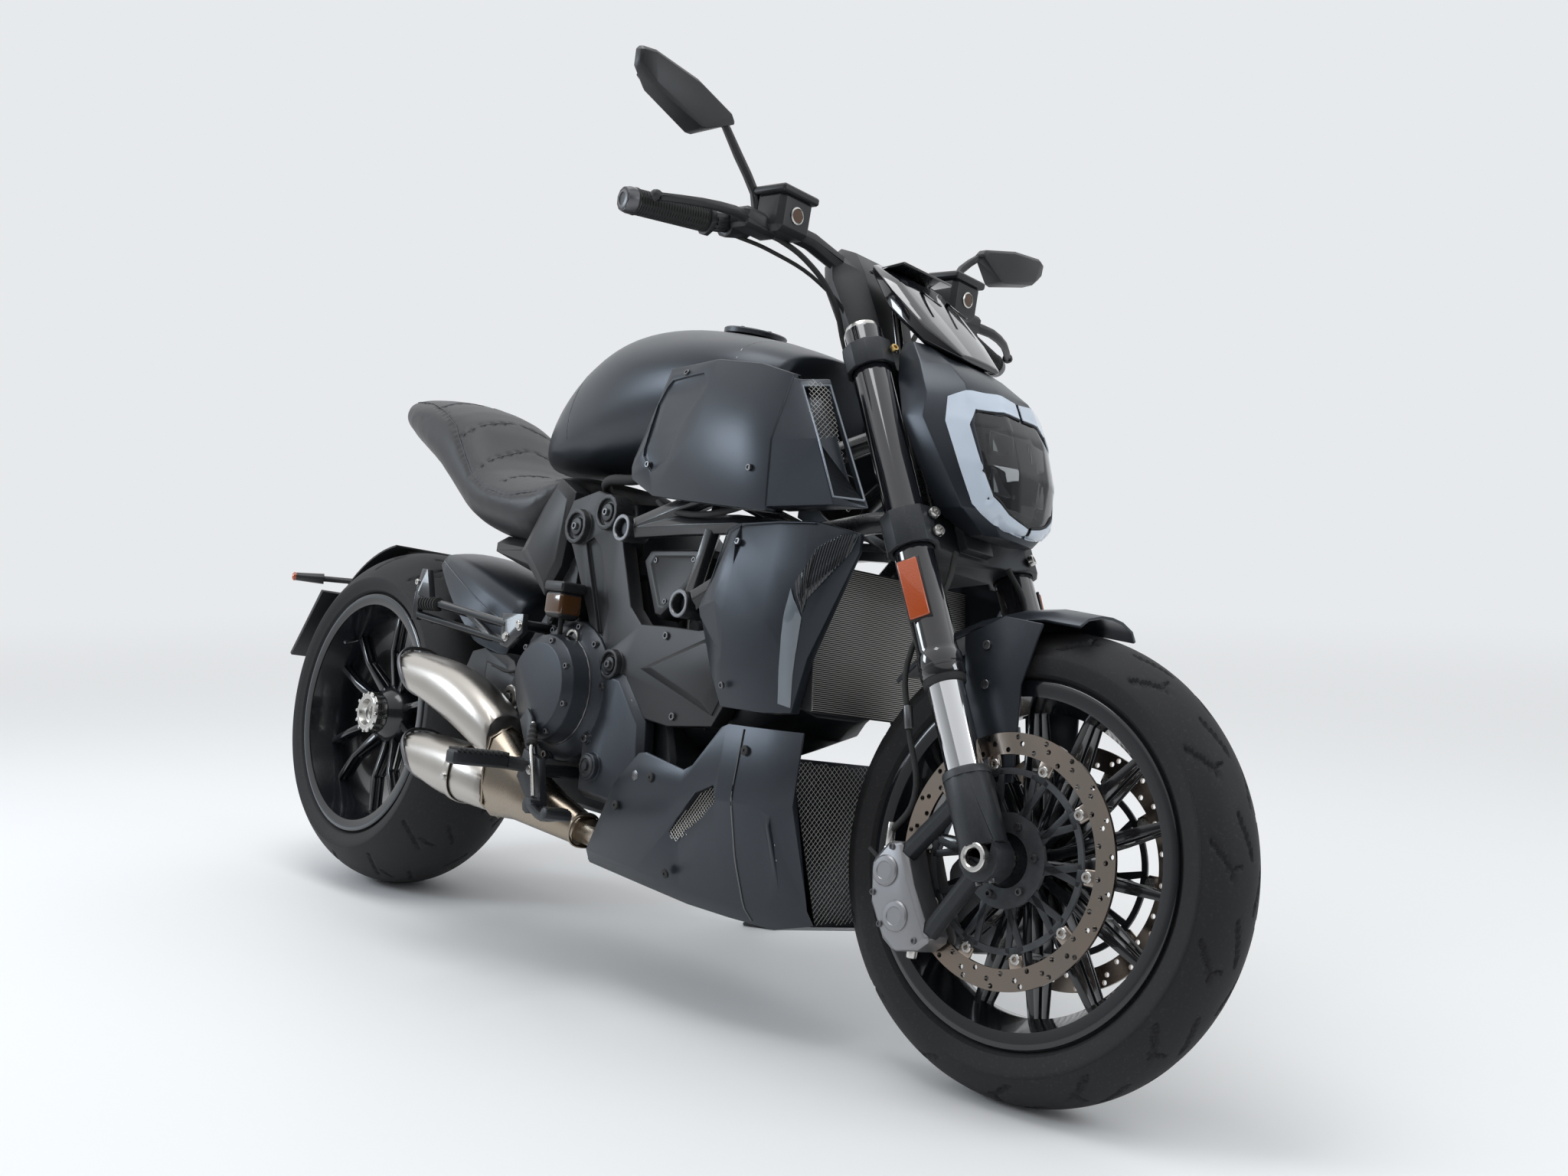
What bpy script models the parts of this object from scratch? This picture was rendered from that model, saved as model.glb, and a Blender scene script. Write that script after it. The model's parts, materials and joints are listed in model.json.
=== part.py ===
"""A naked power cruiser motorcycle, parked on its side stand.

Every piece is drawn upright in the machine's own axes: X forward, Y to the rider's left, Z up, with
the rear tyre standing on the origin. Empties then turn the steering a little to the left and lean
the whole machine on to its stand, and the finished machine is centred over the floor's origin.
"""

import math

import bmesh
import bpy
from mathutils import Matrix, Quaternion, Vector

# Stance
WHEELBASE = 1.600
# The wheelbase at which the front pieces are drawn; they slide forward or back with the axle
DRAWN_WHEELBASE = 1.600
RAKE = math.radians(27.0)
TRAIL = 0.120
LEAN = math.radians(10.3)
REST_STEER = math.radians(4.7)

# Gaps between pieces
GAP = 0.0003
PIN_GAP = 0.0006

# Wheels and tyres
BEAD_RADIUS = 0.2165
FLANGE_RADIUS = 0.2295
FLANGE_LIP = 0.006
RIM_WALL = 0.008
FRONT_TYRE_RADIUS = 0.300
FRONT_TYRE_HALF = 0.060
FRONT_CROWN = 0.060
FRONT_BEAD_HALF = 0.0445
REAR_TYRE_RADIUS = 0.324
# The rear tyre radius that the tail's coordinates were drawn at
DRAWN_REAR_RADIUS = 0.324
REAR_TYRE_HALF = 0.120
REAR_CROWN = 0.140
REAR_BEAD_HALF = 0.1025
SPOKE_PAIRS = 7
TYRE_STEPS = 28
TREAD_POINTS = 6

# Brakes
DISC_RADIUS = 0.160
DISC_INNER = 0.127
DISC_THICK = 0.005
DISC_SIDE = 0.0725
DISC_BOBBINS = 10
REAR_DISC_RADIUS = 0.1325
REAR_DISC_SIDE = 0.115

# Fork and steering
FORK_HALF = 0.113
FORK_TUBE_RADIUS = 0.0275
STANCHION_RADIUS = 0.024
FORK_TOP = 1.100
SEAL_HEIGHT = 0.560
FOOT_HEIGHT = 0.435
LOWER_CLAMP = (0.744, 0.797)
UPPER_CLAMP = (1.022, 1.060)
HEAD_RADIUS = 0.032
STEM_RADIUS = 0.016
AXLE_RADIUS = 0.0145
AXLE_BORE = 0.0115
AXLE_HALF = 0.140
BAR_RADIUS = 0.0145
GRIP_RADIUS = 0.0175
BAR_END_HALF = 0.430
LAMP_BACK = 0.060

# Rear end
PIVOT = Vector((0.570, 0.0, 0.400))
FRONT_SPROCKET = Vector((0.640, 0.0, 0.410))
FRONT_SPROCKET_RADIUS = 0.036
REAR_SPROCKET_RADIUS = 0.104
REAR_TEETH = 43
FRONT_TEETH = 15
CHAIN_SIDE = 0.203
CHAIN_WIDTH = 0.020
CHAIN_DEPTH = 0.014
SWINGARM_SIDE = 0.130
SWINGARM_OUTER = 0.184
HUB_RADIUS = 0.075

# Engine
CASE_BOTTOM = 0.248

# Body
COVER_WALL = 0.174
RADIATOR_HALF = 0.154
BELLY_WALL = 0.006
STAND_PIVOT = Vector((0.655, 0.142, 0.222))
STAND_FOOT = Vector((0.745, 0.335, 0.0))
FOOT_THICK = 0.007

# Derived places
STEER_POINT = Vector((WHEELBASE + TRAIL, 0.0, 0.0))
STEER_AXIS = Vector((-math.sin(RAKE), 0.0, math.cos(RAKE)))
STEER_FORWARD = Vector((math.cos(RAKE), 0.0, math.sin(RAKE)))
REAR_AXLE = Vector((0.0, 0.0, REAR_TYRE_RADIUS))
FRONT_AXLE = Vector((WHEELBASE, 0.0, FRONT_TYRE_RADIUS))
FORK_OFFSET = (FRONT_AXLE - STEER_POINT).dot(STEER_FORWARD)
AXLE_HEIGHT = (FRONT_AXLE - STEER_POINT).dot(STEER_AXIS)
FORK_SPACE = Matrix.Translation(STEER_POINT) @ Matrix(
    (
        (STEER_FORWARD.x, 0.0, STEER_AXIS.x, 0.0),
        (0.0, 1.0, 0.0, 0.0),
        (STEER_FORWARD.z, 0.0, STEER_AXIS.z, 0.0),
        (0.0, 0.0, 0.0, 1.0),
    )
)


# Modelling tools


def clear_scene():
    for old in list(bpy.data.objects):
        bpy.data.objects.remove(old, do_unlink=True)


def link(name, data):
    made = bpy.data.objects.new(name, data)
    bpy.context.scene.collection.objects.link(made)
    return made


def face_out(bm):
    """Turns the faces of closed solids outwards."""
    bmesh.ops.recalc_face_normals(bm, faces=bm.faces)
    if bm.calc_volume(signed=True) < 0:
        bmesh.ops.reverse_faces(bm, faces=bm.faces)


def from_bmesh(bm, name="piece"):
    face_out(bm)
    mesh = bpy.data.meshes.new(name)
    bm.to_mesh(mesh)
    bm.free()
    return link(name, mesh)


def bake(piece):
    """Replaces a piece by the closed mesh that its curve and modifiers make."""
    graph = bpy.context.evaluated_depsgraph_get()
    mesh = bpy.data.meshes.new_from_object(piece.evaluated_get(graph))
    bm = bmesh.new()
    bm.from_mesh(mesh)
    bmesh.ops.remove_doubles(bm, verts=bm.verts, dist=1e-6)
    face_out(bm)
    bm.to_mesh(mesh)
    bm.free()
    made = link(piece.name, mesh)
    mesh.transform(piece.matrix_world)
    bpy.data.objects.remove(piece, do_unlink=True)
    return made


def moved(piece, matrix):
    piece.data.transform(matrix)
    if matrix.determinant() < 0:
        piece.data.flip_normals()
    return piece


def in_fork(piece):
    """Takes a piece drawn in the fork's axes, X forward and Z up along the steering axis, to the machine."""
    return moved(piece, FORK_SPACE)


def with_axle(piece):
    """Slides a front piece, drawn at the drawn wheelbase, along with the front axle."""
    return moved(piece, Matrix.Translation((WHEELBASE - DRAWN_WHEELBASE, 0.0, 0.0)))


def fork_point(along, side=0.0, forward=0.0):
    return FORK_SPACE @ Vector((forward, side, along))


def combine(first, second, operation, keep=False):
    modifier = first.modifiers.new(operation, "BOOLEAN")
    modifier.operation = operation
    modifier.solver = "EXACT"
    modifier.object = second
    made = bake(first)
    if not keep:
        bpy.data.objects.remove(second, do_unlink=True)
    return made


def union(first, *others):
    for other in others:
        first = combine(first, other, "UNION")
    return first


def cut(piece, *cutters):
    for cutter in cutters:
        piece = combine(piece, cutter, "DIFFERENCE")
    return piece


def grown(piece, by):
    """A copy whose faces have moved outwards, used to cut a neighbour with a gap."""
    copy = link("cutter", piece.data.copy())
    displace = copy.modifiers.new("Displace", "DISPLACE")
    displace.strength = by
    displace.mid_level = 0.0
    return bake(copy)


def seated(piece, *neighbours, gap=GAP):
    """Cuts a piece to the shape of its neighbours, so that it seats against them."""
    for neighbour in neighbours:
        piece = combine(piece, grown(neighbour, gap), "DIFFERENCE")
    return piece


def rounded(piece, width, segments=1, angle=40.0):
    bevel = piece.modifiers.new("Bevel", "BEVEL")
    bevel.width = width
    bevel.segments = segments
    bevel.limit_method = "ANGLE"
    bevel.angle_limit = math.radians(angle)
    return bake(piece)


def together(pieces):
    """One object from separate solids that don't touch, to be joined by one union with what carries them."""
    bm = bmesh.new()
    for piece in pieces:
        bm.from_mesh(piece.data)
        bpy.data.objects.remove(piece, do_unlink=True)
    return from_bmesh(bm)


def mirrored(piece):
    """The same piece for the other side of the machine."""
    copy = link(piece.name, piece.data.copy())
    return moved(copy, Matrix.Diagonal((1.0, -1.0, 1.0, 1.0)))


def on_side(piece, side):
    """Moves a piece that was drawn on the left to the right, for side -1."""
    return piece if side > 0 else moved(piece, Matrix.Diagonal((1.0, -1.0, 1.0, 1.0)))


def rod(start, end, radius, sides=12, end_radius=None):
    start = Vector(start)
    end = Vector(end)
    bm = bmesh.new()
    length = (end - start).length
    bmesh.ops.create_cone(
        bm,
        cap_ends=True,
        segments=sides,
        radius1=radius,
        radius2=radius if end_radius is None else end_radius,
        depth=length,
    )
    turn = (end - start).to_track_quat("Z", "Y").to_matrix().to_4x4()
    bm.transform(Matrix.Translation((start + end) / 2) @ turn)
    return from_bmesh(bm)


def bore(start, end, radius, sides=16, gap=GAP):
    """A cutter whose flats clear a round pin of the given radius by the gap."""
    return rod(start, end, round_hole(radius, sides, gap), sides)


def round_hole(radius, sides=16, gap=GAP):
    return (radius + gap) / math.cos(math.pi / sides)


def block(low, high):
    low = Vector(low)
    high = Vector(high)
    bm = bmesh.new()
    bmesh.ops.create_cube(bm, size=1.0)
    bm.transform(Matrix.Translation((low + high) / 2) @ Matrix.Diagonal((*(high - low), 1.0)))
    return from_bmesh(bm)


def turned(profile, steps=32, centre=(0.0, 0.0, 0.0), axis="Y"):
    """A turned shape from (radius, along) points, closed on itself, about the Y or Z axis."""
    mesh = bpy.data.meshes.new("profile")
    points = [(radius, 0.0, along) for radius, along in profile]
    edges = [(i, (i + 1) % len(points)) for i in range(len(points))]
    mesh.from_pydata(points, edges, [])
    piece = link("turned", mesh)
    screw = piece.modifiers.new("Screw", "SCREW")
    screw.steps = steps
    screw.render_steps = steps
    screw.use_merge_vertices = True
    screw.merge_threshold = 1e-5
    piece = bake(piece)
    bm = bmesh.new()
    bm.from_mesh(piece.data)
    bmesh.ops.delete(bm, geom=[edge for edge in bm.edges if edge.is_wire], context="EDGES")
    bm.to_mesh(piece.data)
    bm.free()
    turn = Matrix.Rotation(math.radians(-90.0), 4, "X") if axis == "Y" else Matrix()
    return moved(piece, Matrix.Translation(centre) @ turn)


def smooth_path(points, steps=4):
    """Points along a smooth curve that passes through the given ones."""
    points = [Vector(p) for p in points]
    ends = [2 * points[0] - points[1], *points, 2 * points[-1] - points[-2]]
    path = []
    for a, b, c, d in zip(ends, ends[1:], ends[2:], ends[3:]):
        for k in range(steps):
            t = k / steps
            path.append(
                0.5 * (2 * b + (c - a) * t + (2 * a - 5 * b + 4 * c - d) * t * t
                       + (3 * b - a - 3 * c + d) * t ** 3)
            )
    return [*path, points[-1]]


def tube(points, radius, resolution=3, steps=4):
    """A round tube along a smooth path; a single radius, or one for each given point."""
    path = smooth_path(points, steps) if steps > 1 else [Vector(p) for p in points]
    curve = bpy.data.curves.new("tube", "CURVE")
    curve.dimensions = "3D"
    curve.bevel_depth = 1.0
    curve.bevel_resolution = resolution
    curve.use_fill_caps = True
    spline = curve.splines.new("POLY")
    spline.points.add(len(path) - 1)
    radii = radius if isinstance(radius, (list, tuple)) else [radius] * len(points)
    for i, (point, place) in enumerate(zip(spline.points, path)):
        point.co = (*place, 1.0)
        share = i / (len(path) - 1) * (len(radii) - 1)
        k = min(int(share), len(radii) - 2)
        point.radius = radii[k] + (radii[k + 1] - radii[k]) * (share - k)
    return bake(link("tube", curve))


def arc(centre, radius, start, end, count):
    """Points on a circle, with angles in degrees."""
    angles = [math.radians(start + (end - start) * i / count) for i in range(count + 1)]
    return [(centre[0] + radius * math.cos(a), centre[1] + radius * math.sin(a)) for a in angles]


def plate(outline, near, far, holes=()):
    """A flat outline in X and Z, filled and given its thickness from Y near to Y far."""
    curve = bpy.data.curves.new("plate", "CURVE")
    curve.dimensions = "2D"
    curve.fill_mode = "BOTH"
    curve.extrude = abs(far - near) / 2
    for loop in (outline, *holes):
        spline = curve.splines.new("POLY")
        spline.points.add(len(loop) - 1)
        for point, (x, z) in zip(spline.points, loop):
            point.co = (x, z, 0.0, 1.0)
        spline.use_cyclic_u = True
    piece = bake(link("plate", curve))
    turn = Matrix.Rotation(math.radians(90.0), 4, "X")
    return moved(piece, Matrix.Translation((0.0, (near + far) / 2, 0.0)) @ turn)


def loft(rings):
    """A closed solid through rings that hold the same number of points."""
    bm = bmesh.new()
    loops = [[bm.verts.new(p) for p in ring] for ring in rings]
    count = len(loops[0])
    for near, far in zip(loops, loops[1:]):
        for i in range(count):
            j = (i + 1) % count
            bm.faces.new((near[i], near[j], far[j], far[i]))
    bm.faces.new(loops[0])
    bm.faces.new(loops[-1])
    # Bent faces are split here, so that a neighbour seated on them follows the same creases
    bmesh.ops.triangulate(bm, faces=bm.faces[:])
    return from_bmesh(bm)


def power(value, exponent):
    return math.copysign(abs(value) ** exponent, value)


def section(x, half, low, waist, high, count=20, square=2.4):
    """A body section across the machine: wide at the waist, rounded above and below it."""
    ring = []
    for i in range(count):
        angle = 2 * math.pi * (i + 0.5) / count
        y = half * power(math.cos(angle), 2 / square)
        up = power(math.sin(angle), 2 / square)
        ring.append((x, y, waist + up * ((high - waist) if up > 0 else (waist - low))))
    return ring


def level_section(z, half, back, front, count=20, square=2.6, middle=0.5):
    """A body section at one height: widest at the share of its depth that middle gives."""
    ring = []
    waist = back + (front - back) * middle
    for i in range(count):
        angle = 2 * math.pi * (i + 0.5) / count
        along = power(math.cos(angle), 2 / square)
        y = half * power(math.sin(angle), 2 / square)
        ring.append((waist + along * ((front - waist) if along > 0 else (waist - back)), y, z))
    return ring


def oval_ring(centre, direction, half_wide, half_high, count=16, square=2.5):
    """An oval across a direction that lies near the machine's length."""
    direction = Vector(direction).normalized()
    wide = Vector((0.0, 1.0, 0.0))
    wide = (wide - direction * wide.dot(direction)).normalized()
    high = direction.cross(wide)
    ring = []
    for i in range(count):
        angle = 2 * math.pi * (i + 0.5) / count
        across = half_wide * power(math.cos(angle), 2 / square)
        up = half_high * power(math.sin(angle), 2 / square)
        ring.append(Vector(centre) + wide * across + high * up)
    return ring


# Materials


def material(name, colour, roughness=0.5, metallic=0.0):
    made = bpy.data.materials.new(name)
    made.use_nodes = True
    shader = made.node_tree.nodes["Principled BSDF"]
    shader.inputs["Base Color"].default_value = (*colour, 1.0)
    shader.inputs["Roughness"].default_value = roughness
    shader.inputs["Metallic"].default_value = metallic
    return made


def make_materials():
    return {
        "paint": material("satin_black_paint", (0.030, 0.034, 0.040), 0.42),
        "plastic": material("black_plastic", (0.018, 0.019, 0.021), 0.55),
        "gloss": material("gloss_black", (0.006, 0.006, 0.008), 0.12),
        "frame": material("frame_black", (0.010, 0.011, 0.014), 0.28),
        "casting": material("grey_casting", (0.040, 0.043, 0.048), 0.5, 0.4),
        "wheel": material("wheel_black", (0.010, 0.011, 0.013), 0.3),
        "tyre": material("tyre_rubber", (0.018, 0.018, 0.018), 0.85),
        "steel": material("brushed_steel", (0.50, 0.47, 0.43), 0.32, 1.0),
        "chrome": material("hard_chrome", (0.72, 0.73, 0.75), 0.08, 1.0),
        "disc": material("disc_steel", (0.42, 0.40, 0.38), 0.3, 1.0),
        "caliper": material("caliper_silver", (0.45, 0.45, 0.45), 0.4, 0.6),
        "rubber": material("rubber", (0.012, 0.012, 0.012), 0.8),
        "seat": material("seat_cover", (0.035, 0.035, 0.037), 0.7),
        "lens": material("lamp_lens", (0.62, 0.68, 0.74), 0.08),
        "smoke": material("smoked_lens", (0.08, 0.085, 0.09), 0.15),
        "mesh": material("grille_mesh", (0.30, 0.29, 0.27), 0.4, 0.8),
    }


# Wheels


def tyre(radius, crown, half, bead_half, crown_angle, side_radius):
    """A tyre's closed section: crown, sidewalls, beads and the hollow inside."""
    outer = [
        (radius - crown + crown * math.cos(a), crown * math.sin(a))
        for a in (
            math.radians(crown_angle * (2 * i / TREAD_POINTS - 1)) for i in range(TREAD_POINTS + 1)
        )
    ]
    right = [(side_radius, half), (FLANGE_RADIUS + 0.008, bead_half + 0.009), (FLANGE_RADIUS + GAP, bead_half)]
    right += [(BEAD_RADIUS + GAP, bead_half), (BEAD_RADIUS + GAP, bead_half - 0.014)]
    inside = [
        (side_radius, half - 0.011),
        (radius - 0.014, 0.0),
    ]
    left = [(r, -y) for r, y in reversed(inside[:-1])] + [(r, -y) for r, y in reversed(right)]
    return outer + right + inside + left


def barrel(bead_half, well_radius):
    """A rim's section: flanges, bead seats and a dropped centre, with a thin wall."""
    lip = bead_half + 0.0005
    upper = [
        (FLANGE_RADIUS, lip + FLANGE_LIP),
        (FLANGE_RADIUS, lip),
        (BEAD_RADIUS, lip - 0.0002),
        (BEAD_RADIUS, lip - 0.018),
        (well_radius, lip - 0.032),
    ]
    outer = upper + [(r, -y) for r, y in reversed(upper)]
    under = [
        (BEAD_RADIUS - RIM_WALL, -(lip + FLANGE_LIP)),
        (well_radius - RIM_WALL, -(lip - 0.034)),
    ]
    return outer + under + [(r, -y) for r, y in reversed(under)]


def spoke(angle, start, end, root, tip, side_root, side_tip, depth_root, depth_tip, offset=0.0):
    """A tapering spoke from the hub to the rim, drawn about the Y axis."""
    rings = []
    for k in range(3):
        t = k / 2
        radius = start + (end - start) * t
        wide = root + (tip - root) * t
        depth = depth_root + (depth_tip - depth_root) * t
        side = side_root + (side_tip - side_root) * t ** 1.5
        slide = offset * (1 - t)
        rings.append(
            [
                (radius, side - depth / 2, slide - wide / 2),
                (radius, side + depth / 2, slide - wide / 2),
                (radius, side + depth / 2, slide + wide / 2),
                (radius, side - depth / 2, slide + wide / 2),
            ]
        )
    return moved(loft(rings), Matrix.Rotation(math.radians(angle), 4, "Y"))


def ring_of_holes(radius, count, size, sides=10, turn=0.0):
    return [
        arc((radius * math.cos(a), radius * math.sin(a)), size, 0.0, 360.0 * (1 - 1 / sides), sides - 1)
        for a in (math.radians(turn + 360.0 * i / count) for i in range(count))
    ]


def sector(inner, outer, start, end, steps=4):
    """A window between two radii, as a closed loop."""
    return arc((0, 0), inner, start, end, steps) + list(reversed(arc((0, 0), outer, start, end, steps)))


def make_front_wheel(mats):
    pieces = []
    at_axle = Matrix.Translation(FRONT_AXLE)
    rubber = turned(
        tyre(FRONT_TYRE_RADIUS, FRONT_CROWN, FRONT_TYRE_HALF, FRONT_BEAD_HALF, 68.0, FRONT_TYRE_RADIUS - 0.038),
        TYRE_STEPS
    )
    pieces.append((moved(rubber, at_axle), "front_tyre", mats["tyre"]))

    hub_half = DISC_SIDE - DISC_THICK / 2 - GAP
    hub = turned(
        [
            (0.052, hub_half), (0.052, hub_half - 0.008), (0.041, hub_half - 0.022),
            (0.041, -hub_half + 0.022), (0.052, -hub_half + 0.008), (0.052, -hub_half),
            (0.010, -hub_half), (0.010, hub_half),
        ],
        16,
    )
    rim = turned(barrel(FRONT_BEAD_HALF, 0.200), TYRE_STEPS)
    spokes = together(
        spoke(360.0 * (i + 0.1) / (SPOKE_PAIRS * 2), 0.036, 0.196, 0.0145, 0.010, 0.0, 0.0, 0.046, 0.030)
        for i in range(SPOKE_PAIRS * 2)
    )
    wheel = union(spokes, hub, rim)
    wheel = cut(wheel, bore((0, -0.1, 0), (0, 0.1, 0), AXLE_RADIUS, 16, PIN_GAP))
    pieces.append((moved(wheel, at_axle), "front_rim", mats["wheel"]))

    windows = [sector(0.066, 0.118, 36 * i + 4, 36 * i + 28, 2) for i in range(DISC_BOBBINS)]
    windows.append(arc((0, 0), 0.034, 0, 337.5, 15))
    right = plate(
        arc((0, 0), DISC_RADIUS, 0, 350, 35), -DISC_SIDE - DISC_THICK / 2, -DISC_SIDE + DISC_THICK / 2, windows
    )
    left = mirrored(right)
    pieces.append((moved(right, at_axle), "front_disc_right", mats["disc"]))
    pieces.append((moved(left, at_axle), "front_disc_left", mats["disc"]))
    return pieces


def make_rear_wheel(mats):
    pieces = []
    at_axle = Matrix.Translation(REAR_AXLE)
    rubber = turned(
        tyre(REAR_TYRE_RADIUS, REAR_CROWN, REAR_TYRE_HALF, REAR_BEAD_HALF, 56.0, REAR_TYRE_RADIUS - 0.066), TYRE_STEPS
    )
    pieces.append((moved(rubber, at_axle), "rear_tyre", mats["tyre"]))

    rim = turned(barrel(REAR_BEAD_HALF, 0.196), TYRE_STEPS)
    hub = turned(
        [
            (0.036, -0.072), (0.050, -0.060), (0.062, -0.040), (0.062, 0.030), (0.052, 0.060),
            (0.052, 0.0975), (0.012, 0.0975), (0.012, -0.072),
        ],
        16,
    )
    spokes = together(
        spoke(72.0 * i + lean * 13.0, 0.056, 0.193, 0.016, 0.011, -0.030, -0.056, 0.036, 0.022, -lean * 0.003)
        for i in range(5) for lean in (-1, 1)
    )
    wheel = union(spokes, hub, rim)
    wheel = cut(wheel, bore((0, -0.2, 0), (0, 0.2, 0), 0.0177))
    pieces.append((moved(wheel, at_axle), "rear_rim", mats["wheel"]))

    nut = turned(
        [
            (0.0300, 0.214), (0.0300, 0.0978), (0.0177, 0.0978), (0.0177, -0.0723), (0.040, -0.0723), (0.040, -0.094),
            (0.034, -0.098), (0.026, -0.098), (0.024, -0.084), (0.013, -0.084), (0.013, 0.214),
        ],
        14,
    )
    pieces.append((moved(nut, at_axle), "rear_axle", mats["steel"]))

    windows = [sector(0.066, 0.094, 60 * i + 8, 60 * i + 52, 2) for i in range(6)]
    windows.append(arc((0, 0), round_hole(0.0300), 0, 337.5, 15))
    disc = plate(
        arc((0, 0), REAR_DISC_RADIUS, 0, 348, 29), REAR_DISC_SIDE - 0.0025, REAR_DISC_SIDE + 0.0025, windows
    )
    spacer = turned([(0.060, 0.0978), (0.060, REAR_DISC_SIDE), (0.040, REAR_DISC_SIDE), (0.040, 0.0978)], 16)
    disc = union(disc, spacer)
    pieces.append((moved(disc, at_axle), "rear_disc", mats["disc"]))

    teeth = []
    for i in range(REAR_TEETH):
        for share, radius in ((0.0, -0.0055), (0.45, 0.0)):
            a = 2 * math.pi * (i + share) / REAR_TEETH
            teeth.append(((REAR_SPROCKET_RADIUS + radius) * math.cos(a), (REAR_SPROCKET_RADIUS + radius) * math.sin(a)))
    windows = [sector(0.050, 0.080, 60 * i + 8, 60 * i + 52, 2) for i in range(6)]
    windows.append(arc((0, 0), round_hole(0.0300), 0, 337.5, 15))
    sprocket = plate(teeth, CHAIN_SIDE - 0.003, CHAIN_SIDE + 0.003, windows)
    pieces.append((moved(sprocket, at_axle), "rear_sprocket", mats["steel"]))
    return pieces


# Steering


def slab(outline, low, high, holes=()):
    """A flat outline in X and Y, with its thickness from Z low to Z high."""
    piece = plate([(x, -y) for x, y in outline], low, high, holes)
    return moved(piece, Matrix.Rotation(math.radians(90.0), 4, "X"))


def clamp_outline(grip, back, nose):
    """A clamp round both fork legs, waisted between them."""
    right = arc((FORK_OFFSET, -FORK_HALF), grip, 50, -230, 8)
    left = arc((FORK_OFFSET, FORK_HALF), grip, 230, -50, 8)
    return [*right, (-back, -0.038), (-back, 0.038), *left, (nose, 0.034), (nose, -0.034)]


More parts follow.
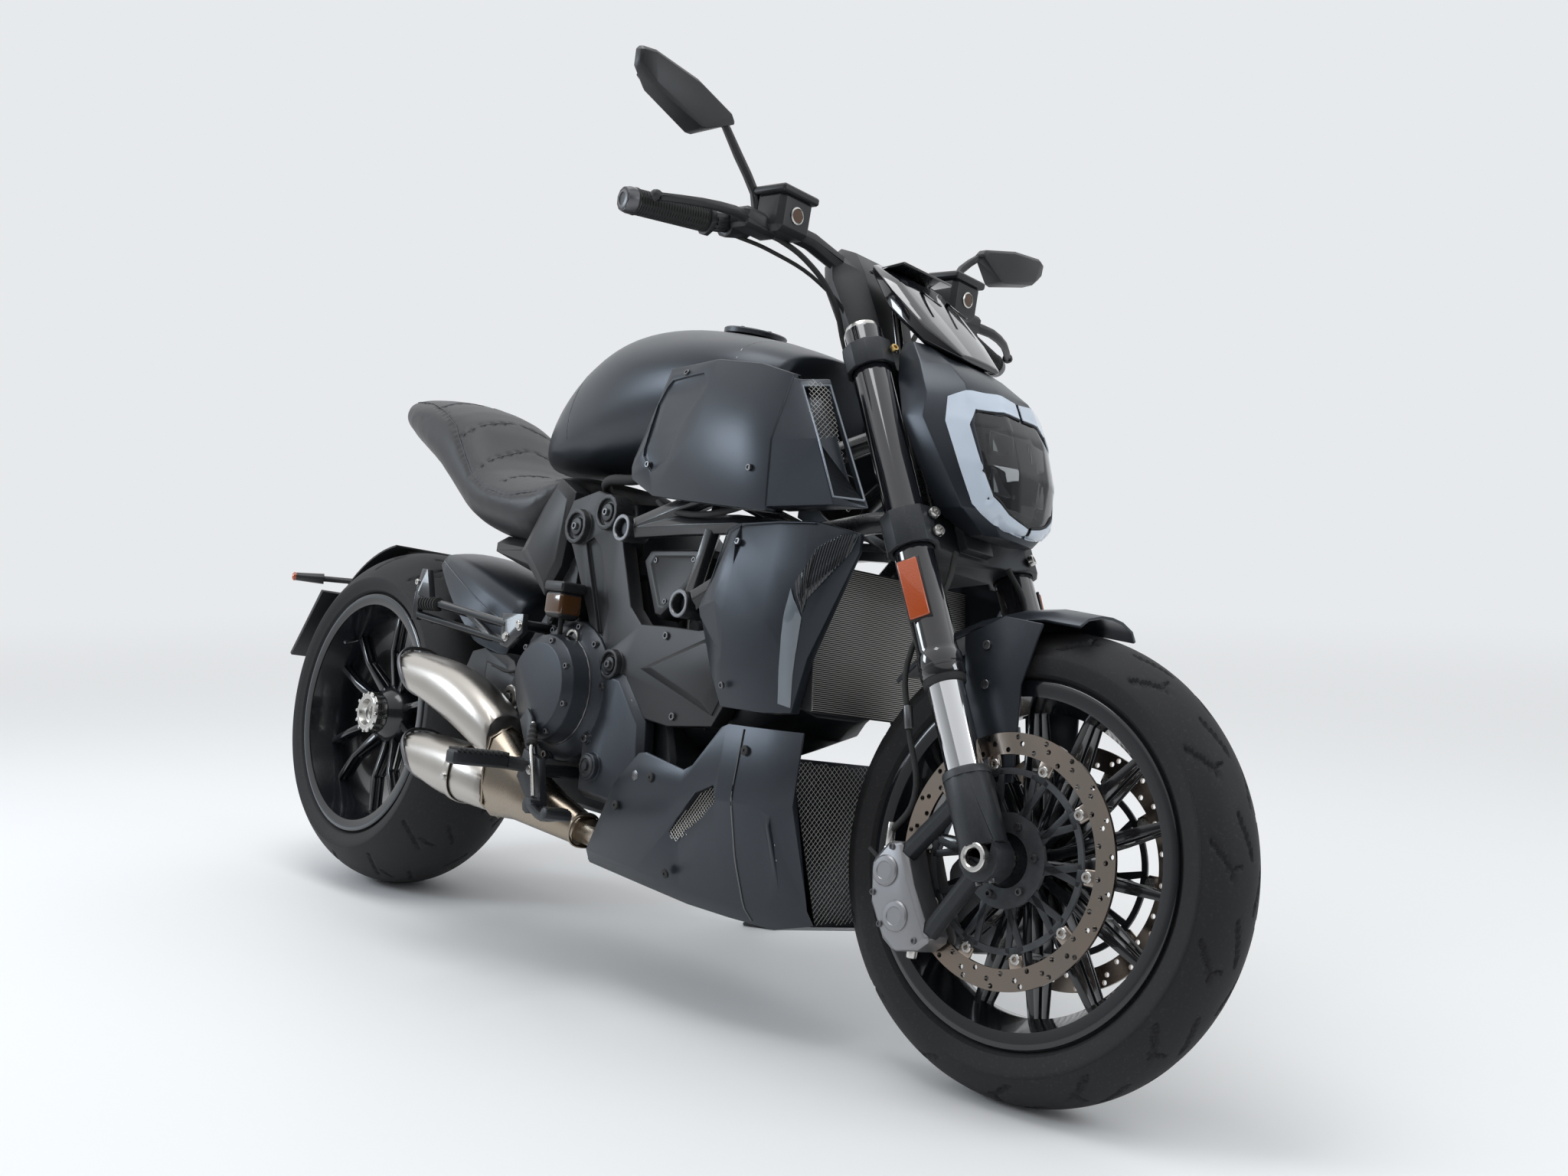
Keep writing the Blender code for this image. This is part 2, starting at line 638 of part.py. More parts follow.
def make_steering(mats):
    pieces = []

    def clamp(low, high, grip, back, nose):
        body = slab(clamp_outline(grip, back, nose), low, high)
        for side in (-1, 1):
            body = cut(
                body,
                bore((FORK_OFFSET, side * FORK_HALF, low - 0.01), (FORK_OFFSET, side * FORK_HALF, high + 0.01),
                     FORK_TUBE_RADIUS, 16),
            )
        return body

    lower = clamp(*LOWER_CLAMP, 0.037, 0.032, 0.046)
    stem = rod((0, 0, LOWER_CLAMP[0] + 0.01), (0, 0, UPPER_CLAMP[0] - GAP), STEM_RADIUS, 16)
    lower = union(
        lower, stem, block((0.020, -0.030, LOWER_CLAMP[0] + 0.008), (LAMP_BACK - GAP, 0.030, LOWER_CLAMP[1] - 0.008)),
        block((0.0450, -0.028, LOWER_CLAMP[1] - 0.012), (LAMP_BACK - GAP, 0.028, 0.860)),
    )
    pieces.append((in_fork(lower), "lower_fork_clamp", mats["casting"]))

    upper = clamp(*UPPER_CLAMP, 0.036, 0.034, 0.040)
    upper = union(upper, rod((0, 0, UPPER_CLAMP[1] - 0.005), (0, 0, UPPER_CLAMP[1] + 0.012), 0.019, 6))
    pieces.append((in_fork(upper), "upper_fork_clamp", mats["casting"]))

    for name, side in (("right", -1), ("left", 1)):
        y = side * FORK_HALF
        outer = turned(
            [
                (FORK_TUBE_RADIUS + 0.003, SEAL_HEIGHT), (FORK_TUBE_RADIUS + 0.003, SEAL_HEIGHT + 0.030),
                (FORK_TUBE_RADIUS, SEAL_HEIGHT + 0.032), (FORK_TUBE_RADIUS, FORK_TOP - 0.012),
                (FORK_TUBE_RADIUS - 0.004, FORK_TOP - 0.012), (FORK_TUBE_RADIUS - 0.006, FORK_TOP),
                (0.0, FORK_TOP), (0.0, SEAL_HEIGHT + 0.04),
                (round_hole(STANCHION_RADIUS, 16), SEAL_HEIGHT + 0.04), (round_hole(STANCHION_RADIUS, 16), SEAL_HEIGHT),
            ][::-1],
            16, axis="Z",
        )
        pieces.append((in_fork(moved(outer, Matrix.Translation((FORK_OFFSET, y, 0)))), f"fork_tube_{name}", mats["gloss"]))
        chrome = rod((FORK_OFFSET, y, FOOT_HEIGHT - 0.050), (FORK_OFFSET, y, SEAL_HEIGHT + 0.04 - GAP),
                     STANCHION_RADIUS, 16)

        sleeve = rod((FORK_OFFSET, y, AXLE_HEIGHT + 0.012), (FORK_OFFSET, y, FOOT_HEIGHT), 0.031, 12)
        axle_clamp = rod((FORK_OFFSET, y - side * 0.020, AXLE_HEIGHT), (FORK_OFFSET, y + side * 0.018, AXLE_HEIGHT), 0.030, 12)
        arm_low = rod((FORK_OFFSET - 0.005, y, AXLE_HEIGHT - 0.005), (-0.082, y - side * 0.004, AXLE_HEIGHT - 0.062), 0.013, 8)
        arm_high = rod((FORK_OFFSET - 0.010, y, AXLE_HEIGHT + 0.085), (-0.088, y - side * 0.004, AXLE_HEIGHT + 0.044), 0.013, 8)
        foot = union(sleeve, axle_clamp, arm_low, arm_high, chrome)
        foot = cut(
            foot,
            bore((FORK_OFFSET, y - 0.05, AXLE_HEIGHT), (FORK_OFFSET, y + 0.05, AXLE_HEIGHT), AXLE_RADIUS),
        )
        pieces.append((in_fork(foot), f"fork_lower_{name}", mats["casting"]))

        # Radial caliper, straddling the disc behind the leg
        low, high = (FORK_OFFSET - 0.105, AXLE_HEIGHT - 0.072), (FORK_OFFSET - 0.112, AXLE_HEIGHT + 0.070)
        body = plate(
            [
                (-0.150, AXLE_HEIGHT - 0.050), (-0.138, AXLE_HEIGHT - 0.070), (-0.100, AXLE_HEIGHT - 0.080),
                (-0.0755, AXLE_HEIGHT - 0.074), (-0.083, AXLE_HEIGHT), (-0.0805, AXLE_HEIGHT + 0.056),
                (-0.105, AXLE_HEIGHT + 0.066), (-0.140, AXLE_HEIGHT + 0.050), (-0.156, AXLE_HEIGHT),
            ],
            side * 0.040, side * 0.124,
        )
        body = rounded(body, 0.006)
        slot = block(
            (-0.30, min(side * (DISC_SIDE - 0.008), side * (DISC_SIDE + 0.008)), AXLE_HEIGHT - 0.2),
            (FORK_OFFSET, max(side * (DISC_SIDE - 0.008), side * (DISC_SIDE + 0.008)), AXLE_HEIGHT + 0.2),
        )
        reach = rod((FORK_OFFSET, -0.2, AXLE_HEIGHT), (FORK_OFFSET, 0.2, AXLE_HEIGHT), DISC_RADIUS + 0.006, 28)
        body = cut(body, combine(slot, reach, "INTERSECT"))
        body = in_fork(body)
        foot_piece = pieces[-1][0]
        pieces.append((seated(body, foot_piece), f"front_caliper_{name}", mats["caliper"]))

    axle = rod((FORK_OFFSET, -AXLE_HALF, AXLE_HEIGHT), (FORK_OFFSET, AXLE_HALF, AXLE_HEIGHT), AXLE_RADIUS, 16)
    axle = cut(axle, rod((FORK_OFFSET, -0.2, AXLE_HEIGHT), (FORK_OFFSET, 0.2, AXLE_HEIGHT), AXLE_BORE, 16))
    pieces.append((in_fork(axle), "front_axle", mats["steel"]))
    return pieces


def make_controls(mats):
    pieces = []
    side_points = [
        (1.130, 0.0, 1.108), (1.129, 0.060, 1.110), (1.116, 0.110, 1.128), (1.110, 0.160, 1.131),
        (1.106, 0.230, 1.115), (1.100, 0.290, 1.099),
    ]
    grip_start = Vector(side_points[-1])
    grip_end = Vector((1.070, BAR_END_HALF, 1.086))
    path = [Vector((x, -y, z)) for x, y, z in reversed(side_points[1:])] + [Vector(p) for p in side_points]
    bar = tube(path, BAR_RADIUS, 2, 1)
    for side in (-1, 1):
        flip = Matrix.Diagonal((1.0, side, 1.0, 1.0))
        a, b = flip @ grip_start, flip @ grip_end
        inner = a + (a - b).normalized() * 0.012
        bar = union(
            bar,
            rod(inner, a + (b - a) * 0.1, BAR_RADIUS - 0.001, 10),
            rod(a + (b - a) * 0.06, a + (b - a) * 0.86, GRIP_RADIUS, 10),
            rod(a + (b - a) * 0.04, a + (b - a) * 0.09, GRIP_RADIUS + 0.005, 10),
            rod(a + (b - a) * 0.80, b, GRIP_RADIUS - 0.001, 10),
        )
    # Faceted riser under the bar, with its cap
    foot = UPPER_CLAMP[1] + GAP

    def across(height, back, front, half, nose):
        return [(front, -nose, height), (front, nose, height), (back + 0.026, half, height), (back, half - 0.012, height),
                (back, 0.012 - half, height), (back + 0.026, -half, height)]

    riser = loft(
        [
            across(foot, -0.040, 0.006, 0.056, 0.034),
            across(foot + 0.070, -0.046, 0.010, 0.066, 0.036),
            across(foot + 0.165, -0.052, 0.012, 0.076, 0.046),
            across(foot + 0.205, -0.048, 0.004, 0.070, 0.044),
            across(foot + 0.218, -0.038, -0.008, 0.056, 0.036),
        ]
    )
    riser = cut(riser, rod((0, 0, foot - 0.01), (0, 0, UPPER_CLAMP[1] + 0.0126), 0.0205, 6))
    bar = union(with_axle(bar), in_fork(riser))
    pieces.insert(0, (bar, "handlebar", mats["plastic"]))

    # Master cylinder, lever, reservoir and switch block on each side
    for name, side in (("right", -1), ("left", 1)):
        flip = Matrix.Diagonal((1.0, side, 1.0, 1.0))
        hold = rod((1.105, 0.232, 1.115), (1.101, 0.270, 1.105), 0.022, 10)
        body = rounded(block((1.112, 0.205, 1.095), (1.150, 0.275, 1.125)), 0.006)
        cup = rounded(block((1.116, 0.166, 1.102), (1.172, 0.232, 1.160)), 0.008)
        lid = rounded(block((1.112, 0.162, 1.156), (1.176, 0.236, 1.168)), 0.003)
        lever = tube([(1.138, 0.262, 1.108), (1.150, 0.300, 1.106), (1.140, 0.350, 1.101), (1.112, 0.400, 1.095)], [0.009, 0.008, 0.007, 0.006], 1, 2)
        ball = turned(
            [(0.0, -0.009), (0.0065, -0.0065), (0.009, 0.0), (0.0065, 0.0065), (0.0, 0.009)], 8, (1.109, 0.405, 1.095)
        )
        group = union(hold, body, cup, lid, lever, ball)
        group = with_axle(on_side(group, side))
        group = seated(group, bar)
        pieces.append((group, f"brake_control_{name}" if side < 0 else f"clutch_control_{name}", mats["plastic"]))

        stem = tube([(1.120, 0.225, 1.118), (1.110, 0.230, 1.160), (1.098, 0.262, 1.205), (1.100, 0.300, 1.238)], [0.009, 0.007, 0.007, 0.006], 1, 2)
        head = loft(
            [
                [(1.094, 0.290, 1.238), (1.094, 0.300, 1.250), (1.118, 0.300, 1.250), (1.118, 0.290, 1.238)],
                [(1.080, 0.350, 1.203), (1.080, 0.370, 1.274), (1.120, 0.370, 1.270), (1.120, 0.350, 1.208)],
                [(1.084, 0.440, 1.230), (1.084, 0.450, 1.286), (1.114, 0.450, 1.282), (1.114, 0.440, 1.234)],
                [(1.090, 0.468, 1.252), (1.090, 0.470, 1.284), (1.106, 0.470, 1.281), (1.106, 0.468, 1.255)],
            ]
        )
        mirror = union(stem, rounded(head, 0.005))
        mirror = with_axle(on_side(mirror, side))
        mirror = seated(mirror, group, bar)
        pieces.append((mirror, f"mirror_{name}", mats["plastic"]))
    return pieces


def make_front_body(mats):
    pieces = []
    # Headlamp: a six-sided glass that wraps round the front of a wedge-shaped shell
    def level(z, front, edge, half, back):
        """A level ring: the front face, its bent sides back to the edge, and the back."""
        bend = front - 0.28 * (front - edge)
        half_ring = [(front, 0.34 * half), (bend, 0.76 * half), (edge, half), (back, half - 0.006)]
        return [(x, -y, z) for x, y in half_ring] + [(x, y, z) for x, y in reversed(half_ring)]

    lens = loft(
        [
            level(0.724, 1.503, 1.482, 0.046, 1.462),
            level(0.748, 1.506, 1.462, 0.082, 1.440),
            level(0.802, 1.502, 1.434, 0.099, 1.412),
            level(0.858, 1.480, 1.398, 0.108, 1.374),
            level(0.886, 1.460, 1.394, 0.098, 1.370),
            level(0.900, 1.446, 1.404, 0.064, 1.384),
        ]
    )
    shell = loft(
        [
            level(0.712, 1.494, 1.470, 0.050, 1.440),
            level(0.742, 1.500, 1.458, 0.090, 1.400),
            level(0.802, 1.494, 1.426, 0.108, 1.366),
            level(0.860, 1.474, 1.390, 0.117, 1.332),
            level(0.894, 1.456, 1.384, 0.110, 1.316),
            level(0.914, 1.444, 1.372, 0.106, 1.310),
            level(0.944, 1.398, 1.350, 0.094, 1.302),
            level(0.976, 1.336, 1.322, 0.082, 1.298),
        ]
    )
    behind = in_fork(block((-0.3, -0.3, 0.5), (LAMP_BACK, 0.3, 1.3)))
    shell = cut(with_axle(shell), behind)
    lens = with_axle(lens)

    # Instrument cowl above the lamp
    cowl = loft(
        [
            section(1.200, 0.060, 1.085, 1.098, 1.110, 12, 3.0),
            section(1.260, 0.078, 1.020, 1.040, 1.082, 12, 3.0),
            section(1.330, 0.075, 0.968, 0.990, 1.016, 12, 3.0),
            section(1.380, 0.045, 0.958, 0.962, 0.968, 12, 3.0),
        ]
    )
    stays = [
        in_fork(rod((0.036, side * 0.045, UPPER_CLAMP[1] + 0.0014), (0.048, side * 0.045, UPPER_CLAMP[1] + 0.080), 0.007, 8))
        for side in (-1, 1)
    ]
    cowl = union(with_axle(cowl), *stays)
    pieces.append((seated(shell, lens, cowl, gap=2 * GAP), "headlamp_shell", mats["paint"]))
    pieces.append((lens, "headlamp_lens", mats["lens"]))
    pieces.append((cowl, "instrument_cowl", mats["gloss"]))

    # Mudguard: an arch over the tyre with a blade down each side
    arch = turned(
        [
            (0.306, -0.066), (0.318, -0.052), (0.326, -0.025), (0.328, 0.0), (0.326, 0.025), (0.318, 0.052), (0.306, 0.066),
            (0.303, 0.062), (0.3145, 0.050), (0.322, 0.024), (0.324, 0.0), (0.322, -0.024), (0.3145, -0.050), (0.303, -0.062),
        ],
        36, FRONT_AXLE,
    )
    reach = plate(
        [(x + FRONT_AXLE.x, z + FRONT_AXLE.z) for x, z in [(0, 0)] + arc((0, 0), 0.5, 80.0, 138.0, 6)], -0.1, 0.1
    )
    arch = combine(arch, reach, "INTERSECT")
    blade = plate(
        [(1.480, 0.575), (1.505, 0.450), (1.545, 0.392), (1.590, 0.396), (1.580, 0.520), (1.600, 0.600), (1.540, 0.606)],
        -0.0695, -0.0655,
    )
    blade = with_axle(blade)
    arch = union(arch, blade, mirrored(blade))
    pieces.append((arch, "front_mudguard", mats["paint"]))

    return pieces


# Chassis


def side_loft(sections, side):
    """A panel's solid on one side: each section is (x, z_low, z_high, y_in, y_low, y_mid, y_high)."""
    rings = []
    for x, low, high, inside, y_low, y_mid, y_high in sections:
        mid = (low + high) / 2
        rings.append(
            [
                (x, side * inside, low), (x, side * y_low, low), (x, side * (y_low + y_mid) / 2, (low + mid) / 2 - 0.004),
                (x, side * y_mid, mid), (x, side * (y_high + y_mid) / 2, (high + mid) / 2 + 0.004), (x, side * y_high, high),
                (x, side * inside, high),
            ]
        )
    return loft(rings)


def make_engine(mats):
    pieces = []
    case = plate(
        [
            (0.622, 0.254), (0.700, 0.248), (0.820, 0.244), (0.930, 0.254), (0.985, 0.300), (0.990, 0.350),
            (0.960, 0.420), (0.900, 0.480), (0.850, 0.520), (0.740, 0.540), (0.632, 0.540), (0.622, 0.460),
        ],
        -0.122, 0.122,
    )
    case = rounded(case, 0.012)
    lug = rounded(plate([(0.535, 0.365), (0.560, 0.340), (0.640, 0.330), (0.640, 0.470), (0.560, 0.460), (0.535, 0.435)], -0.090, 0.090), 0.008)
    case = union(case, lug)
    case = cut(case, bore(PIVOT + Vector((0, -0.2, 0)), PIVOT + Vector((0, 0.2, 0)), 0.014))
    shaft = rod(FRONT_SPROCKET + Vector((0, 0.100, 0)), FRONT_SPROCKET + Vector((0, CHAIN_SIDE + 0.012, 0)), 0.014, 16)
    teeth = []
    for i in range(FRONT_TEETH):
        for share, drop in ((0.0, -0.0055), (0.45, 0.0)):
            a = 2 * math.pi * (i + share) / FRONT_TEETH
            r = FRONT_SPROCKET_RADIUS + drop
            teeth.append((FRONT_SPROCKET.x + r * math.cos(a), FRONT_SPROCKET.z + r * math.sin(a)))
    case = union(case, shaft, plate(teeth, CHAIN_SIDE - 0.003, CHAIN_SIDE + 0.003))
    pieces.append((case, "crankcase", mats["casting"]))

    def cylinder(base, tip, wide, deep, side):
        base, tip = Vector(base), Vector(tip)
        run = (tip - base).normalized()
        across = Vector((run.z, 0, -run.x))
        rings = []
        for t, grow in ((0.0, 0.82), (0.45, 0.82), (0.46, 1.0), (0.80, 1.0), (0.92, 0.86), (1.0, 0.80)):
            mid = base + (tip - base) * t
            ring = []
            for i in range(12):
                a = 2 * math.pi * (i + 0.5) / 12
                ring.append(mid + across * wide * grow * power(math.cos(a), 0.6) + Vector((0, deep * grow * power(math.sin(a), 0.6), 0)))
            rings.append(ring)
        return loft(rings)

    rear = seated(cylinder((0.800, 0.0, 0.500), (0.705, 0.0, 0.725), 0.072, 0.116, 0), case)
    front = seated(cylinder((0.930, 0.0, 0.405), (1.180, 0.0, 0.500), 0.078, 0.116, 0), case, rear)
    pieces.append((rear, "rear_cylinder", mats["casting"]))
    pieces.append((front, "front_cylinder", mats["casting"]))

    # Clutch cover, a stepped round cap with a flat facet, on the right of the crankcase
    centre = Vector((0.735, 0.0, 0.428))
    face = -0.1225
    cover = turned(
        [
            (0.114, face), (0.112, face - 0.030), (0.098, face - 0.044), (0.088, face - 0.047),
            (0.084, face - 0.078), (0.070, face - 0.090), (0.0, face - 0.090), (0.0, face),
        ],
        28, centre,
    )
    skirt = rounded(
        plate([(0.800, 0.270), (0.930, 0.262), (0.960, 0.300), (0.945, 0.400), (0.880, 0.465), (0.790, 0.480)], face, face - 0.036),
        0.010,
    )
    # The cap's sloping facet, the filler plug, the sight glass's boss and the bolt bosses round the edge
    facet = moved(
        block((-0.2, -0.2, -0.1), (0.2, 0.0, 0.2)),
        Matrix.Translation(centre + Vector((-0.030, face - 0.084, -0.030)))
        @ Matrix.Rotation(math.radians(-16.0), 4, "Z") @ Matrix.Rotation(math.radians(12.0), 4, "X"),
    )
    cover = union(cut(cover, facet), skirt)
    bosses = [rod((0.838, face - 0.02, 0.318), (0.838, face - 0.046, 0.318), 0.021, 12)]
    bosses += [rod((0.757, face - 0.02, 0.510), (0.757, face - 0.050, 0.510), 0.016, 12)]
    for turn in (-40.0, -100.0, -160.0):
        x, z = centre.x + 0.108 * math.cos(math.radians(turn)), centre.z + 0.108 * math.sin(math.radians(turn))
        bosses.append(rod((x, face - 0.001, z), (x, face - 0.040, z), 0.010, 6))
    cover = union(cover, *bosses)
    cover = cut(
        cover, rod((0.838, face - 0.040, 0.318), (0.838, face - 0.06, 0.318), 0.014, 12),
        rod((0.757, face - 0.045, 0.510), (0.757, face - 0.06, 0.510), 0.011, 12),
    )
    pieces.append((seated(cover, case), "clutch_cover", mats["casting"]))

    left = turned(
        [(0.0, 0.1100), (0.100, 0.1100), (0.098, 0.150), (0.080, 0.168), (0.050, 0.172), (0.0, 0.172)], 20, (0.800, 0.0, 0.370)
    )
    pieces[0] = (union(case, left), "crankcase", mats["casting"])

    # Cam belt covers on the right: an arm to each cylinder's head, meeting at a round boss
    near, far = -0.1235, -0.150
    cover = plate(
        [
            (0.672, 0.735), (0.655, 0.700), (0.690, 0.655), (0.752, 0.560), (0.800, 0.480), (0.830, 0.432),
            (0.890, 0.408), (1.000, 0.398), (1.100, 0.408), (1.140, 0.470), (1.120, 0.556), (1.040, 0.545),
            (0.960, 0.546), (0.900, 0.545), (0.868, 0.570), (0.826, 0.665), (0.806, 0.735), (0.740, 0.752),
        ],
        near, far,
    )
    cover = rounded(cover, 0.007)
    # Raised rims of the rear arm's groove, and the wedge that fills the forward arm
    groove = plate([(0.724, 0.668), (0.744, 0.676), (0.768, 0.660), (0.812, 0.566), (0.806, 0.520), (0.792, 0.524)], far + 0.007, far - 0.05)
    wedge = [(0.918, 0.478), (1.080, 0.540), (1.118, 0.540), (1.128, 0.478), (1.100, 0.424)]
    middle = (1.050, 0.490)
    raised = loft(
        [
            [(x, y, z) for x, z in [(middle[0] + (x - middle[0]) * share, middle[1] + (z - middle[1]) * share) for x, z in wedge]]
            for y, share in ((far + 0.006, 1.0), (far - 0.003, 1.0), (far - 0.013, 0.72))
        ]
    )
    cover = union(cut(cover, groove), raised)
    for x, z, size in ((0.704, 0.692, 0.029), (0.783, 0.716, 0.029), (0.846, 0.478, 0.024)):
        ring = [
            (size, near - 0.002), (size, far - 0.012), (size * 0.75, far - 0.012), (size * 0.75, far - 0.005),
            (size * 0.5, far - 0.005), (size * 0.5, far - 0.010), (0.0, far - 0.010), (0.0, near - 0.002),
        ]
        cover = union(cover, turned(ring, 14, (x, 0.0, z)))
    cover = seated(cover, pieces[3][0], pieces[0][0], rear, front)
    pieces.append((cover, "belt_cover", mats["plastic"]))

    # Boxed cover between the two cylinders, on two lugs that stand on the front one
    kite = [(0.866, 0.646), (0.880, 0.664), (1.012, 0.668), (1.020, 0.655), (0.996, 0.612), (0.930, 0.556), (0.914, 0.558)]
    box = loft(
        [
            [(middle_x + (x - middle_x) * share, y, middle_z + (z - middle_z) * share) for x, z in kite]
            for middle_x, middle_z, y, share in (
                (0.950, 0.622, -0.080, 1.0), (0.950, 0.622, -0.128, 1.0), (0.950, 0.622, -0.140, 0.90), (0.952, 0.624, -0.141, 0.72),
                (0.952, 0.624, -0.138, 0.66),
            )
        ]
    )
    box = union(
        box, rod((0.930, -0.095, 0.580), (0.930, -0.085, 0.480), 0.010, 8), rod((0.975, -0.095, 0.610), (0.985, -0.085, 0.500), 0.010, 8)
    )
    pieces.append((seated(box, front, rear, gap=2 * GAP), "electronics_cover", mats["plastic"]))
    return pieces


def make_frame(mats, *carried):
    pieces = []
    head = rod(fork_point(LOWER_CLAMP[1] + 0.006), fork_point(UPPER_CLAMP[0] - 0.006), HEAD_RADIUS, 16)
    tubes = [head]
    top = fork_point(0.975)
    low = fork_point(0.830)
    for side in (-1, 1):
        def at(x, y, z):
            return (x, side * y, z)

        rear_node = at(0.845, 0.150, 0.690)
        front_node = at(1.020, 0.158, 0.580)
        tubes += [
            tube([top + Vector((0, side * 0.010, 0)), at(1.160, 0.085, 0.805), at(1.000, 0.132, 0.745), rear_node], 0.017, 1, 2),
            tube([low + Vector((0, side * 0.010, 0)), at(1.200, 0.100, 0.698), front_node], 0.017, 1, 2),
            rod(at(1.030, 0.126, 0.756), front_node, 0.013, 6),
            rod(at(1.030, 0.126, 0.756), at(1.200, 0.100, 0.698), 0.013, 6),
            tube([rear_node, at(1.080, 0.132, 0.706), at(1.200, 0.100, 0.698)], 0.016, 1, 2),
            rod(at(0.845, 0.130, 0.690), at(0.845, 0.172, 0.690), 0.021, 12),
            rod(at(1.020, 0.130, 0.580), at(1.020, 0.178, 0.580), 0.021, 12),
            # Lugs on the two cylinders, under the tank, on the radiator and on the intake cover
            rod(at(1.020, 0.135, 0.580), at(1.032, 0.085, 0.490), 0.014, 6),
            rod(at(0.845, 0.140, 0.690), at(0.775, 0.085, 0.655), 0.013, 6),
            rod(at(1.020, 0.128, 0.750), at(1.000, 0.070, 0.860), 0.012, 6),
            rod(at(1.200, 0.100, 0.698), at(1.262, 0.112, 0.640), 0.011, 6),
            rod(at(1.030, 0.120, 0.765), at(1.030, COVER_WALL - GAP, 0.765), 0.010, 6),
        ]
    frame = tubes[0]
    for piece in tubes[1:]:
        frame = combine(frame, piece, "UNION")
    frame = cut(frame, bore(fork_point(0.70), fork_point(1.2), STEM_RADIUS, 16, PIN_GAP))
    for side in (-1, 1):
        for x, z in ((0.845, 0.690), (1.020, 0.580)):
            frame = cut(frame, rod((x, side * 0.160, z), (x, side * 0.190, z), 0.015, 12))
    frame = seated(frame, *carried, gap=2 * GAP)
    pieces.append((frame, "trellis_frame", mats["frame"]))
    return pieces


def make_body(mats):
    pieces = []
    tank = loft(
        [
            section(0.450, 0.060, 0.800, 0.822, 0.850),
            section(0.490, 0.098, 0.798, 0.830, 0.905),
            section(0.550, 0.126, 0.796, 0.845, 0.975),
            section(0.640, 0.146, 0.794, 0.870, 1.028),
            section(0.740, 0.164, 0.794, 0.905, 1.042),
            section(0.850, 0.172, 0.800, 0.925, 1.038),
            section(0.960, 0.168, 0.810, 0.930, 1.020),
            section(1.050, 0.148, 0.830, 0.925, 1.000),
            section(1.105, 0.110, 0.850, 0.915, 0.980),
        ]
    )
    pieces.append((tank, "fuel_tank", mats["paint"]))

    seat = loft(
        [
            section(-0.085, 0.050, 0.912, 0.930, 0.952),
            section(-0.050, 0.090, 0.885, 0.920, 0.958),
            section(0.060, 0.120, 0.835, 0.885, 0.950),
            section(0.160, 0.132, 0.785, 0.850, 0.934),
            section(0.230, 0.138, 0.735, 0.810, 0.910),
            section(0.290, 0.142, 0.700, 0.770, 0.850),
            section(0.350, 0.146, 0.680, 0.745, 0.800),
            section(0.450, 0.150, 0.668, 0.735, 0.780),
            section(0.516, 0.146, 0.656, 0.730, 0.785),
            section(0.560, 0.140, 0.716, 0.755, 0.788),
            section(0.604, 0.122, 0.768, 0.778, 0.788),
        ]
    )
    pieces.append((seat, "seat", mats["seat"]))
    return pieces


def make_intakes(mats):
    pieces = []
    sections = [
        (0.862, 0.765, 0.800, 0.172, 0.178, 0.182, 0.178),
        (0.930, 0.738, 0.935, COVER_WALL, 0.186, 0.196, 0.182),
        (1.050, 0.728, 0.942, COVER_WALL, 0.200, 0.212, 0.190),
        (1.150, 0.720, 0.930, COVER_WALL, 0.210, 0.220, 0.192),
        (1.215, 0.716, 0.913, 0.172, 0.205, 0.212, 0.186),
    ]
    sunk = 0.004
    slash = [(0.905, 0.880), (0.940, 0.915), (1.020, 0.922), (1.036, 0.905), (0.968, 0.790), (0.920, 0.775), (0.896, 0.800)]
    for name, side in (("right", -1), ("left", 1)):
        cover = side_loft(sections, side)
        # A slanted recess, sunk an even depth into the curved side
        under = side_loft([(x, low, high, 0.1, a - sunk, b - sunk, c - sunk) for x, low, high, _, a, b, c in sections], side)
        cover = cut(cover, cut(plate(slash, side * 0.15, side * 0.30), under))
        mouth = [
            Vector((x, side * y, z)) for x, y, z in
            ((1.372, 0.160, 0.728), (1.345, 0.200, 0.727), (1.300, 0.204, 0.815), (1.225, 0.184, 0.905), (1.262, 0.160, 0.909))
        ]
        scoop = loft(
            [
                [(1.2145, side * y, z) for y, z in ((0.160, 0.722), (0.205, 0.722), (0.211, 0.815), (0.186, 0.908), (0.160, 0.908))],
                mouth,
            ]
        )
        # The mouth, a pocket whose floor carries the grille
        middle = sum(mouth, Vector()) / len(mouth)
        inward = Vector((-0.90, -side * 0.30, -0.32)).normalized()
        lip = [middle + (point - middle) * 0.86 for point in mouth]
        pocket = loft([[point - inward * 0.020 for point in lip], [point + inward * 0.016 for point in lip]])
        pieces.append((cut(union(cover, scoop), pocket), f"intake_cover_{name}", mats["paint"]))
    return pieces


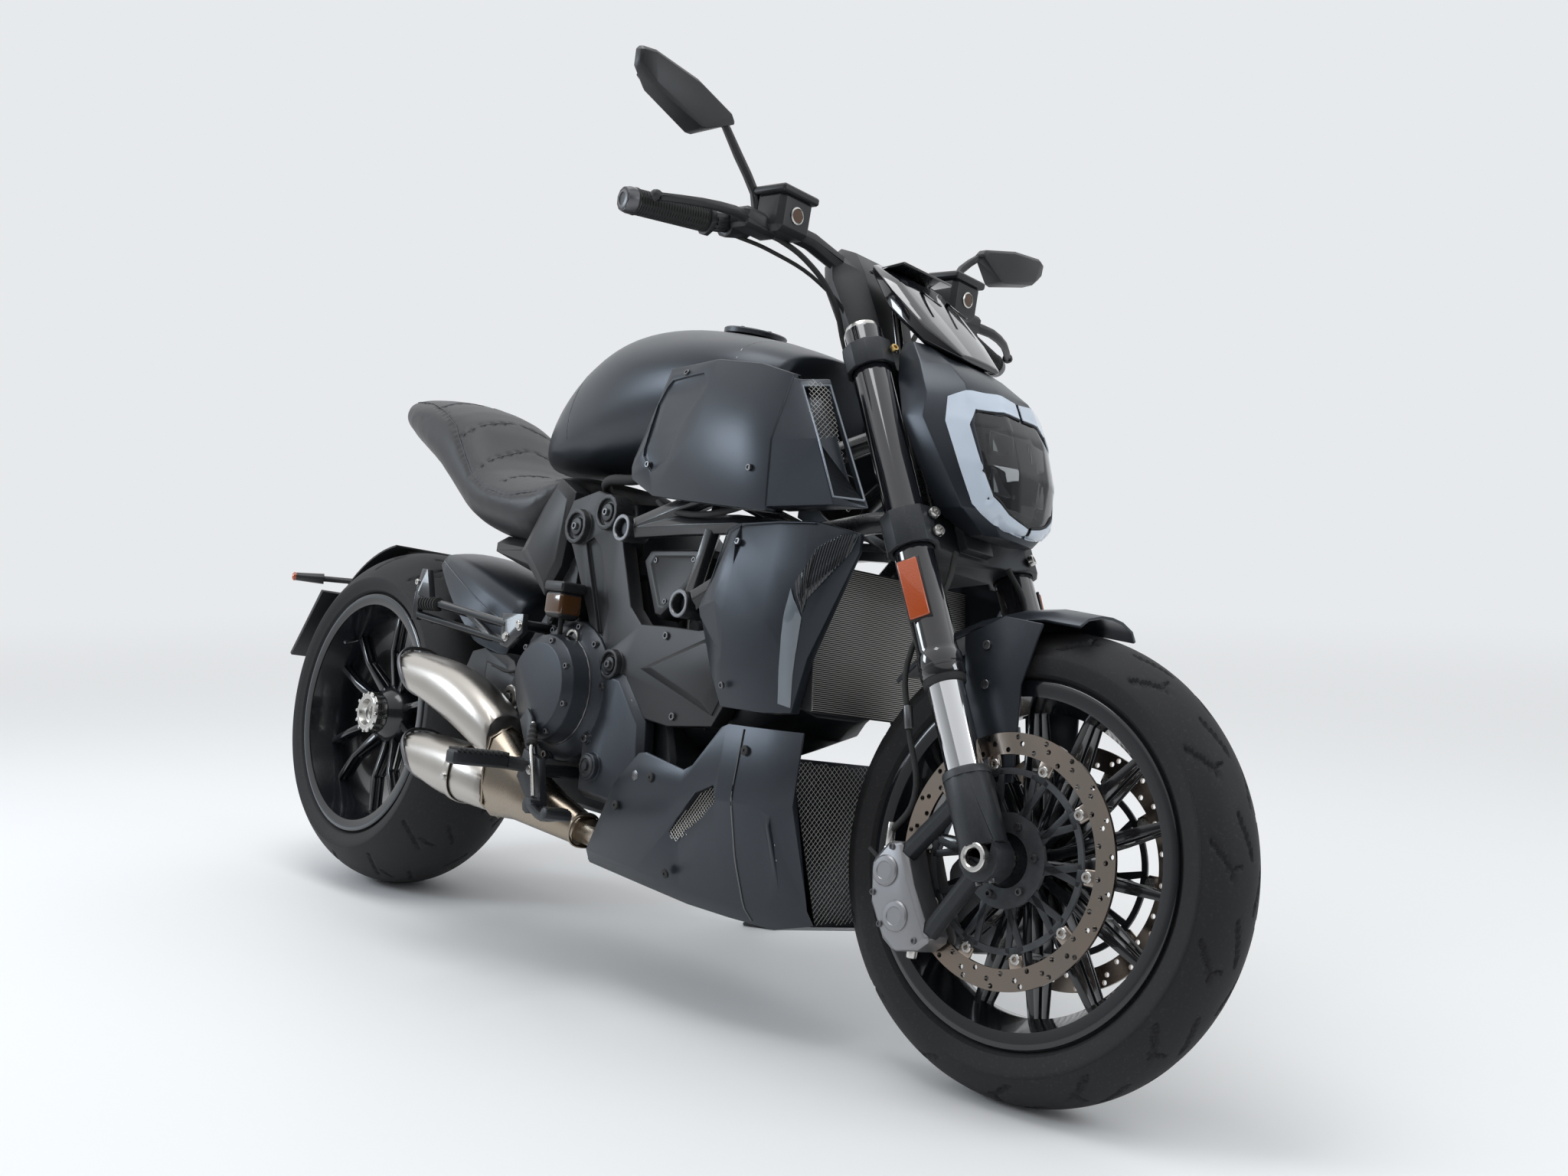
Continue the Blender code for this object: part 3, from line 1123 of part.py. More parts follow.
def make_cooling(mats):
    pieces = []
    core = plate([(1.275, 0.455), (1.308, 0.450), (1.278, 0.655), (1.245, 0.655)], GAP - RADIATOR_HALF, RADIATOR_HALF - GAP)
    pieces.append((core, "radiator", mats["plastic"]))
    for name, side in (("right", -1), ("left", 1)):
        cover = side_loft(
            [
                (1.090, 0.560, 0.590, 0.170, 0.188, 0.196, 0.190),
                (1.135, 0.480, 0.692, 0.160, 0.192, 0.206, 0.196),
                (1.160, 0.440, 0.700, 0.156, 0.190, 0.208, 0.196),
                (1.240, 0.440, 0.704, RADIATOR_HALF, 0.184, 0.206, 0.194),
                (1.285, 0.445, 0.706, RADIATOR_HALF, 0.170, 0.196, 0.186),
                (1.300, 0.520, 0.706, RADIATOR_HALF, 0.168, 0.190, 0.182),
                # The indicator, let into the front edge
                (1.335, 0.600, 0.700, RADIATOR_HALF, 0.164, 0.176, 0.172),
                (1.365, 0.670, 0.694, RADIATOR_HALF, 0.160, 0.162, 0.164),
            ],
            side,
        )
        pieces.append((cover, f"radiator_cover_{name}", mats["paint"]))

    def u_ring(x, low, high, half, base_half):
        return [
            (x, half, high), (x, half * 1.02, (low + high) / 2 + 0.02), (x, base_half + 0.018, low + 0.022), (x, base_half, low),
            (x, -base_half, low), (x, -base_half - 0.018, low + 0.022), (x, -half * 1.02, (low + high) / 2 + 0.02), (x, -half, high),
        ]

    rings = [
        (0.843, 0.171, 0.440, 0.168, 0.140),
        (0.980, 0.160, 0.440, 0.172, 0.140),
        (1.080, 0.150, 0.440, 0.175, 0.132),
        (1.160, 0.146, 0.440, 0.172, 0.120),
        (1.240, 0.144, 0.440, 0.166, 0.104),
        (1.306, 0.162, 0.440, 0.160, 0.092),
    ]
    outer = loft([u_ring(*r) for r in rings])
    w = BELLY_WALL
    inner_rings = [(x, low + w, high + 0.05, half - w, base - w) for x, low, high, half, base in rings]
    inner_rings[0] = (0.80, *inner_rings[0][1:])
    inner_rings[-1] = (1.35, *inner_rings[-1][1:])
    belly = cut(outer, loft([u_ring(*r) for r in inner_rings]))
    bulkhead = loft([u_ring(x, 0.154, 0.384, 0.160, 0.098) for x in (1.258, 1.264)])
    belly = union(belly, bulkhead)
    # Upper edge: a slanting rear, a horn, a dip and the tall front
    above = [
        (0.80, 0.165), (0.845, 0.178), (0.880, 0.238), (0.918, 0.302), (0.972, 0.354), (0.990, 0.357), (1.085, 0.343),
        (1.102, 0.352), (1.150, 0.412), (1.164, 0.418), (1.306, 0.421), (1.40, 0.421), (1.40, 0.6), (0.80, 0.6),
    ]
    vent = [(1.058, 0.250), (1.074, 0.244), (1.130, 0.280), (1.160, 0.308), (1.152, 0.330), (1.118, 0.314), (1.076, 0.272)]
    belly = cut(belly, plate(above, -0.3, 0.3))
    belly = cut(belly, plate(vent, 0.1, 0.3), plate(vent, -0.1, -0.3))
    for side in (-1, 1):
        belly = union(belly, rod((0.971, side * 0.1223, 0.320), (0.971, side * 0.170, 0.320), 0.008, 8))
    pieces.append((belly, "belly_pan", mats["paint"]))
    return pieces


def make_exhaust(mats, front_cylinder):
    pieces = []
    header = tube(
        [(1.100, -0.030, 0.420), (1.160, -0.050, 0.340), (1.150, -0.080, 0.235), (1.050, -0.095, 0.202), (0.900, -0.110, 0.204),
         (0.815, -0.140, 0.217)],
        0.022, 2, 3,
    )
    collector = loft(
        [
            oval_ring((0.820, -0.140, 0.216), (-1, 0, 0.25), 0.024, 0.025, 12),
            oval_ring((0.760, -0.163, 0.236), (-1, 0, 0.25), 0.030, 0.034, 12),
            oval_ring((0.700, -0.182, 0.262), (-1, 0, 0.0), 0.035, 0.050, 12),
            oval_ring((0.6525, -0.194, 0.282), (-1, 0, 0), 0.040, 0.072, 12),
        ]
    )
    header = seated(union(header, collector), front_cylinder, gap=2 * GAP)
    pieces.append((header, "exhaust_header", mats["steel"]))
    upper = loft(
        [
            oval_ring((0.670, -0.192, 0.316), (-1, 0, 0.50), 0.040, 0.036),
            oval_ring((0.600, -0.202, 0.360), (-1, 0, 0.50), 0.046, 0.044),
            oval_ring((0.500, -0.205, 0.402), (-1, 0, 0.20), 0.048, 0.049),
            oval_ring((0.375, -0.205, 0.417), (-0.8, 0, -0.60), 0.048, 0.050),
        ]
    )
    lower = loft(
        [
            oval_ring((0.670, -0.192, 0.250), (-1, 0, 0.10), 0.040, 0.034),
            oval_ring((0.600, -0.204, 0.266), (-1, 0, 0.10), 0.047, 0.046),
            oval_ring((0.520, -0.205, 0.274), (-1, 0, 0.05), 0.048, 0.049),
            oval_ring((0.428, -0.205, 0.281), (-0.8, 0, -0.60), 0.048, 0.050),
        ]
    )
    ahead = block((0.6520, -0.3, 0.1), (0.8, -0.1, 0.6))
    upper = combine(upper, ahead, "DIFFERENCE", keep=True)
    lower = cut(lower, ahead)
    lower = seated(lower, upper, gap=2 * GAP)
    pieces.append((upper, "silencer_upper", mats["steel"]))
    pieces.append((lower, "silencer_lower", mats["steel"]))
    return pieces


def make_rear(mats, case):
    pieces = []
    # Single-sided swingarm
    bridge = plate(
        [(0.352, 0.360), (0.372, 0.325), (0.460, 0.318), (0.520, 0.345), (0.528, 0.372), (0.528, 0.432), (0.505, 0.462),
         (0.440, 0.485), (0.372, 0.470), (0.352, 0.430)],
        -0.120, 0.178,
    )
    bridge = rounded(bridge, 0.012)
    lugs = [
        plate(
            [(0.440, 0.350), (0.560, 0.368), (0.598, 0.385), (0.602, 0.410), (0.580, 0.432), (0.440, 0.455)],
            side * 0.0905, side * 0.1218,
        )
        for side in (-1, 1)
    ]
    arm = loft(
        [
            [
                (x, SWINGARM_SIDE, low), (x, SWINGARM_SIDE, high), (x, SWINGARM_OUTER, high - 0.5 * edge),
                (x, SWINGARM_OUTER, low + 0.5 * edge),
            ]
            for x, low, high, edge in (
                (0.470, 0.330, 0.480, 0.030),
                (0.300, 0.325, 0.462, 0.032),
                (0.120, REAR_AXLE.z - 0.039, REAR_AXLE.z + 0.081, 0.026),
                (0.020, REAR_AXLE.z - 0.049, REAR_AXLE.z + 0.049, 0.016),
            )
        ]
    )
    hub = turned(
        [(0.070, SWINGARM_SIDE), (HUB_RADIUS, SWINGARM_SIDE + 0.006), (HUB_RADIUS, SWINGARM_OUTER - 0.004), (0.070, SWINGARM_OUTER),
         (0.020, SWINGARM_OUTER), (0.020, SWINGARM_SIDE)],
        20, REAR_AXLE,
    )
    arm = union(bridge, arm, lugs[0], lugs[1])
    arm = cut(
        union(arm, hub),
        bore(REAR_AXLE, REAR_AXLE + Vector((0, 0.3, 0)), 0.0300, 16),
        bore(PIVOT + Vector((0, -0.2, 0)), PIVOT + Vector((0, 0.2, 0)), 0.014),
    )
    pieces.append((arm, "swingarm", mats["casting"]))

    bolt = union(
        rod(PIVOT + Vector((0, -0.140, 0)), PIVOT + Vector((0, 0.140, 0)), 0.014, 12),
        rod(PIVOT + Vector((0, -0.1368, 0)), PIVOT + Vector((0, -0.146, 0)), 0.022, 12),
        rod(PIVOT + Vector((0, 0.1368, 0)), PIVOT + Vector((0, 0.146, 0)), 0.022, 12),
    )
    for name, side in (("right", -1), ("left", 1)):
        around = [(PIVOT.x + x, PIVOT.z + z) for x, z in arc((0, 0), 0.034, 130, 330, 7)]
        web = plate(
            around + [(0.612, 0.464), (0.656, 0.526), (0.660, 0.552), (0.628, 0.556), (0.590, 0.504)],
            side * 0.1225, side * 0.1365, [[(0.594, 0.450), (0.606, 0.460), (0.624, 0.496), (0.618, 0.506), (0.600, 0.490)]],
        )
        bolt = union(bolt, web)
    pieces.append((bolt, "swingarm_pivot", mats["casting"]))

    # Rear brake's fluid reservoir, on an arm from the right pivot plate
    cup = rounded(block((0.702, -0.196, 0.540), (0.746, -0.156, 0.584)), 0.005)
    lid = rounded(block((0.698, -0.200, 0.584), (0.750, -0.152, 0.600)), 0.003)
    arm_end = Vector((0.652, -0.1365 - GAP, 0.538))
    cup = union(
        cup, moved(lid, Matrix.Translation((0, 0, -0.002))), rod(arm_end, arm_end + Vector((0, -0.012, 0)), 0.009, 10),
        rod(arm_end + Vector((0, -0.008, 0)), (0.706, -0.170, 0.556), 0.005, 8),
    )
    pieces.append((cup, "rear_brake_reservoir", mats["plastic"]))

    # Hugger over the front of the rear tyre, standing on the swingarm
    hugger = loft(
        [
            [(0.200, y, z) for y, z in ((-0.100, 0.620), (-0.088, 0.640), (-0.020, 0.656), (0.080, 0.648), (0.126, 0.600), (0.120, 0.594), (0.076, 0.640), (-0.018, 0.648), (-0.084, 0.630))],
            [(0.300, y, z) for y, z in ((-0.128, 0.548), (-0.104, 0.626), (-0.020, 0.650), (0.085, 0.632), (0.132, 0.560), (0.126, 0.552), (0.080, 0.622), (-0.018, 0.640), (-0.096, 0.608))],
            [(0.400, y, z) for y, z in ((-0.132, 0.486), (-0.106, 0.592), (-0.020, 0.622), (0.085, 0.606), (0.132, 0.520), (0.126, 0.505), (0.080, 0.560), (-0.018, 0.580), (-0.090, 0.550))],
            [(0.480, y, z) for y, z in ((-0.110, 0.466), (-0.090, 0.560), (-0.015, 0.596), (0.080, 0.585), (0.125, 0.500), (0.118, 0.474), (0.075, 0.468), (-0.012, 0.466), (-0.080, 0.466))],
        ]
    )
    under = moved(link("under", arm.data.copy()), Matrix.Translation((0, 0, 2 * GAP)))
    pieces.append((cut(seated(hugger, arm), under), "rear_hugger", mats["paint"]))

    # Chain round both sprockets
    near_r, far_r = REAR_SPROCKET_RADIUS + 0.003, FRONT_SPROCKET_RADIUS + GAP
    def loop(extra):
        dx = FRONT_SPROCKET.x
        dz = FRONT_SPROCKET.z - REAR_AXLE.z
        length = math.hypot(dx, dz)
        heading = math.degrees(math.atan2(dz, dx))
        spread = math.degrees(math.acos((near_r - far_r) / length))
        back = arc((0.0, REAR_AXLE.z), near_r + extra, heading + spread, heading + 360 - spread, 24)
        ahead = arc((dx, FRONT_SPROCKET.z), far_r + extra, heading - spread, heading + spread, 12)
        return back + ahead

    chain = plate(loop(CHAIN_DEPTH), CHAIN_SIDE - CHAIN_WIDTH / 2, CHAIN_SIDE + CHAIN_WIDTH / 2, [loop(0.0)])
    pieces.append((chain, "drive_chain", mats["steel"]))

    # Passenger peg frames and rider pegs
    for name, side in (("right", -1), ("left", 1)):
        def at(x, y, z):
            return (x, side * y, z)

        mount = (0.640, 0.470)
        frame = union(
            rod(at(0.325, 0.205, 0.548), at(0.595, 0.190, 0.520), 0.008, 6),
            rod(at(0.325, 0.205, 0.520), at(0.600, 0.191, 0.492), 0.007, 6),
            rod(at(0.325, 0.205, 0.510), at(0.325, 0.205, 0.560), 0.010, 6),
            rod(at(0.480, 0.197, 0.532), at(0.560, 0.192, 0.495), 0.007, 6),
            plate([(0.585, 0.538), (0.588, 0.486), (0.612, 0.482), (0.650, 0.510), (0.645, 0.540)], side * 0.186, side * 0.196),
            rod(at(0.636, 0.1368, 0.522), at(0.636, 0.190, 0.522), 0.009, 8),
            plate([(0.318, 0.555), (0.332, 0.600), (0.350, 0.600), (0.372, 0.548)], side * 0.200, side * 0.212),
        )
        frame = seated(frame, arm)
        pieces.append((frame, f"passenger_peg_{name}", mats["frame"]))
        hanger = union(
            plate([(0.745, 0.330), (0.735, 0.285), (0.790, 0.235), (0.815, 0.240), (0.790, 0.318)], side * 0.212, side * 0.224),
            rod(at(0.770, 0.1223, 0.300), at(0.770, 0.216, 0.300), 0.010, 8),
            rod(at(0.752, 0.216, 0.304), at(0.738, 0.260, 0.306), 0.011, 8),
            rounded(plate([(0.722, 0.296), (0.722, 0.318), (0.752, 0.318), (0.752, 0.296)], side * 0.250, side * 0.350), 0.004),
            plate([(0.712, 0.372), (0.728, 0.392), (0.744, 0.380), (0.770, 0.322), (0.750, 0.314)], side * 0.213, side * 0.218),
            # The pedal, turning on the hanger's foot
            rod(at(0.800, 0.214, 0.248), at(0.800, 0.242, 0.248), 0.013, 8),
            tube([at(0.800, 0.236, 0.248), at(0.850, 0.244, 0.236), at(0.905, 0.246, 0.246)], 0.007, 1, 3),
            rod(at(0.905, 0.236, 0.246), at(0.905, 0.282, 0.248), 0.009, 8),
        )
        pieces.append((seated(hanger, case, gap=2 * GAP), f"rider_peg_{name}", mats["casting"]))
    return pieces


def make_tail(mats, swingarm, carriers):
    pieces = []
    tail = loft(
        [
            section(0.370, 0.095, 0.642, 0.656, 0.690, 12),
            section(0.520, 0.112, 0.600, 0.640, 0.690, 12),
            section(0.600, 0.1200, 0.5600, 0.590, 0.760, 12),
            section(0.665, 0.1190, 0.5300, 0.570, 0.750, 12),
        ]
    )
    # Faceted side panels between the seat and the tank's foot
    for side in (-1, 1):
        def face(y, points):
            return [(x, side * y, z) for x, z in points]

        outline = [(0.516, 0.648), (0.566, 0.728), (0.606, 0.776), (0.654, 0.752), (0.642, 0.628), (0.606, 0.576)]
        shrunk = [(0.61 + (x - 0.61) * 0.7, 0.68 + (z - 0.68) * 0.8) for x, z in outline]
        panel = loft([face(0.104, outline), face(0.134, outline), face(0.142, shrunk)])
        tail = union(tail, panel)
    tail = seated(tail, *carriers, gap=2 * GAP)
    pieces.append((tail, "tail_frame", mats["plastic"]))

    # The board and the lamps keep to the end of the arched blade when the tyre grows
    blade_end = math.radians(139.0)
    grown_by = REAR_TYRE_RADIUS - DRAWN_REAR_RADIUS
    follow = Matrix.Translation((grown_by * math.cos(blade_end), 0.0, grown_by * (1.0 + math.sin(blade_end))))
    raised = Matrix.Translation((0.0, 0.0, grown_by))
    arm = tube(
        [raised @ Vector((-0.040, 0.157, 0.320)), raised @ Vector((-0.150, 0.165, 0.380)),
         follow @ Vector((-0.252, 0.150, 0.470)), follow @ Vector((-0.258, 0.090, 0.518))], 0.012, 2, 4
    )
    arm = seated(arm, swingarm, gap=2 * GAP)
    board = loft(
        [
            [(-0.352, -0.100, 0.413), (-0.352, 0.100, 0.413), (-0.345, 0.100, 0.409), (-0.345, -0.100, 0.409)],
            [(-0.256, -0.100, 0.551), (-0.256, 0.100, 0.551), (-0.249, 0.100, 0.547), (-0.249, -0.100, 0.547)],
        ]
    )
    # Arched blade over the rear of the tyre, and the indicator stalks on it
    near, far = REAR_TYRE_RADIUS + 0.010, REAR_TYRE_RADIUS + 0.014
    centre = (REAR_AXLE.x, REAR_AXLE.z)
    blade = plate(arc(centre, far, 100.0, 139.0, 10) + arc(centre, near, 139.0, 100.0, 10), -0.055, 0.095)
    holder = union(arm, moved(board, follow), blade)
    for side in (-1, 1):
        stalk = rod((-0.222, side * 0.040, 0.577), (-0.262, side * 0.104, 0.573), 0.006, 8)
        lamp = rod((-0.256, side * 0.098, 0.573), (-0.284, side * 0.150, 0.570), 0.011, 10, 0.008)
        holder = union(holder, moved(stalk, follow), moved(lamp, follow))
    pieces.append((holder, "plate_holder", mats["plastic"]))
    return pieces


def make_stand(mats, machine, case):
    """The side stand, deployed on its stop, with its foot flat on the floor, and its bracket."""
    floor = machine.inverted()
    foot = Vector((STAND_FOOT.x, STAND_FOOT.y, 0.0))
    foot.z += (FOOT_THICK / 2 - (machine @ foot).z) / math.cos(LEAN)
    down, stowed = stand_directions(foot)
    axis = down.cross(stowed).normalized()
    turn = Matrix.Translation(STAND_PIVOT) @ Matrix(
        [(*row, 0.0) for row in Matrix((down, axis.cross(down), axis)).transposed()] + [(0.0, 0.0, 0.0, 1.0)]
    )
    pin = 0.008
    cheeks = union(
        rod((0, 0, -0.0165), (0, 0, -0.0082), 0.020, 8),
        block((-0.040, -0.020, -0.0165), (0.0, 0.014, -0.0082)),
    )
    other = moved(link("cheek", cheeks.data.copy()), Matrix.Diagonal((1.0, 1.0, -1.0, 1.0)))
    web = block((-0.042, -0.026, -0.0165), (-0.0205, 0.012, 0.0165))
    bracket = union(web, cheeks, other)
    bracket = moved(bracket, turn)
    carry = block((STAND_PIVOT.x - 0.020, 0.1225, STAND_PIVOT.z - 0.006), (STAND_PIVOT.x + 0.060, 0.134, STAND_PIVOT.z + 0.075))
    bracket = union(bracket, carry)
    sweep = moved(rod((0, 0, -0.0082), (0, 0, 0.0082), 0.0200, 10), turn)
    above = block((0.60, 0.0, CASE_BOTTOM - 0.004), (0.75, 0.1225, 0.40))
    bracket = union(cut(bracket, sweep, above), moved(rod((0, 0, -0.012), (0, 0, 0.012), pin, 8), turn))

    leg = rod((0, 0, -0.0079), (0, 0, 0.0079), 0.018, 12)
    length = (foot - STAND_PIVOT).length
    shaft = rod((0.008, 0, 0), (length, 0, 0), 0.0078, 8, 0.0078)
    leg = cut(union(leg, shaft), bore((0, 0, -0.05), (0, 0, 0.05), pin, 8))
    leg = moved(leg, turn)
    pad = moved(
        rounded(block((-0.034, -0.024, -FOOT_THICK / 2), (0.034, 0.024, FOOT_THICK / 2)), 0.002),
        floor @ Matrix.Translation(machine @ foot) @ Matrix.Rotation(math.radians(20), 4, "Z"),
    )
    leg = union(leg, pad)
    leg = cut(leg, moved(block((-0.2, -0.2, -0.1), (0.2, 0.2, 0.0)), floor @ Matrix.Translation((*(machine @ foot).xy, 0.0))))
    return [(bracket, "stand_bracket", mats["frame"])], [(leg, "side_stand", mats["frame"])], turn


def stand_directions(foot):
    return (foot - STAND_PIVOT).normalized(), Vector((-0.98, 0.17, 0.04)).normalized()


# Stance


def tyre_bottom(matrix, centre, normal, radius, crown):
    place = matrix @ centre
    across = (matrix.to_3x3() @ normal).z
    return place.z - (radius - crown) * math.sqrt(1 - across * across) - crown


def settle():
    """The machine's place when both tyres touch the floor at the lean that the stand gives."""
    steer = Matrix.Translation(STEER_POINT) @ Matrix.Rotation(REST_STEER, 4, STEER_AXIS) @ Matrix.Translation(-STEER_POINT)
    front = steer @ FRONT_AXLE
    front_normal = steer.to_3x3() @ Vector((0, 1, 0))
    pitch = 0.0
    for _ in range(30):
        matrix = Matrix.Rotation(-LEAN, 4, "X") @ Matrix.Rotation(pitch, 4, "Y")
        rear_low = tyre_bottom(matrix, REAR_AXLE, Vector((0, 1, 0)), REAR_TYRE_RADIUS, REAR_CROWN)
        front_low = tyre_bottom(matrix, front, front_normal, FRONT_TYRE_RADIUS, FRONT_CROWN)
        pitch += (front_low - rear_low) / WHEELBASE
    matrix = Matrix.Rotation(-LEAN, 4, "X") @ Matrix.Rotation(pitch, 4, "Y")
    lift = -tyre_bottom(matrix, REAR_AXLE, Vector((0, 1, 0)), REAR_TYRE_RADIUS, REAR_CROWN)
    return Matrix.Translation((0, 0, lift)) @ matrix


def empty(name, parent, matrix):
    made = link(name, None)
    made.empty_display_size = 0.05
    made.parent = parent
    made.matrix_local = matrix
    return made


def attach(pieces, parent, base):
    """Gives pieces drawn in the machine's axes to an empty that stands at base in those axes."""
    inverse = base.inverted()
    for piece, name, look in pieces:
        piece.data.transform(inverse)
        piece.name = name
        piece.data.name = name
        piece.parent = parent
        piece.data.materials.clear()
        piece.data.materials.append(look)
        for polygon in piece.data.polygons:
            polygon.material_index = 0
        piece.data.shade_smooth()
        piece.data.set_sharp_from_angle(angle=math.radians(35.0))


def main():
    clear_scene()
    mats = make_materials()
    stance = settle()

    machine = empty("machine", None, stance)
    steering = empty("steering_axis", machine, FORK_SPACE @ Matrix.Rotation(REST_STEER, 4, "Z"))
    front = empty("front_wheel_axis", steering, FORK_SPACE.inverted() @ Matrix.Translation(FRONT_AXLE))
    rear = empty("rear_wheel_axis", machine, Matrix.Translation(REAR_AXLE))

    engine = make_engine(mats)
    named = {name: piece for piece, name, _ in engine}
    rear_end = make_rear(mats, named["crankcase"])
    bracket, leg, hinge = make_stand(mats, stance, named["crankcase"])
    stand = empty("stand_axis", machine, hinge)
    body = make_body(mats)
    cooling = make_cooling(mats)
    named.update((name, piece) for piece, name, _ in body + cooling)
    frame = make_frame(
        mats, named["front_cylinder"], named["rear_cylinder"], named["belt_cover"], named["fuel_tank"], named["radiator"],
        named["electronics_cover"],
    )
    tail = make_tail(mats, rear_end[0][0], [named["seat"], named["crankcase"], named["rear_cylinder"]])
    fixed = (
        engine + frame + body + make_intakes(mats) + cooling + make_exhaust(mats, named["front_cylinder"])
        + rear_end + tail + bracket
    )
    attach(fixed, machine, Matrix())
    attach(make_steering(mats) + make_controls(mats) + make_front_body(mats), steering, FORK_SPACE)
    attach(make_front_wheel(mats), front, Matrix.Translation(FRONT_AXLE))
    attach(make_rear_wheel(mats), rear, Matrix.Translation(REAR_AXLE))
    attach(leg, stand, hinge)

    # The origin goes to the middle of the bottom of the parked machine's box
    bpy.context.view_layer.update()
    corners = [
        piece.matrix_world @ vertex.co
        for piece in bpy.context.scene.objects if piece.type == "MESH" for vertex in piece.data.vertices
    ]
    low = Vector(min(corner[i] for corner in corners) for i in range(3))
    high = Vector(max(corner[i] for corner in corners) for i in range(3))
    machine.location -= Vector(((low.x + high.x) / 2, (low.y + high.y) / 2, low.z))
    bpy.context.view_layer.update()

    collection = bpy.data.collections.new("power_cruiser")
    bpy.context.scene.collection.children.link(collection)
    for piece in list(bpy.context.scene.collection.objects):
        collection.objects.link(piece)
        bpy.context.scene.collection.objects.unlink(piece)


main()
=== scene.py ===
"""Looks for a parked muscle cruiser motorcycle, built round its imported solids."""
import json
import math

import bmesh
import bpy
from mathutils import Matrix, Vector


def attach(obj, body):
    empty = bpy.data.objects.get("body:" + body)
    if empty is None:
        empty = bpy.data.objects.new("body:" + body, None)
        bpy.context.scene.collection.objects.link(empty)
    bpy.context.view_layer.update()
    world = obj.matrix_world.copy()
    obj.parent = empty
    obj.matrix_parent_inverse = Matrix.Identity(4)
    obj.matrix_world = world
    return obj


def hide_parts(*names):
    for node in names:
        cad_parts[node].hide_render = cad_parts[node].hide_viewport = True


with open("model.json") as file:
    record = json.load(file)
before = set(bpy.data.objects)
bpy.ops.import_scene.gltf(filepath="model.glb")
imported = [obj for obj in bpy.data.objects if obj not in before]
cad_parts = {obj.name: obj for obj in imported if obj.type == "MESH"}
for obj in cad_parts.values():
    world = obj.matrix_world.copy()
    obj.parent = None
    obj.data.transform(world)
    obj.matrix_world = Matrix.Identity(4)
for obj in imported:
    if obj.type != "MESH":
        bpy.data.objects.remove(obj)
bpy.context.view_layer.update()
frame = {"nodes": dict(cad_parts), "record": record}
nodes = frame["nodes"]

# The machine as it stands: upright axes, X forward, Y left, Z up, origin on the floor under the rear axle
LEAN = math.radians(10.3)
PITCH = math.radians(0.0926)
STANDS_AT = Vector((-0.77413, -0.19819, 0.00226))
RAKE = math.radians(27.0)
REST_STEER = math.radians(4.7)
WHEELBASE = 1.6
SIDES = (("right", -1), ("left", 1))
TRAIL = 0.12
FRONT_RADIUS = 0.3
REAR_RADIUS = 0.324
FRONT_BEAD = 0.0445
REAR_BEAD = 0.1025
FRONT_AXLE = Vector((WHEELBASE, 0.0, FRONT_RADIUS))
REAR_AXLE = Vector((0.0, 0.0, REAR_RADIUS))
FLANGE_RADIUS = 0.2295
FORK_HALF = 0.113
DISC_SIDE = 0.0725
MACHINE = Matrix.Translation(STANDS_AT) @ Matrix.Rotation(-LEAN, 4, "X") @ Matrix.Rotation(PITCH, 4, "Y")
STEER_POINT = Vector((WHEELBASE + TRAIL, 0.0, 0.0))
STEER_AXIS = Vector((-math.sin(RAKE), 0.0, math.cos(RAKE)))
STEERED = (
    MACHINE @ Matrix.Translation(STEER_POINT) @ Matrix.Rotation(REST_STEER, 4, STEER_AXIS)
    @ Matrix.Translation(-STEER_POINT)
)
STEER_FORWARD = Vector((math.cos(RAKE), 0.0, math.sin(RAKE)))
FORK_OFFSET = (FRONT_AXLE - STEER_POINT).dot(STEER_FORWARD)
AXLE_HEIGHT = (FRONT_AXLE - STEER_POINT).dot(STEER_AXIS)


def axes(x, y, z, place):
    """A frame at a place, from the directions of its three axes."""
    turn = Matrix((x, y, z)).transposed().to_4x4()
    turn.translation = Vector(place)
    return turn


def fork(forward, side, along):
    """A point given along the fork: forward of the steering axis, to the side, and up along it."""
    return STEER_POINT + STEER_FORWARD * forward + Vector((0.0, side, 0.0)) + STEER_AXIS * along


# Camera, floor and lights


def place_camera():
    yaw, pitch, roll = math.radians(138.24), math.radians(-3.32), math.radians(-0.147)
    look = Vector((math.cos(pitch) * math.cos(yaw), math.cos(pitch) * math.sin(yaw), math.sin(pitch)))
    right = look.cross(Vector((0.0, 0.0, 1.0))).normalized()
    up = right.cross(look)
    turn = Matrix.Rotation(roll, 3, look)
    right, up = turn @ right, turn @ up
    data = bpy.data.cameras.new("camera")
    data.sensor_width = 36.0
    data.lens = 39.11
    data.clip_start, data.clip_end = 0.05, 60.0
    camera = bpy.data.objects.new("camera", data)
    bpy.context.scene.collection.objects.link(camera)
    place = axes(right, up, -look, Vector((2.21277, -1.81742, 0.7709)))
    camera.matrix_world = place
    bpy.context.scene.camera = camera


def nothing_selected():
    if bpy.context.object and bpy.context.object.mode != "OBJECT":
        bpy.ops.object.mode_set(mode="OBJECT")
    bpy.ops.object.select_all(action="DESELECT")


def alone(piece):
    """Selects one piece and nothing else, in object mode."""
    nothing_selected()
    piece.select_set(True)
    bpy.context.view_layer.objects.active = piece


WALL = (0.8, 0.82, 0.84, 1.0)
FLOOR_SIZE = 60.0
FADE_START, FADE_END = 2.0, 8.5
PARTS_OF = {"FACE": "faces", "EDGE": "edges", "VERT": "verts"}


def joined_by(tree, operation, one, other):
    """A sum, product or the like of two values of a node tree."""
    node = tree.nodes.new("ShaderNodeMath")
    node.operation = operation
    tree.links.new(one, node.inputs[0])
    tree.links.new(other, node.inputs[1])
    return node.outputs["Value"]


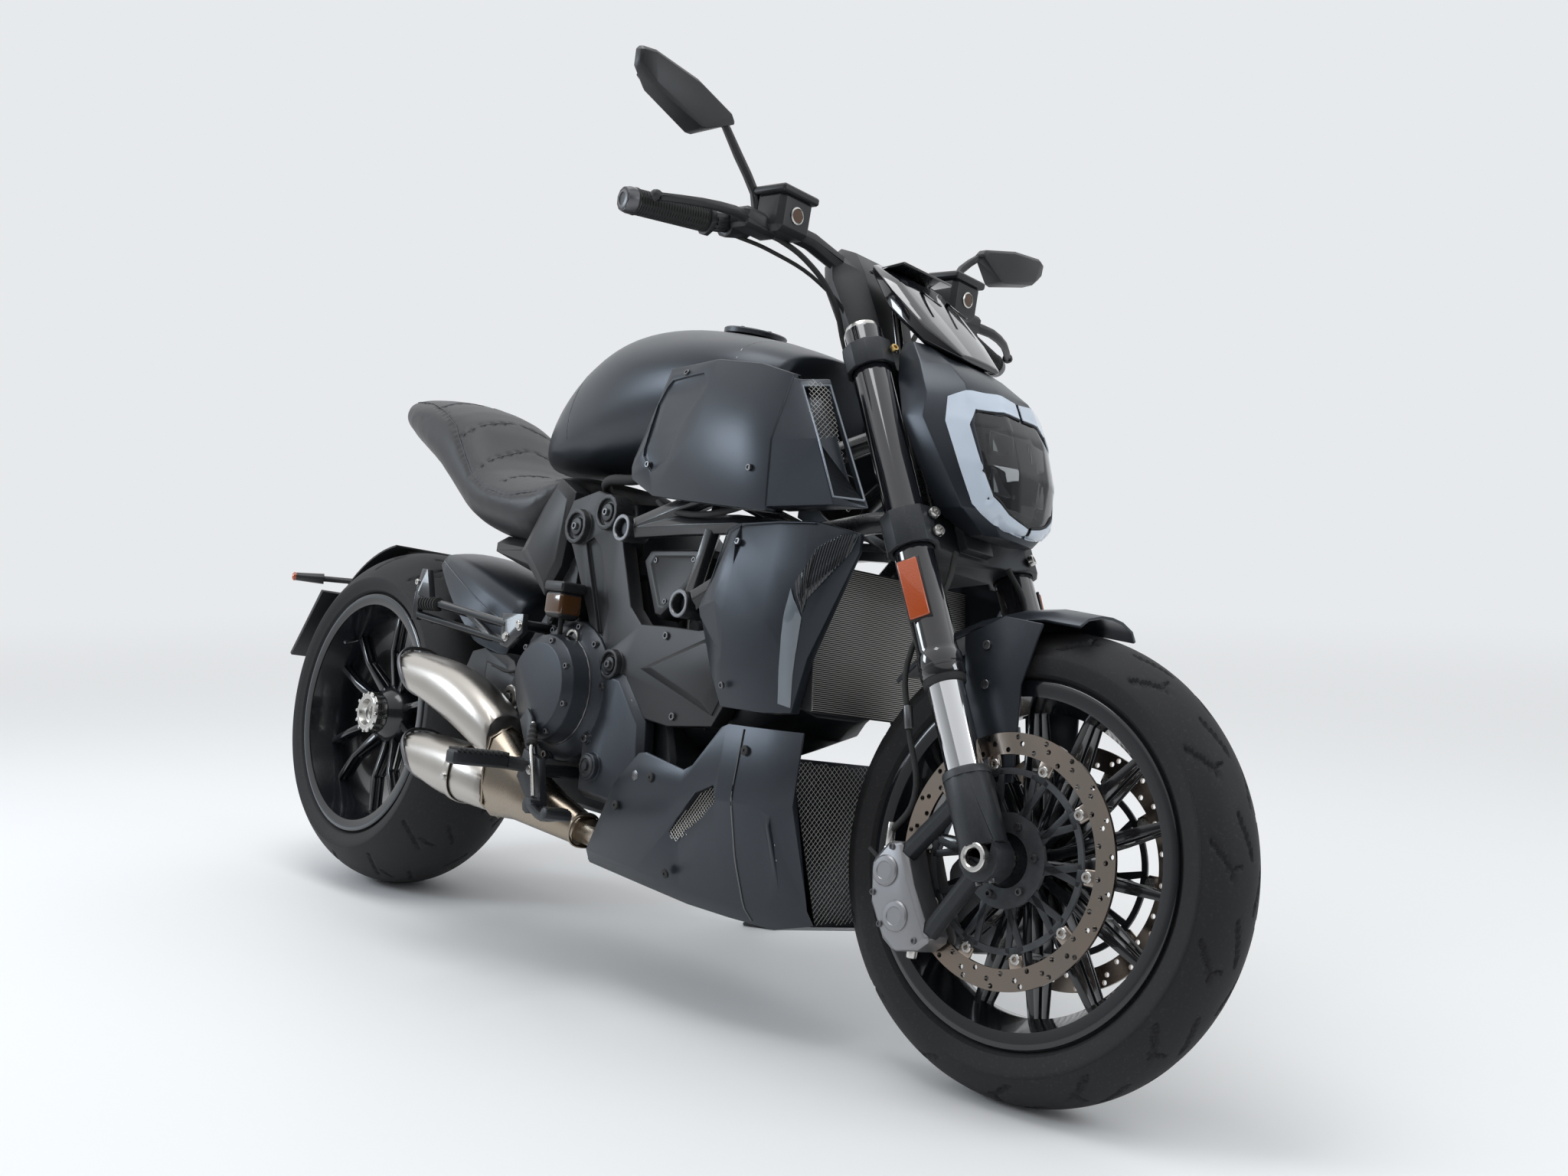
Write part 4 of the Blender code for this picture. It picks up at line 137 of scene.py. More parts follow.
def spread_over(tree, value, low, high, smooth=False):
    """A value made to run from 0 at the low end to 1 at the high end, or between the last two of four numbers."""
    node = tree.nodes.new("ShaderNodeMapRange")
    if smooth:
        node.interpolation_type = "SMOOTHSTEP"
    for name, number in zip(("From Min", "From Max", "To Min", "To Max"), (*low, *high)):
        node.inputs[name].default_value = number
    tree.links.new(value, node.inputs["Value"])
    return node.outputs["Result"]


def seen_by_camera(tree):
    """What the camera sees, straight and by way of metal or glass; then only what it sees straight."""
    rays = tree.nodes.new("ShaderNodeLightPath").outputs
    mirrored_too = joined_by(tree, "MAXIMUM", rays["Is Glossy Ray"], rays["Is Transmission Ray"])
    return joined_by(tree, "MAXIMUM", mirrored_too, rays["Is Camera Ray"]), rays["Is Camera Ray"]


def shows(tree, amount, under, over, output):
    """Mixes two shaders into the tree's output."""
    mix = tree.nodes.new("ShaderNodeMixShader")
    for value, socket in zip((amount, under, over), mix.inputs):
        tree.links.new(value, socket)
    tree.links.new(mix.outputs["Shader"], output.inputs["Surface"])


def fade_out(tree, shader):
    """Far from the machine the floor turns into the pale wall, for the camera and in what mirrors it."""
    wall, place = tree.nodes.new("ShaderNodeEmission"), tree.nodes.new("ShaderNodeTexCoord")
    away = tree.nodes.new("ShaderNodeVectorMath")
    wall.inputs["Color"].default_value = WALL
    away.operation = "LENGTH"
    tree.links.new(place.outputs["Object"], away.inputs[0])
    far = spread_over(tree, away.outputs["Value"], (FADE_START, FADE_END), (0.0, 1.0), smooth=True)
    amount = joined_by(tree, "MULTIPLY", seen_by_camera(tree)[0], far)
    shows(tree, amount, shader.outputs["BSDF"], wall.outputs["Emission"], tree.nodes["Material Output"])


def make_floor():
    nothing_selected()
    bpy.ops.mesh.primitive_plane_add(size=FLOOR_SIZE, location=(0.0, 0.0, 0.0))
    floor = bpy.context.object
    floor.name = "studio_floor"
    look = bpy.data.materials.new("pale_floor")
    look.use_nodes = True
    shader = look.node_tree.nodes["Principled BSDF"]
    shader.inputs["Base Color"].default_value = (0.85, 0.845, 0.84, 1.0)
    shader.inputs["Roughness"].default_value = 0.55
    fade_out(look.node_tree, shader)
    floor.data.materials.append(look)


def make_room():
    """A soft even light, and a pale wall: even to the camera, but in metal and glass bright behind the machine
    and dim behind the camera."""
    world = bpy.data.worlds.new("studio")
    bpy.context.scene.world = world
    world.use_nodes = True
    tree = world.node_tree
    tree.nodes.clear()
    soft, wall = tree.nodes.new("ShaderNodeBackground"), tree.nodes.new("ShaderNodeBackground")
    soft.inputs["Color"].default_value = (0.9, 0.95, 1.0, 1.0)
    soft.inputs["Strength"].default_value = 0.42
    wall.inputs["Color"].default_value = WALL
    toward, aside = tree.nodes.new("ShaderNodeTexCoord"), tree.nodes.new("ShaderNodeVectorMath")
    aside.operation = "DOT_PRODUCT"
    aside.inputs[1].default_value = (0.72, -0.62, -0.3)
    tree.links.new(toward.outputs["Generated"], aside.inputs[0])
    seen, straight = seen_by_camera(tree)
    room = spread_over(tree, aside.outputs["Value"], (-0.6, 0.7), (1.0, 0.15))
    tree.links.new(joined_by(tree, "MAXIMUM", straight, room), wall.inputs["Strength"])
    shows(tree, seen, soft.outputs["Background"], wall.outputs["Background"],
        tree.nodes.new("ShaderNodeOutputWorld"))


def add_light(name, kind, power, colour=(1.0, 1.0, 1.0), place=(0.0, 0.0, 0.0), aim=None, size=None, spread=None):
    data = bpy.data.lights.new(name, kind)
    data.energy = power
    data.color = colour
    if size:
        data.shape = "SQUARE"
        data.size = size
    if spread:
        data.angle = spread
    lamp = bpy.data.objects.new(name, data)
    bpy.context.scene.collection.objects.link(lamp)
    lamp.location = place
    if aim:
        lamp.rotation_euler = (Vector(aim) - Vector(place)).to_track_quat("-Z", "Y").to_euler()


def studio():
    make_floor()
    make_room()
    add_light("ceiling_light", "AREA", 34.0, (0.97, 0.99, 1.0), (0.0, -0.6, 3.4), (0.0, 0.0, 0.4), 1.6)
    add_light("window_light", "AREA", 36.0, (0.8, 0.9, 1.0), (-2.4, -2.6, 1.9), (-0.1, -0.1, 0.5), 1.0)
    add_light("front_light", "AREA", 20.0, (0.88, 0.95, 1.0), (3.2, 1.0, 1.9), (0.4, 0.0, 0.6), 1.0)
    add_light("even_light", "SUN", 1.15, spread=math.radians(120.0))
    bpy.context.scene.view_settings.view_transform = "Standard"


# Finishes


def group_tree(name, inputs, outputs):
    tree = bpy.data.node_groups.new(name, "ShaderNodeTree")
    for label, kind, value in inputs:
        socket = tree.interface.new_socket(name=label, in_out="INPUT", socket_type=kind)
        socket.default_value = value
    for label, kind in outputs:
        tree.interface.new_socket(name=label, in_out="OUTPUT", socket_type=kind)
    return tree, tree.nodes.new("NodeGroupInput"), tree.nodes.new("NodeGroupOutput")


def surface_grain():
    """Fine grain, a slow drift and faint dust: a colour, a roughness and a height that vary over the surface."""
    tree, given, made = group_tree(
        "surface_grain",
        [
            ("Vector", "NodeSocketVector", (0, 0, 0)), ("Grain Scale", "NodeSocketFloat", 900.0),
            ("Drift Scale", "NodeSocketFloat", 9.0), ("Roughness", "NodeSocketFloat", 0.5),
            ("Spread", "NodeSocketFloat", 0.08), ("Colour", "NodeSocketColor", (0.1, 0.1, 0.1, 1)),
            ("Faded", "NodeSocketColor", (0.12, 0.12, 0.12, 1)), ("Dust", "NodeSocketFloat", 0.02),
            ("Dust Colour", "NodeSocketColor", (0.3, 0.29, 0.27, 1)),
        ],
        [("Colour", "NodeSocketColor"), ("Roughness", "NodeSocketFloat"), ("Height", "NodeSocketFloat")],
    )
    new, link = tree.nodes.new, tree.links.new

    def math_node(operation, first, second, third=None):
        node = new("ShaderNodeMath")
        node.operation = operation
        for socket, value in zip(node.inputs, (first, second, third)):
            if isinstance(value, (int, float)):
                socket.default_value = value
            elif value is not None:
                link(value, socket)
        return node.outputs[0]

    def noise(scale, detail, roughness=0.5):
        node = new("ShaderNodeTexNoise")
        node.inputs["Detail"].default_value = detail
        node.inputs["Roughness"].default_value = roughness
        link(given.outputs["Vector"], node.inputs["Vector"])
        if isinstance(scale, float):
            node.inputs["Scale"].default_value = scale
        else:
            link(scale, node.inputs["Scale"])
        return node.outputs["Fac"]

    fine = noise(given.outputs["Grain Scale"], 2.0)
    slow = noise(given.outputs["Drift Scale"], 5.0)
    specks = noise(260.0, 3.0, 0.65)
    patches = noise(5.0, 3.0, 0.6)
    rough = math_node("MULTIPLY_ADD", math_node("SUBTRACT", slow, 0.5), given.outputs["Spread"],
        given.outputs["Roughness"])
    shade = new("ShaderNodeMix")
    shade.data_type = "RGBA"
    link(slow, shade.inputs["Factor"])
    link(given.outputs["Colour"], shade.inputs["A"])
    link(given.outputs["Faded"], shade.inputs["B"])
    # Dust lies in specks, thicker in patches
    settled = math_node("MULTIPLY", math_node("SMOOTH_MAX", math_node("SUBTRACT", specks, 0.56), 0.0, 0.05),
        patches)
    amount = math_node("MULTIPLY", math_node("MULTIPLY", settled, 14.0), given.outputs["Dust"])
    limited = math_node("MINIMUM", amount, 0.8)
    dusted = new("ShaderNodeMix")
    dusted.data_type = "RGBA"
    link(limited, dusted.inputs["Factor"])
    link(shade.outputs["Result"], dusted.inputs["A"])
    link(given.outputs["Dust Colour"], dusted.inputs["B"])
    link(dusted.outputs["Result"], made.inputs["Colour"])
    link(math_node("ADD", rough, limited), made.inputs["Roughness"])
    link(fine, made.inputs["Height"])
    return tree


def brushed_lines():
    """Long fine scratches along one direction, as a brush or a lathe leaves them."""
    tree, given, made = group_tree(
        "brushed_lines",
        [("Vector", "NodeSocketVector", (0, 0, 0)), ("Stretch", "NodeSocketVector", (900, 900, 20))],
        [("Lines", "NodeSocketFloat")],
    )
    new, link = tree.nodes.new, tree.links.new
    scaled = new("ShaderNodeVectorMath")
    scaled.operation = "MULTIPLY"
    noise = new("ShaderNodeTexNoise")
    noise.inputs["Scale"].default_value = 1.0
    noise.inputs["Detail"].default_value = 3.0
    link(given.outputs["Vector"], scaled.inputs[0])
    link(given.outputs["Stretch"], scaled.inputs[1])
    link(scaled.outputs[0], noise.inputs["Vector"])
    link(noise.outputs["Fac"], made.inputs["Lines"])
    return tree


def worn_edges():
    """A mask that is strong on sharp outer edges and broken up by noise."""
    tree, given, made = group_tree(
        "worn_edges",
        [("Vector", "NodeSocketVector", (0, 0, 0)), ("Pointiness", "NodeSocketFloat", 0.5),
         ("Amount", "NodeSocketFloat", 0.5)],
        [("Wear", "NodeSocketFloat")],
    )
    new, link = tree.nodes.new, tree.links.new
    noise = new("ShaderNodeTexNoise")
    noise.inputs["Scale"].default_value = 45.0
    noise.inputs["Detail"].default_value = 4.0
    spread = new("ShaderNodeMapRange")
    spread.inputs["From Min"].default_value = 0.53
    spread.inputs["From Max"].default_value = 0.62
    product, strength = new("ShaderNodeMath"), new("ShaderNodeMath")
    product.operation = strength.operation = "MULTIPLY"
    link(given.outputs["Vector"], noise.inputs["Vector"])
    link(given.outputs["Pointiness"], spread.inputs["Value"])
    link(spread.outputs["Result"], product.inputs[0])
    link(noise.outputs["Fac"], product.inputs[1])
    link(product.outputs[0], strength.inputs[0])
    link(given.outputs["Amount"], strength.inputs[1])
    link(strength.outputs[0], made.inputs["Wear"])
    return tree


GRAIN = surface_grain()
LINES = brushed_lines()
WEAR = worn_edges()


WORN_METAL = (0.16, 0.165, 0.175, 1.0)


def finish(name, colour, roughness, metallic=0.0, grain=0.0, grain_scale=900.0, spread=0.1, fade=1.35, coat=0.0,
        coat_roughness=0.05, lines=None, line_height=0.0, alpha=1.0, emission=None, strength=0.0, transmission=0.0,
        drift_scale=9.0, sheen=0.0, specular=0.5, dust=0.02, wear=0.0, faded=None):
    """One finish: the shared grain gives its colour and roughness, with worn edges and brushed lines where asked."""
    made = bpy.data.materials.new(name)
    made.use_nodes = True
    tree = made.node_tree
    shader = tree.nodes["Principled BSDF"]
    for label, value in (("Metallic", metallic), ("Coat Weight", coat), ("Coat Roughness", coat_roughness),
            ("Alpha", alpha), ("Transmission Weight", transmission), ("Sheen Weight", sheen),
            ("Specular IOR Level", specular)):
        shader.inputs[label].default_value = value
    if emission:
        shader.inputs["Emission Color"].default_value = (*emission, 1.0)
        shader.inputs["Emission Strength"].default_value = strength
    place = tree.nodes.new("ShaderNodeTexCoord")
    mixed = tree.nodes.new("ShaderNodeGroup")
    mixed.node_tree = GRAIN
    for label, value in (("Grain Scale", grain_scale), ("Drift Scale", drift_scale), ("Roughness", roughness),
            ("Spread", spread), ("Dust", dust), ("Colour", (*colour, 1.0)), ("Faded",
            (*(faded or (min(1.0, c * fade) for c in colour)), 1.0))):
        mixed.inputs[label].default_value = value
    tree.links.new(place.outputs["Object"], mixed.inputs["Vector"])
    tree.links.new(mixed.outputs["Roughness"], shader.inputs["Roughness"])
    shade = mixed.outputs["Colour"]
    if wear:
        geometry = tree.nodes.new("ShaderNodeNewGeometry")
        rubbed = tree.nodes.new("ShaderNodeGroup")
        rubbed.node_tree = WEAR
        rubbed.inputs["Amount"].default_value = wear
        tree.links.new(place.outputs["Object"], rubbed.inputs["Vector"])
        tree.links.new(geometry.outputs["Pointiness"], rubbed.inputs["Pointiness"])
        blend = tree.nodes.new("ShaderNodeMix")
        blend.data_type = "RGBA"
        blend.inputs["B"].default_value = WORN_METAL
        tree.links.new(rubbed.outputs["Wear"], blend.inputs["Factor"])
        tree.links.new(shade, blend.inputs["A"])
        shade = blend.outputs["Result"]
    tree.links.new(shade, shader.inputs["Base Color"])
    height = mixed.outputs["Height"]
    if lines:
        brushed = tree.nodes.new("ShaderNodeGroup")
        brushed.node_tree = LINES
        brushed.inputs["Stretch"].default_value = lines
        tree.links.new(place.outputs["Object"], brushed.inputs["Vector"])
        height = brushed.outputs["Lines"]
    if grain or line_height:
        bump = tree.nodes.new("ShaderNodeBump")
        bump.inputs["Strength"].default_value = 1.0
        bump.inputs["Distance"].default_value = line_height if lines else grain
        tree.links.new(height, bump.inputs["Height"])
        tree.links.new(bump.outputs["Normal"], shader.inputs["Normal"])
    return made


def make_finishes():
    made = [
        finish("satin_graphite", (0.024, 0.029, 0.037), 0.33, 0.55, 0.00003, 2600, 0.08, 1.2, 0.1, 0.35, dust=0.015,
               wear=0.3),
        finish("gloss_black", (0.006, 0.006, 0.008), 0.1, coat=1.0, coat_roughness=0.03, dust=0.01),
        finish("wheel_black", (0.006, 0.007, 0.009), 0.2, 0.1, 0.00002, 1500, coat=0.5, dust=0.008, wear=0.08),
        # Painted highlight: a lighter blue-grey gloss for thin strips laid where light catches the rear rim's lip,
        # the radiator covers' edges and the hugger's ridge
        finish("painted_highlight_gloss", (0.03, 0.04, 0.052), 0.16, 0.5, coat=0.6, dust=0.02),
        finish("frame_black", (0.01, 0.011, 0.013), 0.28, 0.0, 0.00005, 600, coat=0.35, dust=0.02, wear=0.2),
        finish("cast_black", (0.013, 0.015, 0.018), 0.42, 0.3, 0.00022, 900, 0.12, dust=0.03, wear=0.5),
        finish("cast_grey", (0.026, 0.03, 0.037), 0.36, 0.5, 0.00018, 900, 0.12, dust=0.03, wear=0.5),
        finish("moulded_black", (0.01, 0.0105, 0.012), 0.44, 0.0, 0.00012, 800, dust=0.02, wear=0.12),
        finish("silver_casting", (0.27, 0.27, 0.28), 0.4, 0.8, 0.00012, 900, 0.1, 1.1, dust=0.05),
        finish("brushed_steel", (0.4, 0.375, 0.345), 0.3, 1.0, spread=0.14, fade=1.2, lines=(40.0, 900.0, 900.0),
               line_height=0.00005, dust=0.05),
        finish("heat_tinted_steel", (0.33, 0.3, 0.26), 0.27, 1.0, spread=0.1, drift_scale=16.0, dust=0.05,
               faded=(0.31, 0.245, 0.18)),
        finish("disc_steel", (0.29, 0.275, 0.262), 0.21, 1.0, spread=0.14, fade=1.0, grain=0.00002, grain_scale=700,
               dust=0.005, faded=(0.32, 0.24, 0.18)),
        finish("bright_steel", (0.5, 0.49, 0.47), 0.26, 1.0, 0.00003, 900, dust=0.05),
        finish("dark_steel", (0.12, 0.12, 0.125), 0.34, 0.9, 0.00003, 900, dust=0.03),
        finish("hard_chrome", (0.72, 0.73, 0.75), 0.06, 1.0, spread=0.03, fade=1.03, dust=0.0),
        finish("gold_steel", (0.45, 0.32, 0.13), 0.3, 1.0, dust=0.03),
        finish("chain_steel", (0.16, 0.15, 0.14), 0.38, 0.9, 0.0001, 900, dust=0.08),
        finish("tyre_rubber", (0.01, 0.01, 0.011), 0.66, 0.0, 0.00012, 1800, 0.14, 1.3, dust=0.05, specular=0.35),
        finish("grip_rubber", (0.012, 0.012, 0.012), 0.72, 0.0, 0.00012, 1500, dust=0.03),
        finish("seat_leather", (0.021, 0.021, 0.023), 0.5, 0.0, 0.00045, 420, 0.12, sheen=0.08, dust=0.01),
        finish("seat_side", (0.013, 0.013, 0.015), 0.42, 0.0, 0.0001, 900, 0.08, dust=0.01),
        finish("seam_thread", (0.06, 0.06, 0.064), 0.65, dust=0.0),
        finish("clear_glass", (0.004, 0.005, 0.007), 0.02, alpha=0.55, coat=1.0, coat_roughness=0.02, dust=0.0),
        # Near-black: the dark trim lines round the light bar, and painted shade on a plate behind the belly's vent
        # mesh
        finish("dark_trim_and_painted_shade", (0.003, 0.003, 0.004), 0.6, dust=0.0),
        finish("smoked_lens", (0.03, 0.034, 0.04), 0.08, coat=1.0, dust=0.0),
        finish("pale_lamp", (0.4, 0.45, 0.52), 0.22, emission=(0.72, 0.8, 0.9), strength=0.06, coat=0.5, dust=0.0),
        finish("lamp_bowl", (0.012, 0.012, 0.014), 0.2, 0.6, coat=0.6, dust=0.0),
        finish("orange_reflector", (0.36, 0.055, 0.006), 0.18, coat=1.0, lines=(500.0, 500.0, 500.0),
               line_height=0.0004, dust=0.0),
        finish("mirror_glass", (0.7, 0.72, 0.74), 0.03, 1.0, spread=0.0, fade=1.0, dust=0.0),
        finish("woven_steel", (0.46, 0.45, 0.42), 0.42, 0.6, dust=0.05),
        finish("brake_fluid", (0.07, 0.028, 0.008), 0.16, transmission=0.15, coat=0.8, dust=0.0),
        finish("radiator_fins", (0.018, 0.018, 0.02), 0.42, 0.4, 0.00003, 900, dust=0.03),
        finish("screen_black", (0.004, 0.005, 0.006), 0.05, coat=1.0, coat_roughness=0.02, dust=0.0),
        finish("tail_lamp_red", (0.2, 0.006, 0.006), 0.12, coat=1.0, dust=0.0),
        finish("clear_strip", (0.115, 0.135, 0.155), 0.2, coat=1.0, dust=0.0),
        # Painted highlight: a pale line round the lip of each intake's mouth
        finish("intake_lip_highlight", (0.2, 0.22, 0.25), 0.3, 0.7, dust=0.0),
        finish("spring_black", (0.016, 0.017, 0.02), 0.3, coat=0.5, dust=0.02),
    ]
    return {material.name.split(".")[0]: material for material in made}


# Modelling by hand: one operator after another on the selected piece

WELD = 0.00001
SOLID_WELD = 0.00003
QUARTER = math.radians(90.0)


def edit(piece):
    alone(piece)
    bpy.ops.object.mode_set(mode="EDIT")
    bpy.ops.mesh.select_mode(type="VERT")
    bpy.ops.mesh.select_all(action="SELECT")


def done(piece, name=None):
    """Leaves edit mode with the piece's place in its mesh."""
    alone(piece)
    bpy.ops.object.transform_apply(location=True, rotation=True, scale=True)
    if name:
        piece.name = name
    return piece


def placed(piece, matrix):
    piece.matrix_world = matrix @ piece.matrix_world
    return done(piece)


def pick(test, kind="FACE"):
    """In edit mode, selects only the faces, edges or vertices that pass the test."""
    bpy.ops.mesh.select_mode(type=kind)
    bpy.ops.mesh.select_all(action="DESELECT")
    shape = bmesh.from_edit_mesh(bpy.context.edit_object.data)
    found = 0
    for part in getattr(shape, PARTS_OF[kind]):
        if test(part):
            part.select_set(True)
            found += 1
    shape.select_flush_mode()
    bmesh.update_edit_mesh(bpy.context.edit_object.data)
    return found


def changed(piece, kind, **settings):
    """Adds one modifier and applies it."""
    alone(piece)
    modifier = piece.modifiers.new(kind.lower(), kind)
    for key, value in settings.items():
        setattr(modifier, key, value)
    bpy.ops.object.modifier_apply(modifier=modifier.name)
    return piece


def softened(piece, width=0.0008, segments=2, angle=35.0, smooth=40.0, clamp=True):
    """Breaks the sharp edges with a small bevel and shades the rest smooth."""
    if width:
        changed(piece, "BEVEL", width=width, segments=segments, limit_method="ANGLE",
            angle_limit=math.radians(angle), use_clamp_overlap=clamp)
    return shaded(piece, smooth)


def shaded(piece, smooth=40.0):
    alone(piece)
    bpy.ops.object.shade_smooth_by_angle(angle=math.radians(smooth))
    return piece


def copied(piece, matrix=None, name=None):
    twin = bpy.data.objects.new(name or piece.name, piece.data.copy())
    bpy.context.scene.collection.objects.link(twin)
    if matrix:
        twin.data.transform(matrix)
    return twin


def gone(*pieces):
    """Takes away pieces that only served as patterns or cutters."""
    for piece in pieces:
        bpy.data.objects.remove(piece)


def around(piece, count, first=0.0):
    """Copies turned round the Y axis, evenly from a first angle in degrees."""
    return [copied(piece, Matrix.Rotation(math.radians(first + 360.0 * i / count), 4, "Y")) for i in range(count)]


def circle(centre, radius, degrees, normal=(0.0, -1.0, 0.0)):
    """Spots with their normal on an upright circle, at angles in degrees."""
    return [(Vector(centre) + Vector((radius * math.cos(a), 0.0, radius * math.sin(a))), normal)
        for a in map(math.radians, degrees)]


def joined(pieces, name):
    pieces = list(pieces)
    nothing_selected()
    for piece in pieces:
        piece.select_set(True)
    bpy.context.view_layer.objects.active = pieces[0]
    if len(pieces) > 1:
        bpy.ops.object.join()
    pieces[0].name = name
    return pieces[0]


def cut_by(piece, cutter):
    changed(piece, "BOOLEAN", operation="DIFFERENCE", object=cutter, solver="EXACT")
    gone(cutter)
    return piece


def rounds_out():
    bpy.ops.mesh.select_all(action="SELECT")
    bpy.ops.mesh.remove_doubles(threshold=WELD)
    bpy.ops.mesh.normals_make_consistent(inside=False)


def line_of(points):
    """A line drawn point by point, left in edit mode."""
    nothing_selected()
    points = [Vector(p) for p in points]
    bpy.ops.mesh.primitive_plane_add(size=0.001, location=points[0])
    piece = bpy.context.object
    edit(piece)
    bpy.ops.mesh.merge(type="CENTER")
    for before, after in zip(points, points[1:]):
        bpy.ops.mesh.extrude_region_move(TRANSFORM_OT_translate={"value": after - before})
    return piece


def spun(name, profile, steps=64, matrix=None, closed=True, smooth=35.0):
    """A profile of (radius, side) points, turned about the Y axis."""
    points = [(r, y, 0.0) for r, y in profile]
    piece = line_of(points + points[:1] if closed else points)
    bpy.ops.mesh.select_all(action="SELECT")
    bpy.ops.mesh.spin(steps=steps, angle=2 * math.pi, center=(0.0, 0.0, 0.0), axis=(0.0, 1.0, 0.0))
    rounds_out()
    done(piece, name)
    if matrix:
        placed(piece, matrix)
    return shaded(piece, smooth)


def plate_of(name, outline, depth, matrix=None, bevel=0.0006):
    """A flat outline of (x, z) points at Y zero, pushed out by its depth along Y."""
    piece = line_of([(x, 0.0, z) for x, z in outline])
    pick(lambda v: True, "VERT")
    bpy.ops.mesh.edge_face_add()
    bpy.ops.mesh.extrude_region_move(TRANSFORM_OT_translate={"value": (0.0, depth, 0.0)})
    rounds_out()
    done(piece, name)
    if matrix:
        placed(piece, matrix)
    return softened(piece, bevel) if bevel else piece


def bar_of(name, start, end, radius, sides=16, end_radius=None, bevel=0.0006):
    """A round bar from one point to another, its ends broken by a small bevel."""
    start, end = Vector(start), Vector(end)
    nothing_selected()
    run = end - start
    bpy.ops.mesh.primitive_cone_add(vertices=sides, radius1=radius, radius2=radius
        if end_radius is None else end_radius, depth=run.length, location=(start + end) / 2,
        rotation=run.to_track_quat("Z", "Y").to_euler())
    piece = done(bpy.context.object, name)
    return softened(piece, bevel, 2, 50.0) if bevel else shaded(piece)


def box_of(name, low, high, bevel=0.001, segments=2):
    """A box between two opposite corners, its edges rounded."""
    nothing_selected()
    low, high = Vector([*map(min, low, high)]), Vector([*map(max, low, high)])
    bpy.ops.mesh.primitive_cube_add(size=1.0, location=(low + high) / 2, scale=high - low)
    piece = done(bpy.context.object, name)
    return softened(piece, bevel, segments) if bevel else piece


def hose(name, points, radius, sides=2, smooth=True):
    """A hose or cable: a path through the points, rounded and made a mesh."""
    nothing_selected()
    bpy.ops.curve.primitive_nurbs_path_add(location=(0.0, 0.0, 0.0))
    path = bpy.context.object
    curve = path.data
    curve.splines.clear()
    line = curve.splines.new("BEZIER" if smooth else "POLY")
    if smooth:
        line.bezier_points.add(len(points) - 1)
        for point, place in zip(line.bezier_points, points):
            point.co = place
            point.handle_left_type = point.handle_right_type = "AUTO"
    else:
        line.points.add(len(points) - 1)
        for point, place in zip(line.points, points):
            point.co = (*place, 1.0)
    curve.resolution_u = 6
    curve.bevel_depth = radius
    curve.bevel_resolution = sides
    curve.use_fill_caps = True
    alone(path)
    bpy.ops.object.convert(target="MESH")
    piece = bpy.context.object
    edit(piece)
    rounds_out()
    done(piece, name)
    return shaded(piece, 50.0)


def mirrored(points, side):
    """The points of the left side, or on the right their mirror images."""
    return [Vector((x, side * y, z)) for x, y, z in points]


def facing(place, normal, up=(0.0, 0.0, 1.0)):
    """A frame at a place whose -Y axis looks along the normal."""
    y = -Vector(normal).normalized()
    z = (Vector(up) - y * Vector(up).dot(y)).normalized()
    x = y.cross(z)
    return axes(x, y, z, place)


def on_surface(piece, points, lift=0.0, steps=5):
    """Points along a line, each dropped to the nearest spot of the piece."""
    found = []
    for before, after in zip(points, points[1:]):
        for k in range(steps):
            spot = Vector(before).lerp(Vector(after), k / steps)
            _, place, normal, _ = piece.closest_point_on_mesh(spot)
            found.append(place + normal * lift)
    _, place, normal, _ = piece.closest_point_on_mesh(Vector(points[-1]))
    found.append(place + normal * lift)
    return found


RIBBON_COLUMNS = 5
RIBBON_THICKNESS = 0.0016


def ribbon(name, pairs, matrix, on, look, body, lift=0.0012, steps=5, heart=None):
    """A curved strip laid on the pieces it decorates, between two edges given as (one side, other side) pairs.

    With a heart, each spot is found by looking from outside towards it; without, it is the nearest one.
    """
    rows = []
    for (a, b), (c, d) in zip(pairs, pairs[1:]):
        rows += [(Vector(a).lerp(Vector(c), k / steps), Vector(b).lerp(Vector(d), k / steps)) for k in range(steps)]
    rows.append((Vector(pairs[-1][0]), Vector(pairs[-1][1])))
    nothing_selected()
    bpy.ops.mesh.primitive_grid_add(x_subdivisions=RIBBON_COLUMNS, y_subdivisions=len(rows) - 1, size=1.0)
    strip = bpy.context.object

    def laid(spot):
        found = []
        for piece in on:
            if heart is None:
                hit, place, normal, _ = piece.closest_point_on_mesh(spot)
            else:
                outside = heart + (spot - heart) * 2.0
                hit, place, normal, _ = piece.ray_cast(outside, (heart - outside).normalized())
            if hit:
                found.append(((place - (spot if heart is None else outside)).length, place + normal * lift))
        return min(found, key=lambda f: f[0])[1] if found else spot

    spots = sorted(strip.data.vertices, key=lambda v: (round(v.co.y, 4), round(v.co.x, 4)))
    for i, (one, other) in enumerate(rows):
        for k in range(RIBBON_COLUMNS + 1):
            spots[i * (RIBBON_COLUMNS + 1) + k].co = laid(matrix @ one.lerp(other, k / RIBBON_COLUMNS))
    edit(strip)
    bpy.ops.mesh.normals_make_consistent(inside=False)
    done(strip, name)
    changed(strip, "SOLIDIFY", thickness=RIBBON_THICKNESS, offset=0.0)
    edit(strip)
    rounds_out()
    done(strip)
    return shown(softened(strip, 0.0004, 1, 50.0), look, body, slot="lens")


BODY_OF = {name: body for body, names in frame["record"]["behaviour"]["bodies"].items() for name in names}

# The record's material slots for the finishes of the skins
SLOT_OF_LOOK = {
    "satin_graphite": "satin_black", "gloss_black": "gloss_black", "frame_black": "frame_black",
    "cast_black": "black_casting", "cast_grey": "grey_casting", "silver_casting": "grey_casting",
    "moulded_black": "black_plastic",
}


